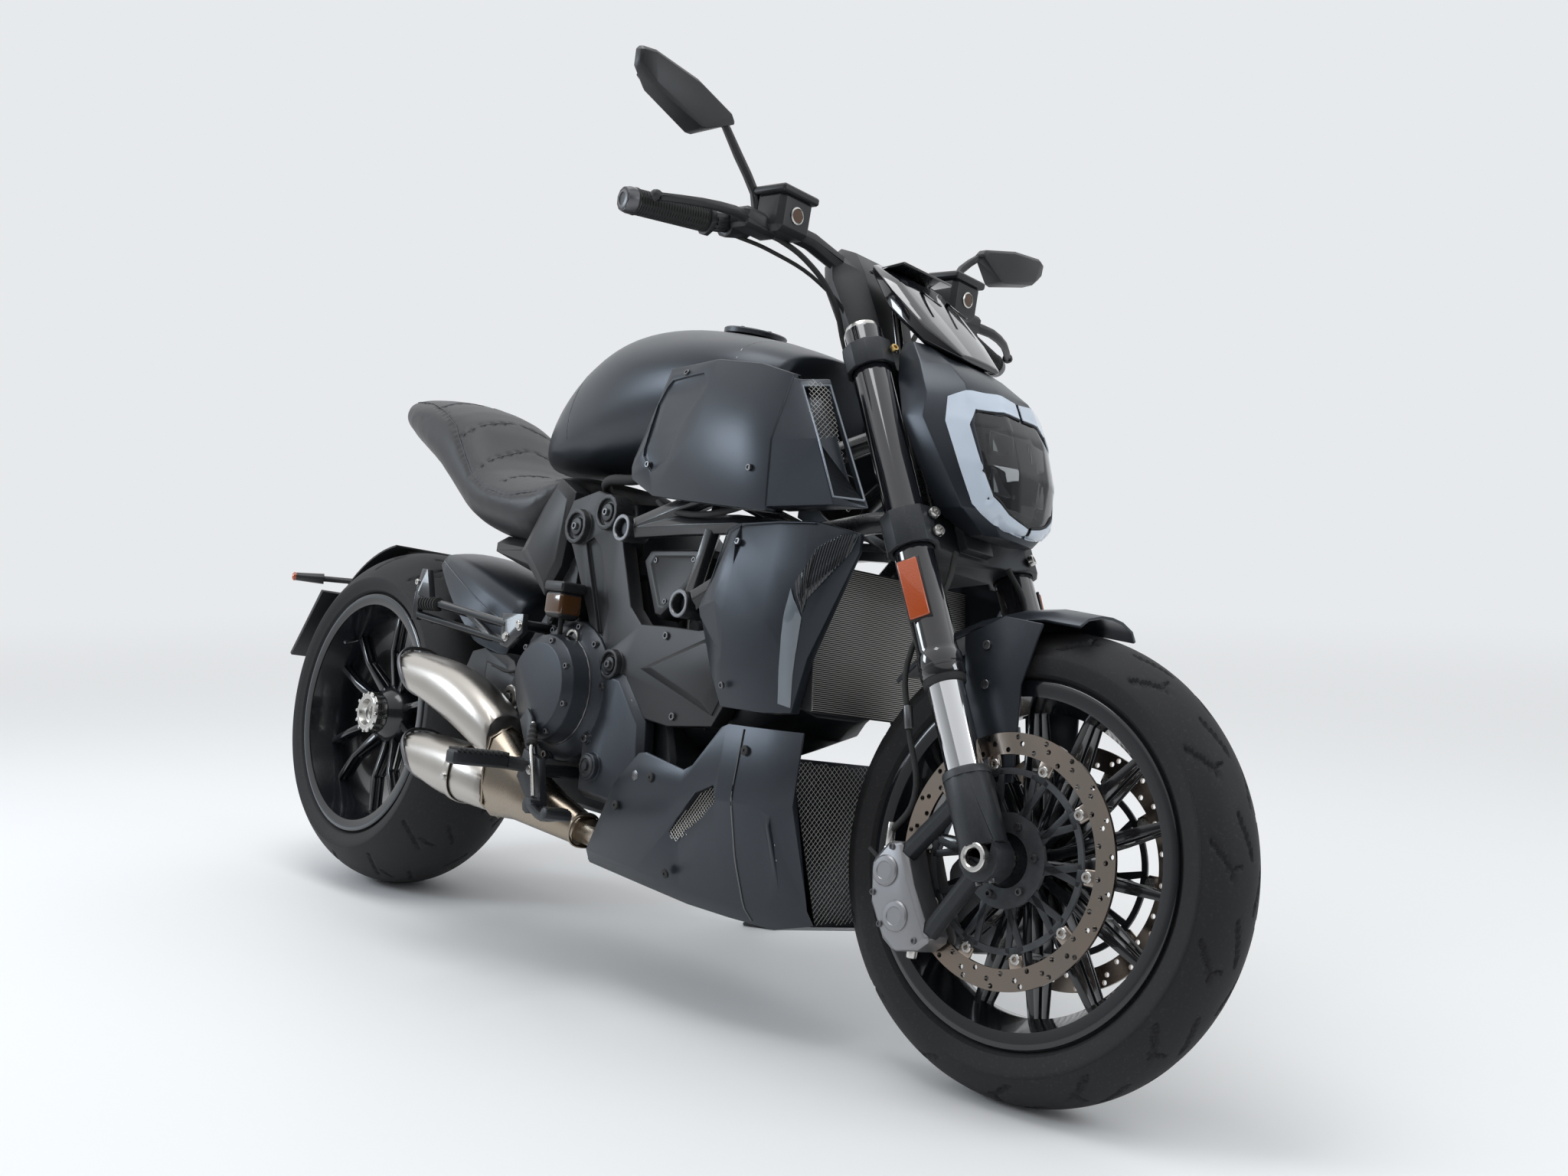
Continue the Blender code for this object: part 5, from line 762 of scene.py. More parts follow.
def shown(piece, look, body, *replaced, slot=None):
    """Gives a finished piece its finish, its body and the nodes it stands for."""
    piece.data.materials.clear()
    piece.data.materials.append(finishes[look])
    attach(piece, body)
    if replaced:
        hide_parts(*replaced)
    slot = slot or SLOT_OF_LOOK.get(look)
    return piece


def fixed(piece, look, slot, at=Matrix()):
    """A piece of the chassis, put at a place of the upright machine."""
    return shown(placed(piece, MACHINE @ at), look, "chassis", slot=slot)


def steered(piece, look, slot, at=Matrix()):
    """A piece that turns with the bars, put at a place of the upright machine."""
    return shown(placed(piece, STEERED @ at), look, "steering", slot=slot)


# Skins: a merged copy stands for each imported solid, its edges broken and its curves rounded


def merged_copy(node, name):
    """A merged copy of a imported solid, left in edit mode."""
    piece = bpy.data.objects.new(name or f"{node}_skin", nodes[node].data.copy())
    bpy.context.scene.collection.objects.link(piece)
    edit(piece)
    bpy.ops.mesh.remove_doubles(threshold=SOLID_WELD)
    bpy.ops.mesh.normals_make_consistent(inside=False)
    return piece


def skin_of(node, name=None):
    """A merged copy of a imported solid, its flat faces whole again."""
    piece = merged_copy(node, name)
    bpy.ops.mesh.dissolve_limited(angle_limit=math.radians(0.6))
    bpy.ops.object.mode_set(mode="OBJECT")
    return piece


def curved_skin(node, levels=2, keep=38.0, quads=40.0, name=None):
    """A merged copy of a lofted solid, with its sections joined by smooth curves and its sharp edges kept."""
    piece = merged_copy(node, name)
    bpy.ops.mesh.tris_convert_to_quads(face_threshold=math.radians(quads), shape_threshold=math.radians(60.0))
    bpy.ops.mesh.select_mode(type="EDGE")
    bpy.ops.mesh.select_all(action="DESELECT")
    bpy.ops.mesh.edges_select_sharp(sharpness=math.radians(keep))
    bpy.ops.transform.edge_crease(value=0.85)
    bpy.ops.object.mode_set(mode="OBJECT")
    changed(piece, "SUBSURF", levels=levels, render_levels=levels)
    return shaded(piece, 35.0)


SKINS = (
    # finish, bevel width, bevel segments, solids
    ("satin_graphite", 0.0016, 3, "intake_cover_left intake_cover_right radiator_cover_left radiator_cover_right "
                                  "headlamp_shell"),
    ("satin_graphite", 0.001, 2, "belly_pan front_mudguard"),
    ("gloss_black", 0.0025, 3, "instrument_cowl"),
    ("cast_black", 0.0012, 2, "crankcase"),
    ("cast_black", 0.002, 2, "front_cylinder rear_cylinder"),
    ("cast_grey", 0.0016, 3, "clutch_cover"),
    ("moulded_black", 0.0014, 3, "belt_cover"),
    ("moulded_black", 0.0016, 3, "electronics_cover"),
    ("cast_black", 0.0014, 2, "lower_fork_clamp upper_fork_clamp"),
    ("cast_black", 0.0016, 2, "swingarm"),
    ("cast_black", 0.001, 2, "swingarm_pivot fork_lower_left fork_lower_right"),
    ("silver_casting", 0.001, 2, "front_caliper_left front_caliper_right"),
    ("moulded_black", 0.0008, 2, "handlebar brake_control_right clutch_control_left mirror_left mirror_right "
                                 "rear_brake_reservoir"),
    ("moulded_black", 0.0006, 2, "plate_holder"),
    ("moulded_black", 0.0014, 2, "tail_frame"),
    ("frame_black", 0.0006, 2, "passenger_peg_left passenger_peg_right"),
    ("cast_black", 0.0008, 2, "rider_peg_left rider_peg_right"),
    ("frame_black", 0.0008, 2, "side_stand stand_bracket trellis_frame"),
    ("disc_steel", 0.0004, 1, "rear_sprocket rear_disc"),
    ("bright_steel", 0.0006, 2, "rear_axle front_axle"),
    ("heat_tinted_steel", 0.0, 1, "exhaust_header"),
)


def make_skins():
    for look, width, segments, names in SKINS:
        for node in names.split():
            piece = softened(skin_of(node), width, segments, 32.0, 38.0, clamp=False)
            shown(piece, look, BODY_OF[node], node)
    for node, look, keep in (("fuel_tank", "satin_graphite", 42.0), ("rear_hugger", "satin_graphite", 40.0),
            ("silencer_upper", "brushed_steel", 50.0), ("silencer_lower", "brushed_steel", 50.0)):
        shown(curved_skin(node, 2, keep), look, "chassis", node)


# Wheels


def groove_depths(front):
    """The tread: curved grooves that lean back from the middle, and shorter ones near the shoulder."""
    count, lean, pieces = (15, 5.0, ((0.1, 0.4, 0.55, 0.01), (0.4, 0.68, -0.1, 0.055), (0.55, 0.92, 0.42, 0.11)))
    if not front:
        count, lean, pieces = (13, 2.7, ((0.08, 0.36, 0.5, 0.0), (0.36, 0.62, 0.06, 0.05), (0.5, 0.9, 0.34, 0.12)))

    def cut(angle, across, wide):
        """How far a spot lies inside a groove; across runs from 0 in the middle to 1 at the tread's edge."""
        pitch = 2 * math.pi / count
        for start, end, slope, shift in pieces:
            if start <= abs(across) <= end:
                offset = shift if across > 0 else shift + pitch / 2
                where = (angle + offset - slope * (abs(across) - start)) % pitch
                near = min(where, pitch - where)
                if near < wide * math.hypot(1.0, slope * lean):
                    return True
        return False

    return cut


def tyre_piece(name, radius, crown, half, bead_half, crown_angle, side_radius, steps, columns, front, matrix):
    top = math.radians(crown_angle)
    tread = [(radius - crown + crown * math.cos(a), crown * math.sin(a)) for a in (top * (2 * i / columns - 1)
        for i in range(columns + 1))]
    edge = tread[-1]
    wall = []
    for i in range(1, 9):
        t = i / 9
        r = edge[0] * (1 - t) ** 2 + 2 * side_radius * t * (1 - t) + FLANGE_RADIUS * t * t + 0.002 * t
        y = edge[1] * (1 - t) ** 2 + 2 * (half + 0.001) * t * (1 - t) + (bead_half + 0.004) * t * t
        wall.append((r, y))
    bead = [(FLANGE_RADIUS + 0.0015, bead_half - 0.001), (0.218, bead_half - 0.003), (0.218, bead_half - 0.014)]
    side = wall + bead
    inner = [(side_radius, half - 0.01), (radius - 0.014, 0.0)]
    profile = tread + side + inner + [(r, -y) for r, y in reversed(inner[:-1])] + [(r, -y)
        for r, y in reversed(side)]
    piece = spun(name, profile, steps, None, True, 60.0)
    inside = groove_depths(front)
    wide = half if half < edge[1] else edge[1]
    edit(piece)
    for share, depth in ((1.7, -0.0009), (1.0, -0.0026)):
        def in_groove(v, share=share):
            r = math.hypot(v.co.x, v.co.z)
            if r < edge[0] - 0.001 or abs(v.co.y) > edge[1]:
                return False
            across = v.co.y / wide
            return inside(math.atan2(v.co.z, v.co.x), across, share * 0.0023 / radius)
        pick(in_groove, "VERT")
        bpy.ops.transform.shrink_fatten(value=depth)
    # Moulded rings round the side wall
    for ring in (0.3, 0.62):
        height = FLANGE_RADIUS + (edge[0] - FLANGE_RADIUS) * ring
        pick(lambda v: abs(math.hypot(v.co.x, v.co.z) - height) < 0.003 and abs(v.co.y) > bead_half, "VERT")
        bpy.ops.transform.shrink_fatten(value=0.0004)
    done(piece, name)
    if matrix:
        placed(piece, matrix)
    return shaded(piece, 28.0)


def rim_profile(bead_half, well):
    lip = bead_half + 0.0005
    outer = [(FLANGE_RADIUS, lip + 0.005), (FLANGE_RADIUS + 0.0008, lip + 0.003), (FLANGE_RADIUS, lip),
        (0.2165, lip - 0.0002), (0.2165, lip - 0.018), (well, lip - 0.032)]
    under = [(well - 0.008, lip - 0.034), (0.2085, lip + 0.001), (0.2085, lip + 0.004), (0.22, lip + 0.006),
        (0.228, lip + 0.006)]
    return outer + [(r, -y) for r, y in reversed(outer)] + [(r, -y) for r, y in reversed(under)] + under


def spoke_piece(start, end, root, tip, side_root, side_tip, depth_root, depth_tip, offset):
    """One tapering spoke with a hollowed side, from the hub to the rim."""
    nothing_selected()
    bpy.ops.mesh.primitive_cube_add(size=1.0, location=((start + end) / 2, 0.0, 0.0), scale=(end - start, 1.0, 1.0))
    piece = done(bpy.context.object)
    edit(piece)
    bpy.ops.mesh.subdivide(number_cuts=0)
    for at_end, x, wide, side, depth, slide in ((False, start, root, side_root, depth_root, offset),
            (True, end, tip, side_tip, depth_tip, 0.0)):
        pick(lambda v: (v.co.x > (start + end) / 2) == at_end, "VERT")
        bpy.ops.transform.resize(value=(1.0, depth, wide), center_override=(x, 0.0, 0.0))
        bpy.ops.transform.translate(value=(0.0, side, slide))
    pick(lambda f: abs(f.normal.z) > 0.8)
    bpy.ops.mesh.inset(thickness=0.0035, depth=-0.003, use_individual=True)
    rounds_out()
    done(piece)
    return softened(piece, 0.0012, 2, 30.0)


def bolt_piece(name, place, normal, radius=0.0045, high=0.004, kind="socket"):
    """A screw head: a socket cap, a hexagon with a flange, or a push pin."""
    frame_at = facing(place, normal)
    if kind == "hex":
        body = spun(name, [(radius * 1.35, 0.0005), (radius * 1.35, -high * 0.3), (0.0, -high * 0.3),
            (0.0, 0.0005)], 20)
        nothing_selected()
        bpy.ops.mesh.primitive_cylinder_add(vertices=6, radius=radius, depth=high * 0.8,
            location=(0, -high * 0.6, 0), rotation=(QUARTER, 0, 0))
        head = softened(done(bpy.context.object), 0.0004, 1, 30.0)
        body = joined([body, head], name)
    else:
        socket = radius * (0.52 if kind == "socket" else 0.3)
        body = spun(name, [(radius, 0.001), (radius, -high * 0.8), (radius * 0.9, -high), (socket, -high),
            (socket * 0.98, -high * 0.45), (0.0, -high * 0.45), (0.0, 0.001)], 18 if kind == "socket" else 14)
        if kind == "socket":
            edit(body)
            pick(lambda v: math.hypot(v.co.x, v.co.z) < socket * 1.03 and v.co.y < -high * 0.4
                and abs(((math.degrees(math.atan2(v.co.z, v.co.x)) + 30.0) % 60.0) - 30.0) < 10.0, "VERT")
            bpy.ops.transform.resize(value=(1.14, 1.0, 1.14), center_override=(0.0, 0.0, 0.0))
            bpy.ops.object.mode_set(mode="OBJECT")
    return placed(body, frame_at)


def bolts(name, look, body, spots, radius=0.0045, high=0.004, kind="socket"):
    """Screws of one size, modelled once and copied to each (place, normal)."""
    first = bolt_piece(name, (0, 0, 0), (0, -1, 0), radius, high, kind)
    stands = STEERED if body == "steering" else MACHINE
    made = [copied(first, stands @ facing(place, normal)) for place, normal in spots]
    gone(first)
    return shown(joined(made, name), look, body)


def make_front_wheel():
    at_axle = STEERED @ Matrix.Translation(FRONT_AXLE)
    tyre = tyre_piece("front_tyre_rubber", FRONT_RADIUS, crown=0.06, half=0.06, bead_half=FRONT_BEAD,
        crown_angle=68.0, side_radius=0.262, steps=540, columns=48, front=True, matrix=at_axle)
    shown(tyre, "tyre_rubber", "front_wheel", "front_tyre", slot="tyre")
    barrel = spun("front_barrel", rim_profile(FRONT_BEAD, 0.2), 128)
    hub = spun("front_hub", [(0.05, 0.0695), (0.05, 0.0625), (0.04, 0.048), (0.036, 0.03), (0.036, -0.03),
        (0.04, -0.048), (0.05, -0.0625), (0.05, -0.0695), (0.0152, -0.0695), (0.0152, 0.0695)], 64)
    one = spoke_piece(start=0.034, end=0.198, root=0.015, tip=0.0105, side_root=0.0, side_tip=0.0, depth_root=0.05,
        depth_tip=0.032, offset=0.0)
    spokes = around(one, 14, 36.0 / 14)
    gone(one)
    valve = bar_of("valve", (0.15, 0.0, 0.16), (0.142, 0.012, 0.145), 0.003, 12)
    wheel = joined([barrel, hub, *spokes, valve], "front_wheel_casting")
    shown(placed(wheel, at_axle), "wheel_black", "front_wheel", "front_rim", slot="gloss_black")

    # Discs: a drilled ring, a dark openwork carrier, bobbins between them and screws on the hub
    ring = spun("disc_ring", [(0.16, 0.0023), (0.16, -0.0023), (0.1325, -0.0023), (0.1325, 0.0023)], 180)
    drills = []
    drill = bar_of("drill", (0, -0.02, 0), (0, 0.02, 0), 0.0034, 12, bevel=0)
    for i in range(66):
        turn = 2 * math.pi * (i + 0.5 * (i % 3 == 1)) / 66
        radius = (0.138, 0.1465, 0.1545)[i % 3]
        drills.append(copied(drill, Matrix.Translation((radius * math.cos(turn), 0.0, radius * math.sin(turn)))))
    cut_by(ring, joined(drills, "drills"))
    tab = box_of("tab", (0.117, -0.0022, -0.0105), (0.1345, 0.0022, 0.0105), 0.0025, 3)
    tabs = around(tab, 10)
    ring = softened(joined([ring, *tabs], "disc_ring"), 0.0, 1)
    hoop = spun("carrier_hoop", [(0.1155, 0.0018), (0.1155, -0.0018), (0.1075, -0.0018), (0.1075, 0.0018)], 90)
    boss = spun("carrier_boss", [(0.06, 0.0024), (0.06, -0.0024), (0.0345, -0.0024), (0.0345, 0.0024)], 72)
    arm = plate_of("carrier_arm", [(0.055, -0.0105), (0.055, 0.0015), (0.112, 0.0145), (0.115, 0.007)], 0.0036,
        Matrix.Translation((0, -0.0018, 0)), 0.0006)
    other = plate_of("carrier_arm_back", [(0.055, 0.0105), (0.055, -0.0015), (0.112, -0.0145), (0.115, -0.007)],
        0.0036, Matrix.Translation((0, -0.0018, 0)), 0.0006)
    ear = box_of("carrier_ear", (0.106, -0.0021, -0.0085), (0.123, 0.0021, 0.0085), 0.003, 3)
    arms = around(arm, 10) + around(other, 10) + around(ear, 10)
    carrier = joined([hoop, boss, *arms], "disc_carrier")
    bobbin = spun("bobbin", [(0.0072, 0.0028), (0.0072, -0.0028), (0.0062, -0.004), (0.0036, -0.004),
        (0.0032, -0.002), (0.0, -0.002), (0.0, 0.0028)], 28)
    bobbins = [copied(bobbin, Matrix.Translation(spot)) for spot, _ in circle((0, 0, 0), 0.1215, range(0, 360, 36))]
    bobbins = joined(bobbins, "bobbins")
    screw = bolt_piece("hub_screw", (0, 0, 0), (0, -1, 0), 0.0052, 0.0055)
    screws = joined([copied(screw, Matrix.Translation(spot)) for spot, _ in circle((0, -0.0022, 0), 0.046,
        range(12, 372, 60))], "hub_screws")
    gone(drill, tab, arm, other, ear, bobbin, screw)
    for name, side in SIDES:
        flip = Matrix.Rotation(math.radians(180.0), 4, "Z") if side > 0 else Matrix.Identity(4)
        place = at_axle @ Matrix.Translation((0.0, side * DISC_SIDE, 0.0)) @ flip
        shown(copied(ring, place, f"front_disc_ring_{name}"), "disc_steel", "front_wheel", f"front_disc_{name}",
            slot="brushed_steel")
        shown(copied(carrier, place, f"front_disc_carrier_{name}"), "cast_black", "front_wheel",
            slot="black_casting")
        shown(copied(bobbins, place, f"front_disc_bobbins_{name}"), "bright_steel", "front_wheel",
            slot="brushed_steel")
        shown(copied(screws, place, f"front_disc_screws_{name}"), "dark_steel", "front_wheel", slot="black_casting")
    gone(ring, carrier, bobbins, screws)


def make_rear_wheel():
    at_axle = MACHINE @ Matrix.Translation(REAR_AXLE)
    tyre = tyre_piece("rear_tyre_rubber", REAR_RADIUS, crown=0.14, half=0.12, bead_half=REAR_BEAD, crown_angle=56.0,
        side_radius=0.258, steps=480, columns=64, front=False, matrix=at_axle)
    shown(tyre, "tyre_rubber", "rear_wheel", "rear_tyre", slot="tyre")
    barrel = spun("rear_barrel", rim_profile(REAR_BEAD, 0.196), 144)
    hub = spun("rear_hub", [(0.036, -0.072), (0.05, -0.06), (0.062, -0.04), (0.062, 0.03), (0.052, 0.06),
        (0.052, 0.0975), (0.0182, 0.0975), (0.0182, -0.072)], 64)
    pieces = [barrel, hub]
    for lean in (-1, 1):
        one = spoke_piece(start=0.05, end=0.196, root=0.0165, tip=0.0115, side_root=-0.03, side_tip=-0.056,
            depth_root=0.038, depth_tip=0.024, offset=-lean * 0.003)
        pieces += around(one, 5, lean * 13.0)
        gone(one)
    pieces.append(bar_of("valve", (-0.13, -0.07, 0.135), (-0.122, -0.1, 0.127), 0.0035, 12))
    wheel = joined(pieces, "rear_wheel_casting")
    shown(placed(wheel, at_axle), "wheel_black", "rear_wheel", "rear_rim", slot="gloss_black")
    # The hub nut's castellations
    tooth = box_of("tooth", (0.0335, -0.0985, -0.0028), (0.0395, -0.074, 0.0028), 0.0008, 2)
    teeth = around(tooth, 12)
    gone(tooth)
    nut = joined(teeth, "hub_nut_teeth")
    shown(placed(nut, at_axle), "bright_steel", "rear_wheel", slot="brushed_steel")
    # A thin lighter, glossy ring on the rim's outer lip: a painted highlight
    shown(placed(spun("rear_rim_highlight_ring", [(0.2288, -0.1085), (0.224, -0.1094), (0.2215, -0.1092), (0.2215, -0.108),
        (0.2288, -0.1075)], 144), at_axle), "painted_highlight_gloss", "rear_wheel", slot="gloss_black")


# Fork, lamp, controls and the front brake


def make_fork():
    for name, side in SIDES:
        y = side * FORK_HALF
        # The leg is turned about Y and then stood up along the fork
        def leg(piece_name, profile, steps=48, side_y=y):
            piece = spun(piece_name, profile, steps)
            stand = axes(STEER_FORWARD, STEER_AXIS, -Vector((0.0, 1.0, 0.0)), fork(FORK_OFFSET, side_y, 0.0))
            return placed(piece, STEERED @ stand)

        shown(leg(f"fork_outer_{name}", [(0.0245, 0.56), (0.029, 0.56), (0.03, 0.563), (0.03, 0.572),
            (0.0292, 0.573), (0.0292, 0.576), (0.03, 0.577), (0.03, 0.59), (0.0285, 0.593), (0.0273, 0.6),
            (0.0273, 1.084), (0.0262, 1.087), (0.0245, 1.087), (0.0245, 0.6)]), "gloss_black", "steering",
            f"fork_tube_{name}", slot="gloss_black")
        shown(leg(f"fork_cap_{name}", [(0.024, 1.082), (0.024, 1.091), (0.0232, 1.094), (0.0205, 1.095),
            (0.0195, 1.0935), (0.0135, 1.0935), (0.0125, 1.098), (0.011, 1.0995), (0.006, 1.0995), (0.0055, 1.097),
            (0.0, 1.097), (0.0, 1.082)]), "bright_steel", "steering", slot="brushed_steel")
        shown(leg(f"fork_wiper_{name}", [(0.0242, 0.55), (0.0275, 0.551), (0.0285, 0.555), (0.0285, 0.5602),
            (0.0242, 0.5602)]), "grip_rubber", "steering", slot="black_plastic")
        shown(leg(f"fork_stanchion_{name}", [(0.0, 0.404), (0.0243, 0.404), (0.0243, 0.562), (0.0, 0.562)]),
            "hard_chrome", "steering", slot="brushed_steel")
        shown(leg(f"fork_foot_ring_{name}", [(0.0246, 0.4352), (0.03, 0.4352), (0.031, 0.433), (0.0314, 0.425),
            (0.0246, 0.424)]), "cast_black", "steering", slot="black_casting")
        # Reflector on a small plate in front of the leg's side
        low, high = fork(FORK_OFFSET + 0.006, side * 0.1425, 0.64), fork(FORK_OFFSET + 0.006, side * 0.1425, 0.722)
        middle = (low + high) / 2
        turn = facing(middle, (0.3, side * 0.95, 0.1), STEER_AXIS)
        steered(box_of(f"reflector_plate_{name}", (-0.0165, 0.0005, -0.043), (0.0165, 0.004, 0.043), 0.0015, 2),
            "moulded_black", "black_plastic", turn)
        steered(box_of(f"reflector_{name}", (-0.014, -0.004, -0.0405), (0.014, 0.001, 0.0405), 0.002, 3),
            "orange_reflector", "lens", turn)


def make_lamp():
    """Dark glass over a bowl with two lens modules a side, and a pale light bar round it."""
    glass = skin_of("headlamp_lens", "headlamp_glass")
    softened(glass, 0.004, 3, 12.0, 60.0, clamp=False)
    shown(glass, "clear_glass", "steering", "headlamp_lens", slot="lens")
    centre = Vector((1.425, 0.0, 0.815))
    bowl = skin_of("headlamp_lens", "headlamp_bowl")
    placed(bowl, STEERED @ Matrix.Translation(centre - Vector((0.01, 0, 0))) @ Matrix.Diagonal((0.93, 0.93, 0.93,
        1.0)) @ Matrix.Translation(-centre) @ STEERED.inverted())
    shown(bowl, "lamp_bowl", "steering", slot="lens")
    # Lens modules, two a side
    for name, side in SIDES:
        for row, (x, z, high) in enumerate(((1.478, 0.838, 0.017), (1.489, 0.785, 0.02))):
            eye = box_of(f"lamp_module_{name}_{row}", (-0.022, -0.004, -high), (0.022, 0.004, high), 0.004, 3)
            placed(eye, STEERED @ facing((x - 0.01, side * 0.04, z), (0.9, side * 0.16, 0.22)))
            shown(eye, "smoked_lens", "steering", slot="lens")
    # The light bar: a pale band all round the glass, between two dark lines
    band = [((1.492, 0.004, 0.722), (1.502, 0.004, 0.733)), ((1.482, 0.052, 0.731), (1.496, 0.042, 0.745)),
        ((1.466, 0.081, 0.75), (1.484, 0.064, 0.764)), ((1.446, 0.0975, 0.802), (1.468, 0.08, 0.806)),
        ((1.42, 0.105, 0.856), (1.446, 0.086, 0.852)), ((1.412, 0.099, 0.892), (1.442, 0.076, 0.874)),
        ((1.44, 0.06, 0.9035), (1.464, 0.052, 0.884)), ((1.452, 0.004, 0.9045), (1.47, 0.004, 0.886))]
    on = [bpy.data.objects["headlamp_shell_skin"], glass]
    for name, side in SIDES:
        pairs = [mirrored(pair, side) for pair in band]
        ribbon(f"light_bar_{name}", pairs, STEERED, on, "pale_lamp", "steering", lift=0.002, steps=8,
            heart=STEERED @ Vector((1.36, 0.0, 0.815)))
        inner = [pair[1] + Vector((0.002, 0.0, 0.0)) for pair in pairs]
        shown(hose(f"lamp_trim_{name}", on_surface(glass, [STEERED @ p for p in inner], 0.0006, 4), 0.0016, 2,
            smooth=False), "dark_trim_and_painted_shade", "steering", slot="black_plastic")
        outer = [pair[0] for pair in pairs]
        shown(hose(f"lamp_edge_{name}", on_surface(on[0], [STEERED @ p for p in outer], 0.0004, 4), 0.0016, 2,
            smooth=False), "dark_trim_and_painted_shade", "steering", slot="black_plastic")


def make_controls():
    for name, side in SIDES:
        def at(x, y, z):
            return Vector((x, side * y, z))

        start, end = at(1.1, 0.29, 1.099), at(1.07, 0.43, 1.086)
        run = end - start
        turn = run.to_track_quat("Y", "Z").to_matrix().to_4x4()
        turn.translation = start
        ridges = [(0.015, 0.008)]
        length = run.length
        steps = 26
        for i in range(steps):
            y = 0.014 + (length * 0.86 - 0.014) * i / steps
            ridges += [(0.018, y), (0.018, y + 0.0026), (0.0168, y + 0.003), (0.0168, y + 0.0041)]
        ridges += [(0.019, length * 0.865), (0.019, length * 0.885), (0.015, length * 0.89)]
        steered(spun(f"grip_{name}", ridges, 28), "grip_rubber", "black_plastic", turn)
        steered(spun(f"bar_end_{name}", [(0.0, length * 0.86), (0.0185, length * 0.86), (0.0185, length - 0.008),
            (0.0165, length - 0.001), (0.009, length + 0.001), (0.0085, length - 0.002), (0.0, length - 0.002)],
            32), "dark_steel", "black_casting", turn)
        # Reservoir window and cap screws, and the lever's pivot
        steered(spun(f"reservoir_window_{name}", [(0.0, 0.0), (0.0125, 0.0), (0.0125, -0.0015), (0.0105, -0.0025),
            (0.01, -0.0012), (0.0, -0.0012)], 28), "bright_steel", "brushed_steel",
            facing(at(1.1722, 0.2, 1.13), (1.0, 0.0, 0.0)))
        steered(spun(f"reservoir_glass_{name}", [(0.0, 0.0), (0.0098, 0.0), (0.0098, -0.0016), (0.0, -0.0018)], 28),
            "brake_fluid", "lens", facing(at(1.1726, 0.2, 1.13), (1.0, 0.0, 0.0)))
        bolts(f"reservoir_screws_{name}", "bright_steel", "steering", [(at(1.122, 0.17, 1.1679), (0, 0, 1)),
            (at(1.166, 0.228, 1.1679), (0, 0, 1)), (at(1.122, 0.228, 1.1679), (0, 0, 1)),
            (at(1.166, 0.17, 1.1679), (0, 0, 1))], 0.0034, 0.0014, "socket")
        bolts(f"lever_pivot_{name}", "dark_steel", "steering", [(at(1.138, 0.262, 1.1165), (0, 0, 1))], 0.0065,
            0.003, "socket")
        # Switches on the block by the grip
        for i, (x, z, big) in enumerate(((1.084, 1.122, 0.0075), (1.083, 1.104, 0.006))):
            steered(box_of(f"switch_{name}_{i}", (-big, -0.0035, -big * 0.7), (big, 0.003, big * 0.7), 0.0016, 2),
                "moulded_black", "black_plastic", facing(at(x, 0.262, z), (-0.9, 0.0, 0.35)))
        # Hose and cable that leave the controls and run down behind the lamp
        lead = [at(1.128, 0.205, 1.108), at(1.152, 0.15, 1.085), at(1.168, 0.095, 1.04), at(1.18, 0.07, 0.98),
            at(1.212, 0.052, 0.905), at(1.236, 0.03, 0.85)]
        steered(hose(f"control_hose_{name}", lead, 0.0042, 3), "grip_rubber", "black_plastic")
        cable = [at(1.1, 0.25, 1.093), at(1.118, 0.19, 1.088), at(1.15, 0.11, 1.062), at(1.17, 0.06, 1.02),
            at(1.196, 0.06, 0.93)]
        steered(hose(f"switch_cable_{name}", cable, 0.003, 3), "grip_rubber", "black_plastic")
        # Mirror glass, let into the side that faces the rider
        face = plate_of(f"mirror_glass_{name}", [(-0.055, 0.006), (-0.051, 0.034), (-0.03, 0.034), (0.022, 0.026),
            (0.036, 0.006), (0.032, -0.027), (-0.034, -0.006)], 0.0012, None, 0.0004)
        normal = Vector((-1.0, 0.0, 0.03))
        mid = at(1.0808, 0.398, 1.243)
        place = facing(mid, normal)
        if side < 0:
            place = place @ Matrix.Diagonal((-1.0, 1.0, 1.0, 1.0))
        placed(face, STEERED @ place)
        edit(face)
        bpy.ops.mesh.normals_make_consistent(inside=False)
        done(face)
        shown(face, "mirror_glass", "steering", slot="lens")


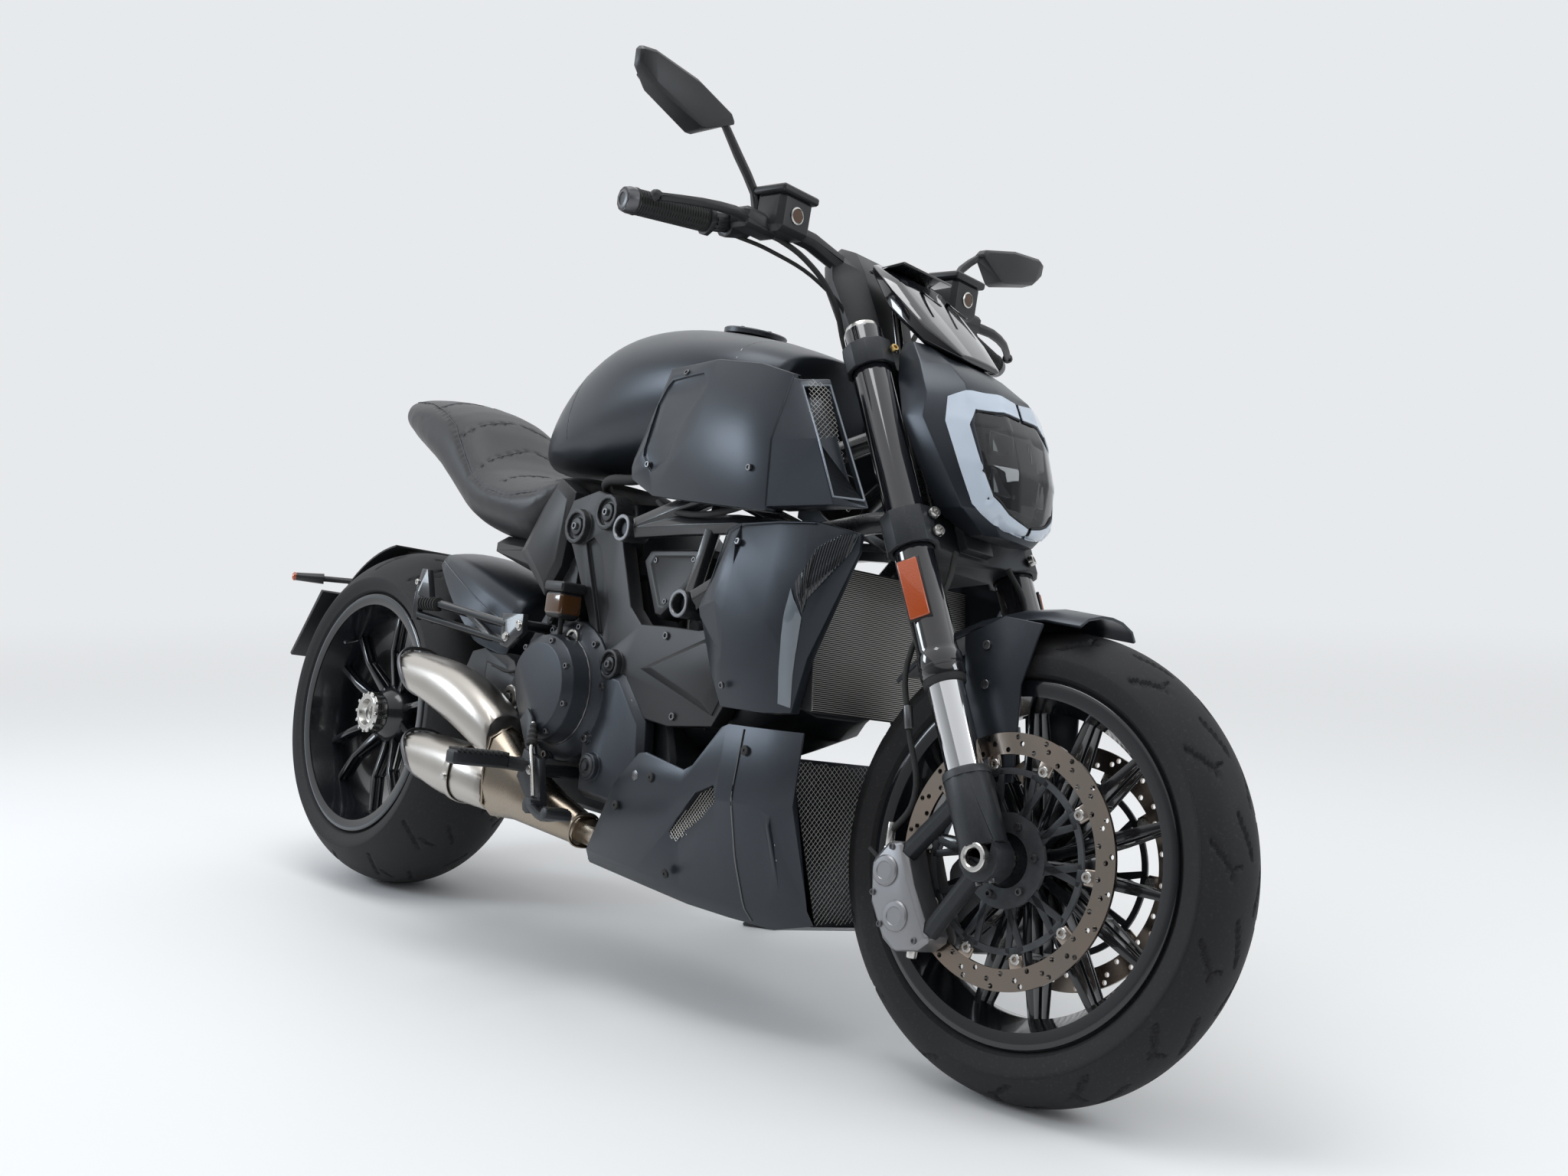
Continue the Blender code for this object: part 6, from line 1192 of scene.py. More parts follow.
def make_front_brake():
    for name, side in SIDES:
        def at(forward, y, up):
            return fork(forward, side * y, AXLE_HEIGHT + up)

        outward = Vector((0.0, side, 0.0))
        # Caliper: two bosses over the pistons, its screws and the bleed nipple
        for i, up in enumerate((-0.03, 0.03)):
            boss = spun(f"piston_boss_{name}_{i}", [(0.0, 0.004), (0.02, 0.004), (0.02, -0.0015), (0.018, -0.0035),
                (0.012, -0.004), (0.011, -0.003), (0.0, -0.003)], 36)
            place = facing(at(-0.119, 0.1238, up), outward, STEER_AXIS)
            steered(boss, "silver_casting", "brushed_steel", place)
        bolts(f"caliper_screws_{name}", "bright_steel", "steering", [(at(-0.128, 0.092, 0.06),
            STEER_AXIS * 0.8 - STEER_FORWARD * 0.4), (at(-0.128, 0.092, -0.0715),
            -STEER_AXIS * 0.8 - STEER_FORWARD * 0.4)], 0.007, 0.009)
        bolts(f"caliper_side_screws_{name}", "dark_steel", "steering", [(at(-0.1, 0.124, 0.056), outward),
            (at(-0.146, 0.124, 0.01), outward), (at(-0.098, 0.124, -0.068), outward),
            (at(-0.146, 0.124, -0.032), outward)], 0.0042, 0.0022)
        nipple = bar_of(f"bleed_nipple_{name}", at(-0.135, 0.108, 0.05), at(-0.146, 0.112, 0.07), 0.0035, 12,
            0.0026)
        shown(nipple, "grip_rubber", "steering", slot="black_plastic")
        placed(nipple, STEERED)
        # Hose from the lower clamp down the leg to the caliper, with its metal end and clip
        path = [fork(0.058, side * 0.06, 0.74), fork(0.052, side * 0.088, 0.69), fork(-0.018, side * 0.118, 0.6),
            fork(-0.036, side * 0.12, 0.52), fork(-0.06, side * 0.11, 0.43), at(-0.118, 0.104, 0.078)]
        steered(hose(f"brake_hose_{name}", path, 0.004, 3), "grip_rubber", "black_plastic")
        steered(bar_of(f"hose_end_{name}", at(-0.106, 0.1045, 0.092), at(-0.12, 0.1038, 0.064), 0.0058, 16),
            "bright_steel", "brushed_steel")
        steered(bar_of(f"hose_clip_{name}", fork(-0.03, side * 0.121, 0.545), fork(-0.036, side * 0.121, 0.515),
            0.0062, 16), "dark_steel", "black_casting")
        # The axle's bright ring and the pinch screws
        steered(spun(f"axle_ring_{name}", [(0.0112, 0.01), (0.0185, 0.01), (0.0185, -0.001), (0.0172, -0.0025),
            (0.0128, -0.0025), (0.0112, -0.0008)], 40), "bright_steel", "brushed_steel",
            facing(at(FORK_OFFSET, 0.14, 0.0), outward, STEER_AXIS))
        bolts(f"pinch_screws_{name}", "dark_steel", "steering", [(at(FORK_OFFSET + 0.004, 0.118, -0.029),
            -STEER_AXIS), (at(FORK_OFFSET - 0.016, 0.118, -0.0265), -STEER_AXIS)], 0.0045, 0.004)
    # Clamp screws: gold ones above, bright ones below
    upper = [(fork(0.0685, s * 0.106, 1.041), (STEER_FORWARD.x * 0.8, s * 0.2, STEER_FORWARD.z)) for s in (-1, 1)]
    bolts("upper_clamp_screws", "gold_steel", "steering", upper, 0.0058, 0.005)
    lower = [(fork(0.069, s * 0.106, up), (STEER_FORWARD.x * 0.8, s * 0.2, STEER_FORWARD.z)) for s in (-1, 1)
        for up in (0.757, 0.784)]
    bolts("lower_clamp_screws", "bright_steel", "steering", lower, 0.0078, 0.006)


def make_front_panels():
    # Screws of the mudguard's blades
    for name, side in SIDES:
        outward = Vector((0.0, side, 0.0))
        bolts(f"mudguard_screws_{name}", "dark_steel", "steering", [((1.526, side * 0.0695, 0.515), outward),
            ((1.519, side * 0.0695, 0.566), outward)], 0.0062, 0.003)
    # The instrument's screen and the twin slots on the cowl
    steered(plate_of("instrument_screen", [(-0.052, -0.036), (-0.056, 0.034), (0.056, 0.034), (0.052, -0.036)],
        0.004, None, 0.0012), "screen_black", "lens", facing((1.224, 0.0, 1.101), (-0.1, 0.0, 1.0),
        (1.0, 0.0, 0.1)))
    for side in (-1, 1):
        steered(box_of(f"cowl_slot_{'right' if side < 0 else 'left'}", (-0.024, -0.0012, -0.0028),
            (0.024, 0.0012, 0.0028), 0.0008, 1), "screen_black", "black_plastic",
            facing((1.296, side * 0.03, 1.0545), (0.52, 0.0, 0.85), (0.0, 1.0, 0.0)))


# Seat, tank, panels and cooling


def swelled(piece, pressure, frames, reach):
    """Blows the cover up a little over its foam as cloth, and keeps each spot within reach of where it was cut."""
    count = len(piece.data.vertices)
    before = [0.0] * (count * 3)
    piece.data.vertices.foreach_get("co", before)
    low = min(before[2::3])
    pinned = piece.vertex_groups.new(name="base")
    pinned.add([i for i in range(count) if before[3 * i + 2] < low + 0.012], 1.0, "REPLACE")
    alone(piece)
    cloth = piece.modifiers.new("cloth", "CLOTH")
    settings = cloth.settings
    settings.use_pressure = True
    settings.uniform_pressure_force = pressure
    settings.effector_weights.gravity = 0.0
    settings.vertex_group_mass = "base"
    settings.tension_stiffness = settings.compression_stiffness = 20.0
    settings.bending_stiffness = 2.0
    cloth.collision_settings.use_collision = False
    cloth.point_cache.frame_start, cloth.point_cache.frame_end = 1, frames
    scene = bpy.context.scene
    for number in range(1, frames + 1):
        scene.frame_set(number)
        bpy.context.view_layer.update()
    bpy.ops.object.modifier_apply(modifier="cloth")
    scene.frame_set(1)
    after = [0.0] * (count * 3)
    piece.data.vertices.foreach_get("co", after)
    for i in range(count):
        old, new = Vector(before[3 * i:3 * i + 3]), Vector(after[3 * i:3 * i + 3])
        step = new - old
        if step.length > reach:
            new = old + step * (reach / step.length)
        after[3 * i:3 * i + 3] = new
    piece.data.vertices.foreach_set("co", after)
    piece.data.update()
    piece.vertex_groups.clear()


SEAT_SEAM = [(-0.05, 0.072, 0.952), (0.06, 0.098, 0.942), (0.14, 0.116, 0.918), (0.206, 0.126, 0.88),
    (0.26, 0.131, 0.83), (0.309, 0.132, 0.785), (0.37, 0.134, 0.757), (0.45, 0.133, 0.742), (0.53, 0.128, 0.75)]


def make_seat():
    cover = curved_skin("seat", 1, 60.0, 40.0, "seat_cover")
    placed(cover, MACHINE.inverted())
    changed(cover, "REMESH", mode="VOXEL", voxel_size=0.0056, use_smooth_shade=True)
    changed(cover, "SMOOTH", factor=0.5, iterations=6)
    swelled(cover, 4.0, 16, 0.0035)
    # The seam's channel and the short stitched channels that cross the pad
    channels = []
    for side in (-1, 1):
        channels.append((0.003, 0.0022, on_surface(cover, mirrored(SEAT_SEAM, side), 0.0)))
        for start, end in (((0.232, 0.012, 0.905), (0.236, 0.12, 0.862)), ((0.3, 0.012, 0.855),
                (0.318, 0.118, 0.8)), ((0.38, 0.012, 0.8), (0.402, 0.118, 0.772)),
                ((0.12, 0.012, 0.945), (0.116, 0.104, 0.936))):
            channels.append((0.0034, 0.003, on_surface(cover, [(start[0], side * start[1], start[2]),
                (end[0], side * end[1], end[2])], 0.0)))
    edit(cover)
    for reach, depth, path in channels:
        def near(v, path=path, reach=reach):
            return any((v.co - p).length < reach * 1.7 for p in path)
        pick(near, "VERT")
        bpy.ops.transform.shrink_fatten(value=-depth)
    done(cover)
    changed(cover, "SMOOTH", factor=0.4, iterations=2)
    threads = [hose("thread", on_surface(cover, [(x, side * (y - 0.004), z) for x, y, z in SEAT_SEAM], 0.0006, 4),
        0.0009, 1, smooth=False) for side in (-1, 1)]
    threads += [hose("thread", path, 0.0007, 1, smooth=False) for _, _, path in channels if len(path) < 12]
    thread = joined(threads, "seat_thread")
    changed(cover, "SUBSURF", levels=1, render_levels=1)
    placed(cover, MACHINE)
    shown(shaded(cover, 80.0), "seat_leather", "chassis", "seat", slot="seat_cover")
    # The lower sides are a smoother cover
    cover.data.materials.append(finishes["seat_side"])
    inside = MACHINE.inverted()
    seam = [(x, z) for x, y, z in SEAT_SEAM]

    def below_seam(f):
        spot = inside @ f.calc_center_median()
        if spot.x < seam[0][0] or spot.x > seam[-1][0]:
            return spot.z < (seam[0][1] if spot.x < seam[0][0] else seam[-1][1]) - 0.004
        for (x0, z0), (x1, z1) in zip(seam, seam[1:]):
            if x0 <= spot.x <= x1:
                return spot.z < z0 + (z1 - z0) * (spot.x - x0) / (x1 - x0) and abs(spot.y) > 0.07
        return False

    edit(cover)
    pick(below_seam)
    cover.active_material_index = 1
    bpy.ops.object.material_slot_assign()
    bpy.ops.object.mode_set(mode="OBJECT")
    fixed(thread, "seam_thread", "seat_cover")


def woven(name, outline, matrix, pitch=0.0052, wire=0.001):
    """A woven grille inside a flat outline of (x, z) points, its wires crossing at a slant."""
    wide = max(abs(x) for x, z in outline) * 1.5 + pitch
    high = max(abs(z) for x, z in outline) * 1.5 + pitch
    reach = math.hypot(wide, high)
    nothing_selected()
    count = int(2 * reach / pitch)
    bpy.ops.mesh.primitive_grid_add(x_subdivisions=count, y_subdivisions=count, size=2 * reach,
        rotation=(QUARTER, math.radians(38.0), 0.0))
    grid = done(bpy.context.object, name)
    corners = [Vector((x, z)) for x, z in outline]

    def outside(f):
        spot = f.calc_center_median()
        spot = Vector((spot.x, spot.z))
        inside = False
        for a, b in zip(corners, corners[1:] + corners[:1]):
            if (a.y > spot.y) != (b.y > spot.y) and spot.x < (b.x - a.x) * (spot.y - a.y) / (b.y - a.y) + a.x:
                inside = not inside
        return not inside

    edit(grid)
    pick(outside)
    bpy.ops.mesh.delete(type="FACE")
    bpy.ops.object.mode_set(mode="OBJECT")
    changed(grid, "WIREFRAME", thickness=wire, use_even_offset=False)
    placed(grid, matrix)
    return shown(grid, "woven_steel", "chassis", slot="brushed_steel")


def flat_in(points, normal):
    """A frame for a flat outline through points, and the outline in it."""
    middle = sum(points, Vector()) / len(points)
    place = facing(middle, normal)
    back = place.inverted()
    return place, [((back @ p).x, (back @ p).z) for p in points]


def make_intakes():
    for name, side in SIDES:
        mouth = mirrored(((1.372, 0.16, 0.728), (1.345, 0.2, 0.727), (1.3, 0.204, 0.815), (1.225, 0.184, 0.905),
            (1.262, 0.16, 0.909)), side)
        middle = sum(mouth, Vector()) / 5
        inward = Vector((-0.9, -side * 0.3, -0.32)).normalized()
        floor = [middle + (p - middle) * 0.88 + inward * 0.0125 for p in mouth]
        place, outline = flat_in(floor, -inward)
        woven(f"intake_mesh_{name}", outline, MACHINE @ place)
        # A pale line just inside the mouth's lip: a painted highlight
        rim = [middle + (p - middle) * 0.885 - inward * 0.0008 for p in mouth]
        fixed(hose(f"intake_mouth_highlight_{name}", rim + rim[:1], 0.0017, 2, smooth=False), "intake_lip_highlight", "satin_black")
        outward = Vector((0.0, side, 0.0))
        bolts(f"intake_screws_{name}", "dark_steel", "chassis", [((0.912, side * 0.189, 0.786), outward),
            ((1.18, side * 0.2145, 0.775), (0, side, -0.1)), ((0.975, side * 0.1875, 0.925), (0, side, 0.5))],
            0.005, 0.0028)


def make_radiator():
    shown(softened(skin_of("radiator"), 0.001, 1), "radiator_fins", "chassis", "radiator", slot="black_plastic")
    low, high = Vector((1.3085, 0.0, 0.452)), Vector((1.2785, 0.0, 0.653))
    fin = box_of("fin", (-0.0035, -0.153, -0.0005), (0.0012, 0.153, 0.0005), 0, 1)
    rows = 74
    fins = [copied(fin, Matrix.Translation(low.lerp(high, (i + 0.5) / rows))) for i in range(rows)]
    gone(fin)
    fixed(joined(fins, "radiator_core_fins"), "woven_steel", "brushed_steel")
    for name, side in SIDES:
        # A smoked, ribbed indicator let into the front edge, then a clear strip below it
        strip = [((1.366, 0.165, 0.694), (1.356, 0.166, 0.668)), ((1.34, 0.174, 0.69), (1.33, 0.176, 0.634)),
            ((1.312, 0.188, 0.672), (1.303, 0.187, 0.598)), ((1.286, 0.196, 0.62), (1.3, 0.188, 0.58))]
        cover = [bpy.data.objects[f"radiator_cover_{name}_skin"]]
        pairs = [mirrored(pair, side) for pair in strip]
        ribbon(f"indicator_{name}", pairs, MACHINE, cover, "smoked_lens", "chassis", lift=0.0022, steps=8)
        clear = [((1.28, 0.196, 0.612), (1.3, 0.188, 0.574)), ((1.273, 0.196, 0.545), (1.2955, 0.185, 0.53)),
            ((1.27, 0.19, 0.5), (1.29, 0.18, 0.495)), ((1.268, 0.182, 0.455), (1.286, 0.172, 0.452))]
        ribbon(f"side_light_{name}", [mirrored(pair, side) for pair in clear], MACHINE, cover, "clear_strip",
            "chassis", lift=0.0018, steps=8)
        ribs = []
        for (a, b), (c, d) in zip(pairs, pairs[1:]):
            for k in range(7):
                one, other = a.lerp(c, (k + 0.5) / 7), b.lerp(d, (k + 0.5) / 7)
                path = on_surface(cover[0], [MACHINE @ one, MACHINE @ one.lerp(other, 0.5), MACHINE @ other],
                    0.0032, 2)
                ribs.append(hose("rib", path, 0.0009, 1, smooth=False))
        shown(joined(ribs, f"indicator_ribs_{name}"), "screen_black", "chassis", slot="lens")
        # A lighter, glossy line along the cover's upper edge: a painted highlight
        edge = [(1.1, 0.1915, 0.6), (1.137, 0.2005, 0.6875), (1.165, 0.2, 0.6975), (1.24, 0.1975, 0.702),
            (1.3, 0.185, 0.704)]
        fixed(hose(f"cover_highlight_line_{name}", mirrored(edge, side), 0.0011, 1, smooth=False), "painted_highlight_gloss", "satin_black")
        bolts(f"cover_screws_{name}", "dark_steel", "chassis", [((1.17, side * 0.2, 0.47), (0, side, -0.2)),
            ((1.165, side * 0.203, 0.672), (0, side, 0.15))], 0.005, 0.0028)
        # Coolant hoses from the radiator's tanks to the engine
        top = [(1.262, 0.118, 0.63), (1.215, 0.122, 0.64), (1.16, 0.112, 0.61), (1.12, 0.095, 0.54),
            (1.1, 0.085, 0.5)]
        fixed(hose(f"coolant_hose_{name}", mirrored(top, side), 0.013, 4), "grip_rubber", "black_plastic")
    fixed(spun("horn", [(0.0, 0.02), (0.03, 0.02), (0.036, 0.01), (0.037, 0.0), (0.034, -0.006), (0.02, -0.004),
        (0.016, -0.01), (0.0, -0.01)], 40), "moulded_black", "black_plastic",
        facing((1.2, -0.05, 0.76), (0.9, -0.3, 0.0)))


def make_belly():
    for name, side in SIDES:
        outward = Vector((0.0, side, 0.0))
        vent = [Vector((x, side * 0.1655, z)) for x, z in ((1.054, 0.248), (1.074, 0.24), (1.134, 0.277),
            (1.164, 0.306), (1.155, 0.334), (1.116, 0.318), (1.072, 0.276))]
        place, outline = flat_in(vent, outward)
        woven(f"vent_mesh_{name}", outline, MACHINE @ place, 0.0046, 0.0009)
        # A near-black plate just behind the vent mesh: painted shade in the vent's hollow
        shown(plate_of(f"vent_shade_plate_{name}", outline, 0.0015, MACHINE @ place
            @ Matrix.Translation((0.0, 0.004, 0.0)), 0), "dark_trim_and_painted_shade", "chassis", slot="black_plastic")
        spots = [((0.93, side * 0.172, 0.27), outward), ((1.012, side * 0.1775, 0.322), outward),
            ((1.205, side * 0.1715, 0.385), outward), ((1.06, side * 0.164, 0.19), (0, side, -0.4))]
        bolts(f"belly_pins_{name}", "grip_rubber", "chassis", spots, 0.0072, 0.0024, "pin")
        groove = [(1.196, 0.1735, 0.414), (1.192, 0.173, 0.33), (1.194, 0.16, 0.24), (1.2, 0.135, 0.176),
            (1.205, 0.115, 0.15)]
        path = on_surface(bpy.data.objects["belly_pan_skin"], [MACHINE @ p for p in mirrored(groove, side)], 0.0003,
            6)
        shown(hose(f"belly_joint_{name}", path, 0.0014, 1, smooth=False), "screen_black", "chassis",
            slot="black_plastic")
        shown(bar_of(f"belly_stay_nut_{name}", MACHINE @ Vector((0.971, side * 0.168, 0.32)),
            MACHINE @ Vector((0.971, side * 0.1755, 0.32)), 0.0085, 6), "dark_steel", "chassis",
            slot="black_casting")
    # The grille that fills the open front
    front = [Vector((1.2655, y, z)) for y, z in ((0.088, 0.16), (0.114, 0.184), (0.148, 0.27), (0.152, 0.378),
        (-0.152, 0.378), (-0.148, 0.27), (-0.114, 0.184), (-0.088, 0.16))]
    place, outline = flat_in(front, (1.0, 0.0, 0.0))
    woven("belly_front_mesh", outline, MACHINE @ place, 0.006, 0.0011)


def make_tank():
    # Filler cap with its ring, the screws round it and the cover of its lock
    tilted = (0.09, 0.0, 1.0)
    place = facing((0.895, 0.0, 1.0345), tilted, (1.0, 0.0, 0.0))
    fixed(spun("filler_ring", [(0.034, 0.006), (0.051, 0.006), (0.0515, -0.001), (0.0495, -0.003), (0.037, -0.0032),
        (0.034, -0.0015)], 72), "cast_grey", "grey_casting", place)
    fixed(spun("filler_cap", [(0.0, 0.006), (0.0335, 0.006), (0.0338, -0.0016), (0.032, -0.0034), (0.02, -0.0042),
        (0.019, -0.0034), (0.0, -0.0036)], 72), "gloss_black", "gloss_black", place)
    spots = [(place @ spot, tilted) for spot, _ in circle((0, -0.0028, 0), 0.0435, range(20, 380, 60))]
    bolts("filler_screws", "dark_steel", "chassis", spots, 0.0034, 0.0016)
    fixed(box_of("key_cover", (-0.004, -0.0052, -0.011), (0.004, -0.003, 0.011), 0.0008, 2), "dark_steel",
        "black_casting", place)
    # The join between the tank's shell and its nose
    skin = bpy.data.objects["fuel_tank_skin"]
    for name, points in (("rear", [(0.6, -0.142, 0.84), (0.606, -0.12, 0.94), (0.6, -0.06, 1.0),
            (0.598, 0.0, 1.012), (0.6, 0.06, 1.0), (0.606, 0.12, 0.94), (0.6, 0.142, 0.84)]),
            ("front", [(1.03, -0.15, 0.88), (1.02, -0.12, 0.96), (1.015, -0.06, 1.0), (1.012, 0.0, 1.01),
            (1.015, 0.06, 1.0), (1.02, 0.12, 0.96), (1.03, 0.15, 0.88)])):
        path = on_surface(skin, [MACHINE @ Vector(p) for p in points], -0.0004, 6)
        shown(hose(f"tank_seam_{name}", path, 0.001, 1, smooth=False), "screen_black", "chassis",
            slot="black_plastic")


# Engine, exhaust, chain and the small parts at the rear


def make_engine_details():
    face = -0.1225
    clutch_x, clutch_z = 0.735, 0.428
    out = (0.0, -1.0, 0.0)
    # Clutch cover: screws round both steps, the cap's ring, the filler plug and the oil window
    rim = circle((clutch_x, face - 0.034, clutch_z), 0.1045, (8, 48, 78, 118, 156, 196, 232))
    bolts("clutch_cover_screws", "dark_steel", "chassis", rim, 0.0055, 0.0075)
    bosses = circle((clutch_x, face - 0.0398, clutch_z), 0.108, (-40, -100, -160))
    bolts("clutch_boss_screws", "dark_steel", "chassis", bosses, 0.0068, 0.005)
    cap = circle((clutch_x, face - 0.0825, clutch_z), 0.077, (30, 75, 130, 300, 345))
    bolts("clutch_cap_screws", "dark_steel", "chassis", cap, 0.0048, 0.0055)
    fixed(spun("clutch_cap_ring", [(0.0855, 0.0), (0.0885, 0.0), (0.0885, -0.0022), (0.087, -0.0034),
        (0.0855, -0.003)], 96), "dark_steel", "black_casting", facing((clutch_x, face - 0.0468, clutch_z), out))
    fixed(spun("oil_filler_plug", [(0.0, 0.004), (0.0175, 0.004), (0.0175, -0.002), (0.0165, -0.004),
        (0.012, -0.005), (0.0115, -0.0038), (0.007, -0.0038), (0.0065, -0.007), (0.0, -0.007)], 40),
        "moulded_black", "black_plastic", facing((0.838, face - 0.044, 0.318), out))
    fixed(spun("oil_window", [(0.0, 0.002), (0.0106, 0.002), (0.0106, -0.001), (0.0, -0.0016)], 36), "smoked_lens",
        "lens", facing((0.757, face - 0.0468, 0.51), out))
    fixed(spun("oil_window_ring", [(0.0108, 0.001), (0.0158, 0.001), (0.0158, -0.0012), (0.0145, -0.0022),
        (0.0112, -0.0014)], 40), "bright_steel", "brushed_steel", facing((0.757, face - 0.05, 0.51), out))
    # Belt cover screws, in the ring bosses and along its edge
    bolts("belt_cover_screws", "dark_steel", "chassis", [((x, y, z), out) for x, y,
        z in ((0.704, -0.16, 0.692), (0.783, -0.16, 0.716), (0.846, -0.16, 0.478), (0.906, -0.1495, 0.424),
        (1.01, -0.1495, 0.414), (1.118, -0.1495, 0.505), (1.104, -0.1495, 0.545), (0.968, -0.1495, 0.532))], 0.0062,
        0.0045)
    bolts("electronics_cover_screws", "dark_steel", "chassis", [((x, -0.137, z), out)
        for x, z in ((0.9, 0.646), (0.992, 0.65), (0.936, 0.584))], 0.0044, 0.003)
    # Open ends of the frame's tubes with their rims, and the caps and screws of the pivot plates
    for name, side in SIDES:
        outward = Vector((0.0, side, 0.0))
        for i, (x, y, z) in enumerate(((0.845, 0.172, 0.69), (1.02, 0.178, 0.58))):
            fixed(spun(f"tube_rim_{name}_{i}", [(0.0152, 0.004), (0.0213, 0.004), (0.0213, -0.0006),
                (0.02, -0.0016), (0.016, -0.0016), (0.0152, -0.0006)], 44), "dark_steel", "frame_black",
                facing((x, side * y, z), outward))
            fixed(spun(f"tube_core_{name}_{i}", [(0.0, 0.002), (0.015, 0.002), (0.015, -0.0004), (0.01, -0.0004),
                (0.0095, -0.004), (0.0, -0.004)], 36), "cast_black", "black_casting",
                facing((x, side * 0.1605, z), outward))
        fixed(spun(f"pivot_cap_{name}", [(0.0, 0.002), (0.0225, 0.002), (0.0225, -0.004), (0.0205, -0.006),
            (0.013, -0.006), (0.012, -0.003), (0.0, -0.003)], 12), "bright_steel", "brushed_steel",
            facing((0.57, side * 0.146, 0.4), outward))
        fixed(spun(f"pivot_socket_{name}", [(0.0, 0.001), (0.0095, 0.001), (0.0095, -0.005), (0.007, -0.0062),
            (0.0, -0.0058)], 6), "dark_steel", "black_casting", facing((0.57, side * 0.149, 0.4), outward))
        bolts(f"plate_screws_{name}", "dark_steel", "chassis", [((x, side * 0.1365, z), outward)
            for x, z in ((0.645, 0.545), (0.604, 0.44), (0.552, 0.372))], 0.0055, 0.004)
    # Left side: the alternator cover's screws and plug
    bolts("alternator_screws", "dark_steel", "chassis", circle((0.8, 0.156, 0.37), 0.09, range(10, 370, 40),
        (0, 1, 0)), 0.0055, 0.008)
    fixed(spun("alternator_plug", [(0.0, 0.002), (0.03, 0.002), (0.03, -0.003), (0.0265, -0.005), (0.012, -0.005),
        (0.01, -0.003), (0.0, -0.003)], 60), "cast_grey", "grey_casting", facing((0.8, 0.172, 0.37), (0, 1, 0)))
    # Cooling ribs on the sides of the two cylinder heads
    for which, base, along, rows in (("front", Vector((1.06, 0.0, 0.455)), Vector((0.93, 0.0, 0.36)), 6),
            ("rear", Vector((0.748, 0.0, 0.62)), Vector((-0.39, 0.0, 0.92)), 5)):
        across = Vector((along.z, 0.0, -along.x))
        ribs = []
        for side in (-1, 1):
            for i in range(rows):
                mid = base + along * (0.011 * (i - rows / 2)) + Vector((0.0, side * 0.113, 0.0))
                rib = box_of("rib", (-0.045, -0.004, -0.0014), (0.045, 0.004, 0.0014), 0.0006, 1)
                turn = axes(across, Vector((0, 1, 0)), along, mid)
                ribs.append(placed(rib, MACHINE @ turn))
        shown(joined(ribs, f"{which}_cylinder_ribs"), "cast_black", "chassis", slot="black_casting")
    # Cables and hoses that run over the engine's right side
    runs = (
        ("loom", 0.0048, [(1.15, -0.12, 0.76), (1.06, -0.15, 0.722), (0.93, -0.146, 0.722),
                                         (0.86, -0.12, 0.74)]),
        ("plug_lead", 0.004, [(1.02, -0.1, 0.7), (1.06, -0.118, 0.64), (1.05, -0.122, 0.59),
                                             (1.075, -0.115, 0.545)]),
        ("breather_hose", 0.0085, [(0.69, -0.09, 0.75), (0.73, -0.128, 0.77), (0.81, -0.125, 0.775),
                                                  (0.88, -0.09, 0.8)]),
        ("rear_brake_hose", 0.0042, [(0.724, -0.176, 0.541), (0.72, -0.172, 0.51), (0.69, -0.16, 0.47),
                                                    (0.668, -0.15, 0.42)]),
        ("sensor_lead", 0.0026, [(0.64, -0.138, 0.53), (0.61, -0.142, 0.47), (0.56, -0.142, 0.445),
                                                (0.47, -0.128, 0.45)]),
    )
    for name, radius, path in runs:
        fixed(hose(name, path, radius, 3), "grip_rubber", "black_plastic")
    # The rear shock, its top leaning into view above the swingarm
    coil, turns = [], 5
    low, high = Vector((0.5, -0.058, 0.462)), Vector((0.598, -0.058, 0.59))
    along = (high - low).normalized()
    first = along.cross(Vector((0, 1, 0))).normalized()
    second = along.cross(first)
    for i in range(turns * 12 + 1):
        a = 2 * math.pi * i / 12
        coil.append(low.lerp(high, i / (turns * 12)) + first * 0.027 * math.cos(a) + second * 0.027 * math.sin(a))
    fixed(hose("shock_spring", coil, 0.0055, 2, smooth=False), "spring_black", "gloss_black")
    shown(bar_of("shock_body", MACHINE @ low, MACHINE @ high, 0.0185, 32), "dark_steel", "chassis",
        slot="black_casting")


CAN_AXIS = (-0.8, 0.0, -0.6)


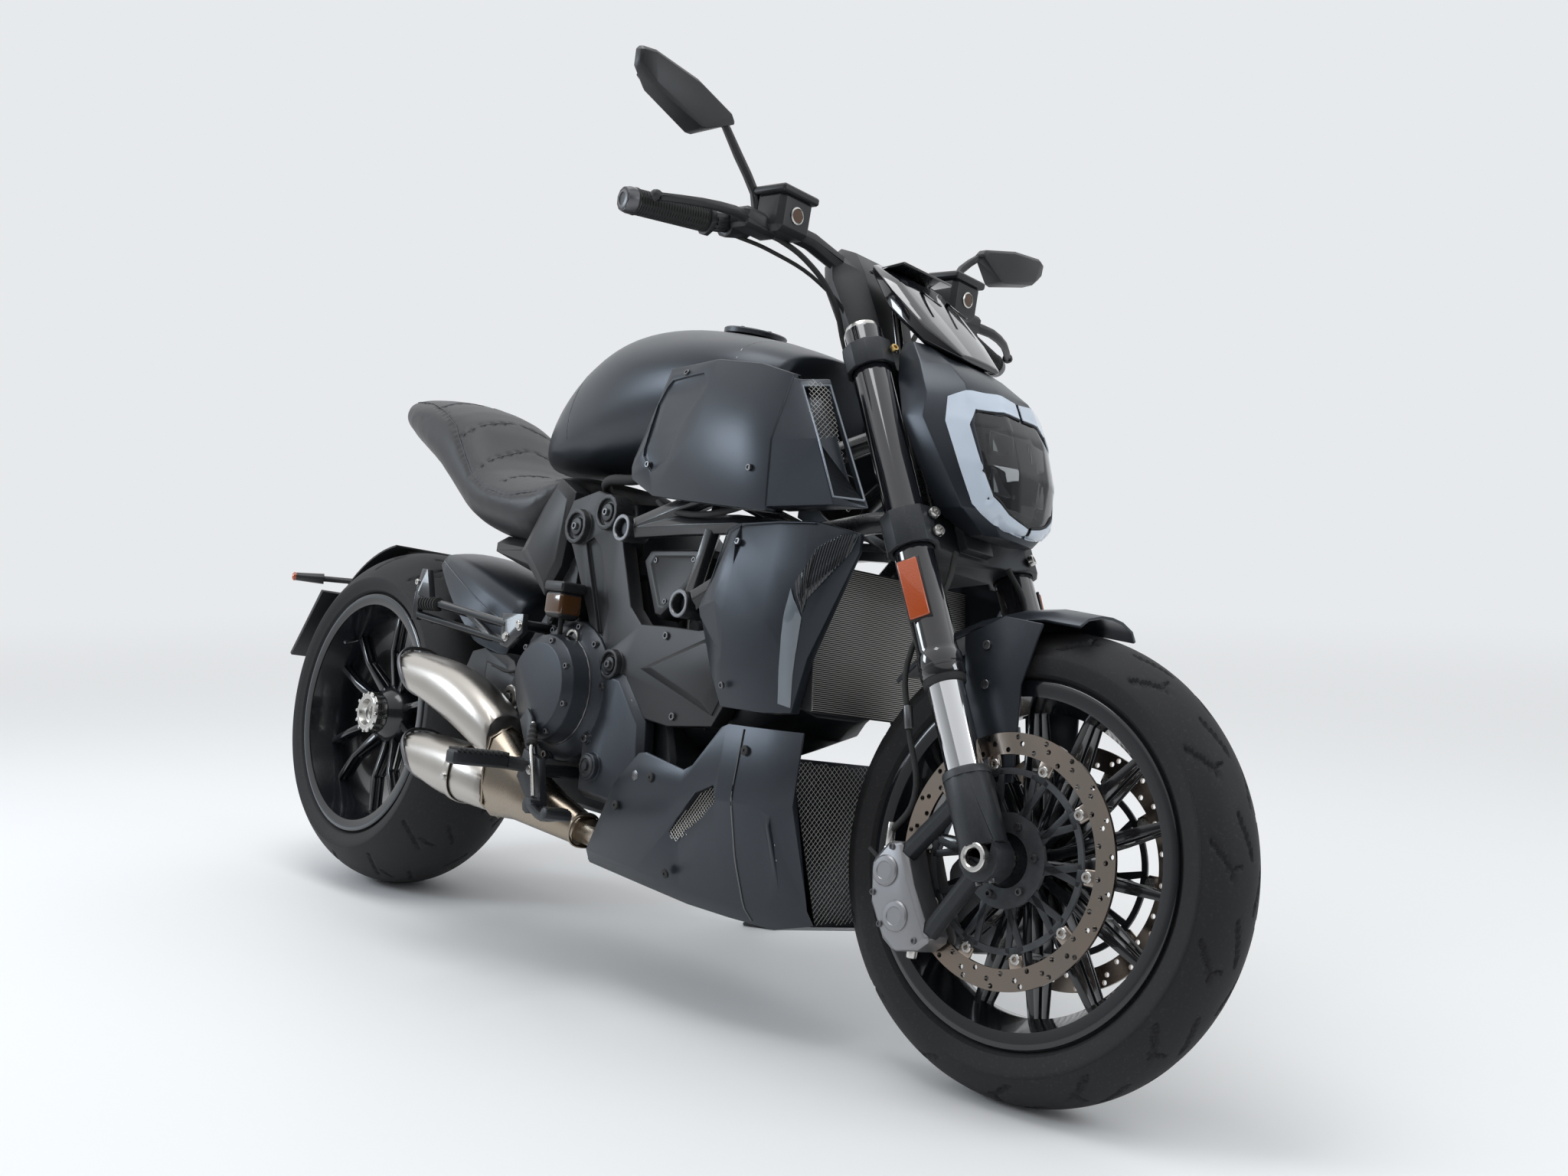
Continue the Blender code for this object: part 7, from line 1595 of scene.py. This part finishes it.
def make_exhaust_details():
    def band(name, mid, direction, half_wide, half_high, length, look, thick=0.0022):
        """An oval hoop round a can."""
        run = Vector(direction).normalized()
        up = Vector((0.0, 0.0, 1.0)) - run * run.z
        up.normalize()
        across = run.cross(up)
        nothing_selected()
        bpy.ops.mesh.primitive_cylinder_add(vertices=72, radius=1.0, depth=length, end_fill_type="NOTHING")
        hoop = bpy.context.object
        edit(hoop)

        def squared(value):
            return math.copysign(abs(value) ** 0.8, value)

        shape = bmesh.from_edit_mesh(hoop.data)
        for v in shape.verts:
            v.co.x, v.co.y = squared(v.co.x) * half_wide, squared(v.co.y) * half_high
        bmesh.update_edit_mesh(hoop.data)
        bpy.ops.object.mode_set(mode="OBJECT")
        changed(hoop, "SOLIDIFY", thickness=thick, offset=0.0)
        turn = axes(across, up, run, Vector(mid))
        placed(hoop, MACHINE @ turn)
        softened(hoop, thick * 0.3, 2, 40.0)
        hoop.name = name
        return shown(hoop, look, "chassis", slot="brushed_steel")

    # Dark rims and bright mouths at the rear ends
    band("upper_can_rim", (0.379, -0.205, 0.42), CAN_AXIS, 0.048, 0.05, 0.008, "dark_steel", 0.003)
    band("lower_can_rim", (0.432, -0.205, 0.284), CAN_AXIS, 0.048, 0.05, 0.008, "dark_steel", 0.003)
    band("upper_can_mouth", (0.3735, -0.205, 0.4158), CAN_AXIS, 0.04, 0.042, 0.006, "brushed_steel", 0.003)
    band("lower_can_mouth", (0.4265, -0.205, 0.2798), CAN_AXIS, 0.04, 0.042, 0.006, "brushed_steel", 0.003)
    for name, mid in (("upper", (0.3742, -0.205, 0.4164)), ("lower", (0.4272, -0.205, 0.2804))):
        place = MACHINE @ facing(mid, CAN_AXIS)
        shown(placed(spun(f"{name}_can_bore", [(0.0, 0.0), (0.036, 0.0), (0.038, -0.0012), (0.0, -0.0014)], 48),
            place), "screen_black", "chassis", slot="black_plastic")
        shown(placed(spun(f"{name}_can_outlet", [(0.015, 0.0), (0.0185, 0.0), (0.0185, -0.005), (0.0172, -0.0064),
            (0.015, -0.005)], 48), place), "brushed_steel", "chassis", slot="brushed_steel")
    band("lower_can_strap", (0.572, -0.2045, 0.269), (-1, 0, 0.08), 0.0482, 0.0478, 0.015, "brushed_steel", 0.0018)
    band("header_flange", (0.818, -0.1405, 0.2165), (-1, 0.3, 0.25), 0.0255, 0.0265, 0.012, "heat_tinted_steel",
        0.003)
    bolts("strap_screw", "bright_steel", "chassis", [((0.572, -0.253, 0.262), (0, -1, 0))], 0.006, 0.005, "hex")
    weld = [(0.6535, -0.153, 0.3), (0.6535, -0.156, 0.335), (0.6535, -0.192, 0.356), (0.6535, -0.228, 0.335),
        (0.6535, -0.234, 0.282), (0.6535, -0.228, 0.23), (0.6535, -0.192, 0.21), (0.6535, -0.158, 0.23)]
    fixed(hose("collector_weld", weld + weld[:1], 0.0022, 2, smooth=False), "heat_tinted_steel", "brushed_steel")
    bolts("hanger_screws", "bright_steel", "chassis", [((0.64, -0.196, 0.52), (0, -1, 0)),
        ((0.604, -0.196, 0.5), (0, -1, 0))], 0.006, 0.005, "hex")


CHAIN_PITCH = 0.015875


def make_chain():
    """Links laid along the run round both sprockets."""
    near_r, far_r, side = 0.114, 0.0433, 0.203
    ahead = Vector((0.64, 0.0, 0.41))
    run = ahead - REAR_AXLE
    length = run.length
    heading = math.atan2(run.z, run.x)
    spread = math.acos((near_r - far_r) / length)
    path = []

    def arc_points(centre, radius, start, end, count):
        for i in range(count + 1):
            a = start + (end - start) * i / count
            path.append(Vector((centre.x + radius * math.cos(a), side, centre.z + radius * math.sin(a))))

    arc_points(REAR_AXLE, near_r, heading + spread, heading + 2 * math.pi - spread, 90)
    arc_points(ahead, far_r, heading - spread, heading + spread, 40)
    path.append(path[0].copy())
    total = sum((b - a).length for a, b in zip(path, path[1:]))
    links = 2 * round(total / CHAIN_PITCH / 2)
    step = total / links
    spots, walked, goal = [], 0.0, 0.0
    for a, b in zip(path, path[1:]):
        size = (b - a).length
        while goal <= walked + size and len(spots) < links:
            spots.append(a.lerp(b, (goal - walked) / size))
            goal += step
        walked += size
    outer = plate_of("outer_link", [(-0.0118, 0.0), (-0.01, 0.0052), (-0.004, 0.0056), (0.0, 0.004),
        (0.004, 0.0056), (0.01, 0.0052), (0.0118, 0.0), (0.01, -0.0052), (0.004, -0.0056), (0.0, -0.004),
        (-0.004, -0.0056), (-0.01, -0.0052)], 0.0017, None, 0)
    pin = bar_of("pin", (0, -0.0098, 0), (0, 0.0098, 0), 0.0028, 8, bevel=0)
    roller = bar_of("roller", (0, -0.0055, 0), (0, 0.0055, 0), 0.005, 10, bevel=0)
    made = []
    for i, spot in enumerate(spots):
        following = spots[(i + 1) % links]
        mid, along = (spot + following) / 2, (following - spot).normalized()
        turn = axes(along, Vector((0, 1, 0)), along.cross(Vector((0, 1, 0))), mid)
        for y in ((-0.009, 0.0073) if i % 2 else (-0.0072, 0.0055)):
            made.append(copied(outer, turn @ Matrix.Translation((0, y, 0))))
        at_pin = Matrix.Translation(spot)
        made += [copied(pin, at_pin), copied(roller, at_pin)]
    gone(outer, pin, roller)
    chain = placed(joined(made, "chain_links"), MACHINE)
    shown(shaded(chain, 30.0), "chain_steel", "chassis", "drive_chain", slot="brushed_steel")


BOARD_NORMAL = (-0.8209, 0.0, 0.5711)
PEG_RIB = 0.0045
PEG_RIBS = [0.254 + 0.0095 * i for i in range(10)]


def make_rear_details():
    for name, side in SIDES:
        outward = Vector((0.0, side, 0.0))
        # Rider peg and pedal: rubber ribs, screws, and the pedal's rod with its boot
        ribs = [box_of("rib", (0.72, side * y, 0.3165), (0.754, side * (y + PEG_RIB), 0.3215), 0.0012, 1)
            for y in PEG_RIBS]
        ribs += [box_of("rib", (0.7195, side * y, 0.3), (0.7225, side * (y + PEG_RIB), 0.315), 0.001, 1)
            for y in PEG_RIBS]
        fixed(joined(ribs, f"peg_ribs_{name}"), "grip_rubber", "black_plastic")
        bolts(f"peg_screws_{name}", "bright_steel", "chassis", [((0.77, side * 0.224, 0.3), outward),
            ((0.795, side * 0.224, 0.246), outward)], 0.0062, 0.0048, "hex")
        pad = [box_of("pad", (0.8985 + 0.0045 * i, side * 0.244, 0.254), (0.9005 + 0.0045 * i, side * 0.28, 0.2575),
            0.0006, 1) for i in range(4)]
        fixed(joined(pad, f"pedal_ribs_{name}"), "grip_rubber", "black_plastic")
        rod_path = [Vector((0.8, side * 0.232, 0.262)), Vector((0.772, side * 0.2285, 0.33)),
            Vector((0.752, side * 0.218, 0.372))]
        fixed(hose(f"pedal_rod_{name}", rod_path, 0.0034, 2, smooth=False), "bright_steel", "brushed_steel")
        boot = spun(f"pedal_boot_{name}", [(0.0, 0.0)] + [(0.0085 - 0.0006 * i + (0.0016 if i % 2 else 0.0),
            0.0045 * i) for i in range(9)] + [(0.0, 0.036)], 20)
        turn = (rod_path[2] - rod_path[1]).to_track_quat("Y", "Z").to_matrix().to_4x4()
        turn.translation = rod_path[1].lerp(rod_path[2], 0.2)
        fixed(boot, "grip_rubber", "black_plastic", turn)
        # Passenger peg: rings of its grip and its screws
        grips = [bar_of("grip", (x, side * 0.204, 0.5405), (x + 0.003, side * 0.204, 0.5405), 0.0125, 14,
            bevel=0.0006) for x in (0.337 + 0.0085 * i for i in range(7))]
        fixed(joined(grips, f"passenger_grip_{name}"), "grip_rubber", "black_plastic")
        bolts(f"passenger_screws_{name}", "bright_steel", "chassis", [((0.636, side * 0.1962, 0.524), outward),
            ((0.325, side * 0.2125, 0.576), outward)], 0.0052, 0.0034)
        # Rear indicator
        fixed(spun(f"rear_indicator_{name}", [(0.0, 0.004), (0.0085, 0.004), (0.009, -0.001), (0.006, -0.004),
            (0.0, -0.0046)], 28), "orange_reflector", "lens", facing((-0.2842, side * 0.1495, 0.57),
            (-0.45, side * 0.85, 0.0)))
    # Reservoir: amber cup under a black lid
    fixed(box_of("rear_reservoir_cup", (0.701, -0.197, 0.544), (0.747, -0.155, 0.58), 0.006, 4), "brake_fluid",
        "lens")
    ribs = [bar_of("rib", (0.724, -0.176, 0.584 + 0.0042 * i), (0.724, -0.176, 0.586 + 0.0042 * i), 0.0225, 28,
        bevel=0.0004) for i in range(3)]
    fixed(joined(ribs, "rear_reservoir_lid_ribs"), "moulded_black", "black_plastic")
    # Plate board: its screws and the small lamp over it
    board = facing((-0.3005, 0.0, 0.48), BOARD_NORMAL)
    bolts("board_screws", "bright_steel", "chassis", [(board @ Vector((x, -0.004, z)), BOARD_NORMAL)
        for x in (-0.07, 0.07) for z in (-0.06, 0.06)], 0.005, 0.0022)
    fixed(box_of("tail_lamp", (-0.046, -0.006, -0.0075), (0.046, 0.006, 0.0075), 0.003, 3), "tail_lamp_red", "lens",
        facing((-0.23, 0.02, 0.579), (-0.86, 0.0, 0.5)))
    # Left side: the axle's nut, the sprocket's nuts and the chain guard
    shown(placed(spun("axle_nut_left", [(0.014, 0.004), (0.03, 0.004), (0.03, -0.002), (0.027, -0.006),
        (0.02, -0.0065), (0.014, -0.0045)], 8), MACHINE @ facing((0.0, 0.2145, 0.324), (0, 1, 0))), "bright_steel",
        "rear_wheel", slot="brushed_steel")
    bolts("sprocket_nuts", "bright_steel", "rear_wheel", [((0.042 * math.cos(a), 0.2062,
        0.324 + 0.042 * math.sin(a)), (0, 1, 0)) for a in (math.radians(72 * i) for i in range(5))], 0.006, 0.0055,
        "hex")
    sweep = [(0.1, 0.205, 0.458), (0.2, 0.205, 0.474), (0.32, 0.205, 0.482), (0.44, 0.205, 0.482)]
    fixed(hose("chain_guard", sweep, 0.007, 2), "moulded_black", "black_plastic")
    stays = [bar_of("stay", (x, 0.18, z - 0.018), (x, 0.203, z), 0.0045, 10) for x,
        z in ((0.13, 0.462), (0.4, 0.48))]
    fixed(joined(stays, "chain_guard_stays"), "moulded_black", "black_plastic")
    # The highlight ridge along the hugger
    # A lighter, glossy line along the hugger's ridge: a painted highlight
    skin = bpy.data.objects["rear_hugger_skin"]
    ridge = on_surface(skin, [MACHINE @ Vector(p) for p in ((0.205, -0.098, 0.628), (0.3, -0.116, 0.592),
        (0.4, -0.118, 0.548), (0.47, -0.1, 0.52))], 0.0002, 6)
    shown(hose("hugger_highlight_line", ridge, 0.0014, 2, smooth=False), "painted_highlight_gloss", "chassis", slot="satin_black")


place_camera()
studio()
finishes = make_finishes()
make_skins()
make_front_wheel()
make_rear_wheel()
make_fork()
make_lamp()
make_controls()
make_front_brake()
make_front_panels()
make_seat()
make_intakes()
make_radiator()
make_belly()
make_tank()
make_engine_details()
make_exhaust_details()
make_chain()
make_rear_details()
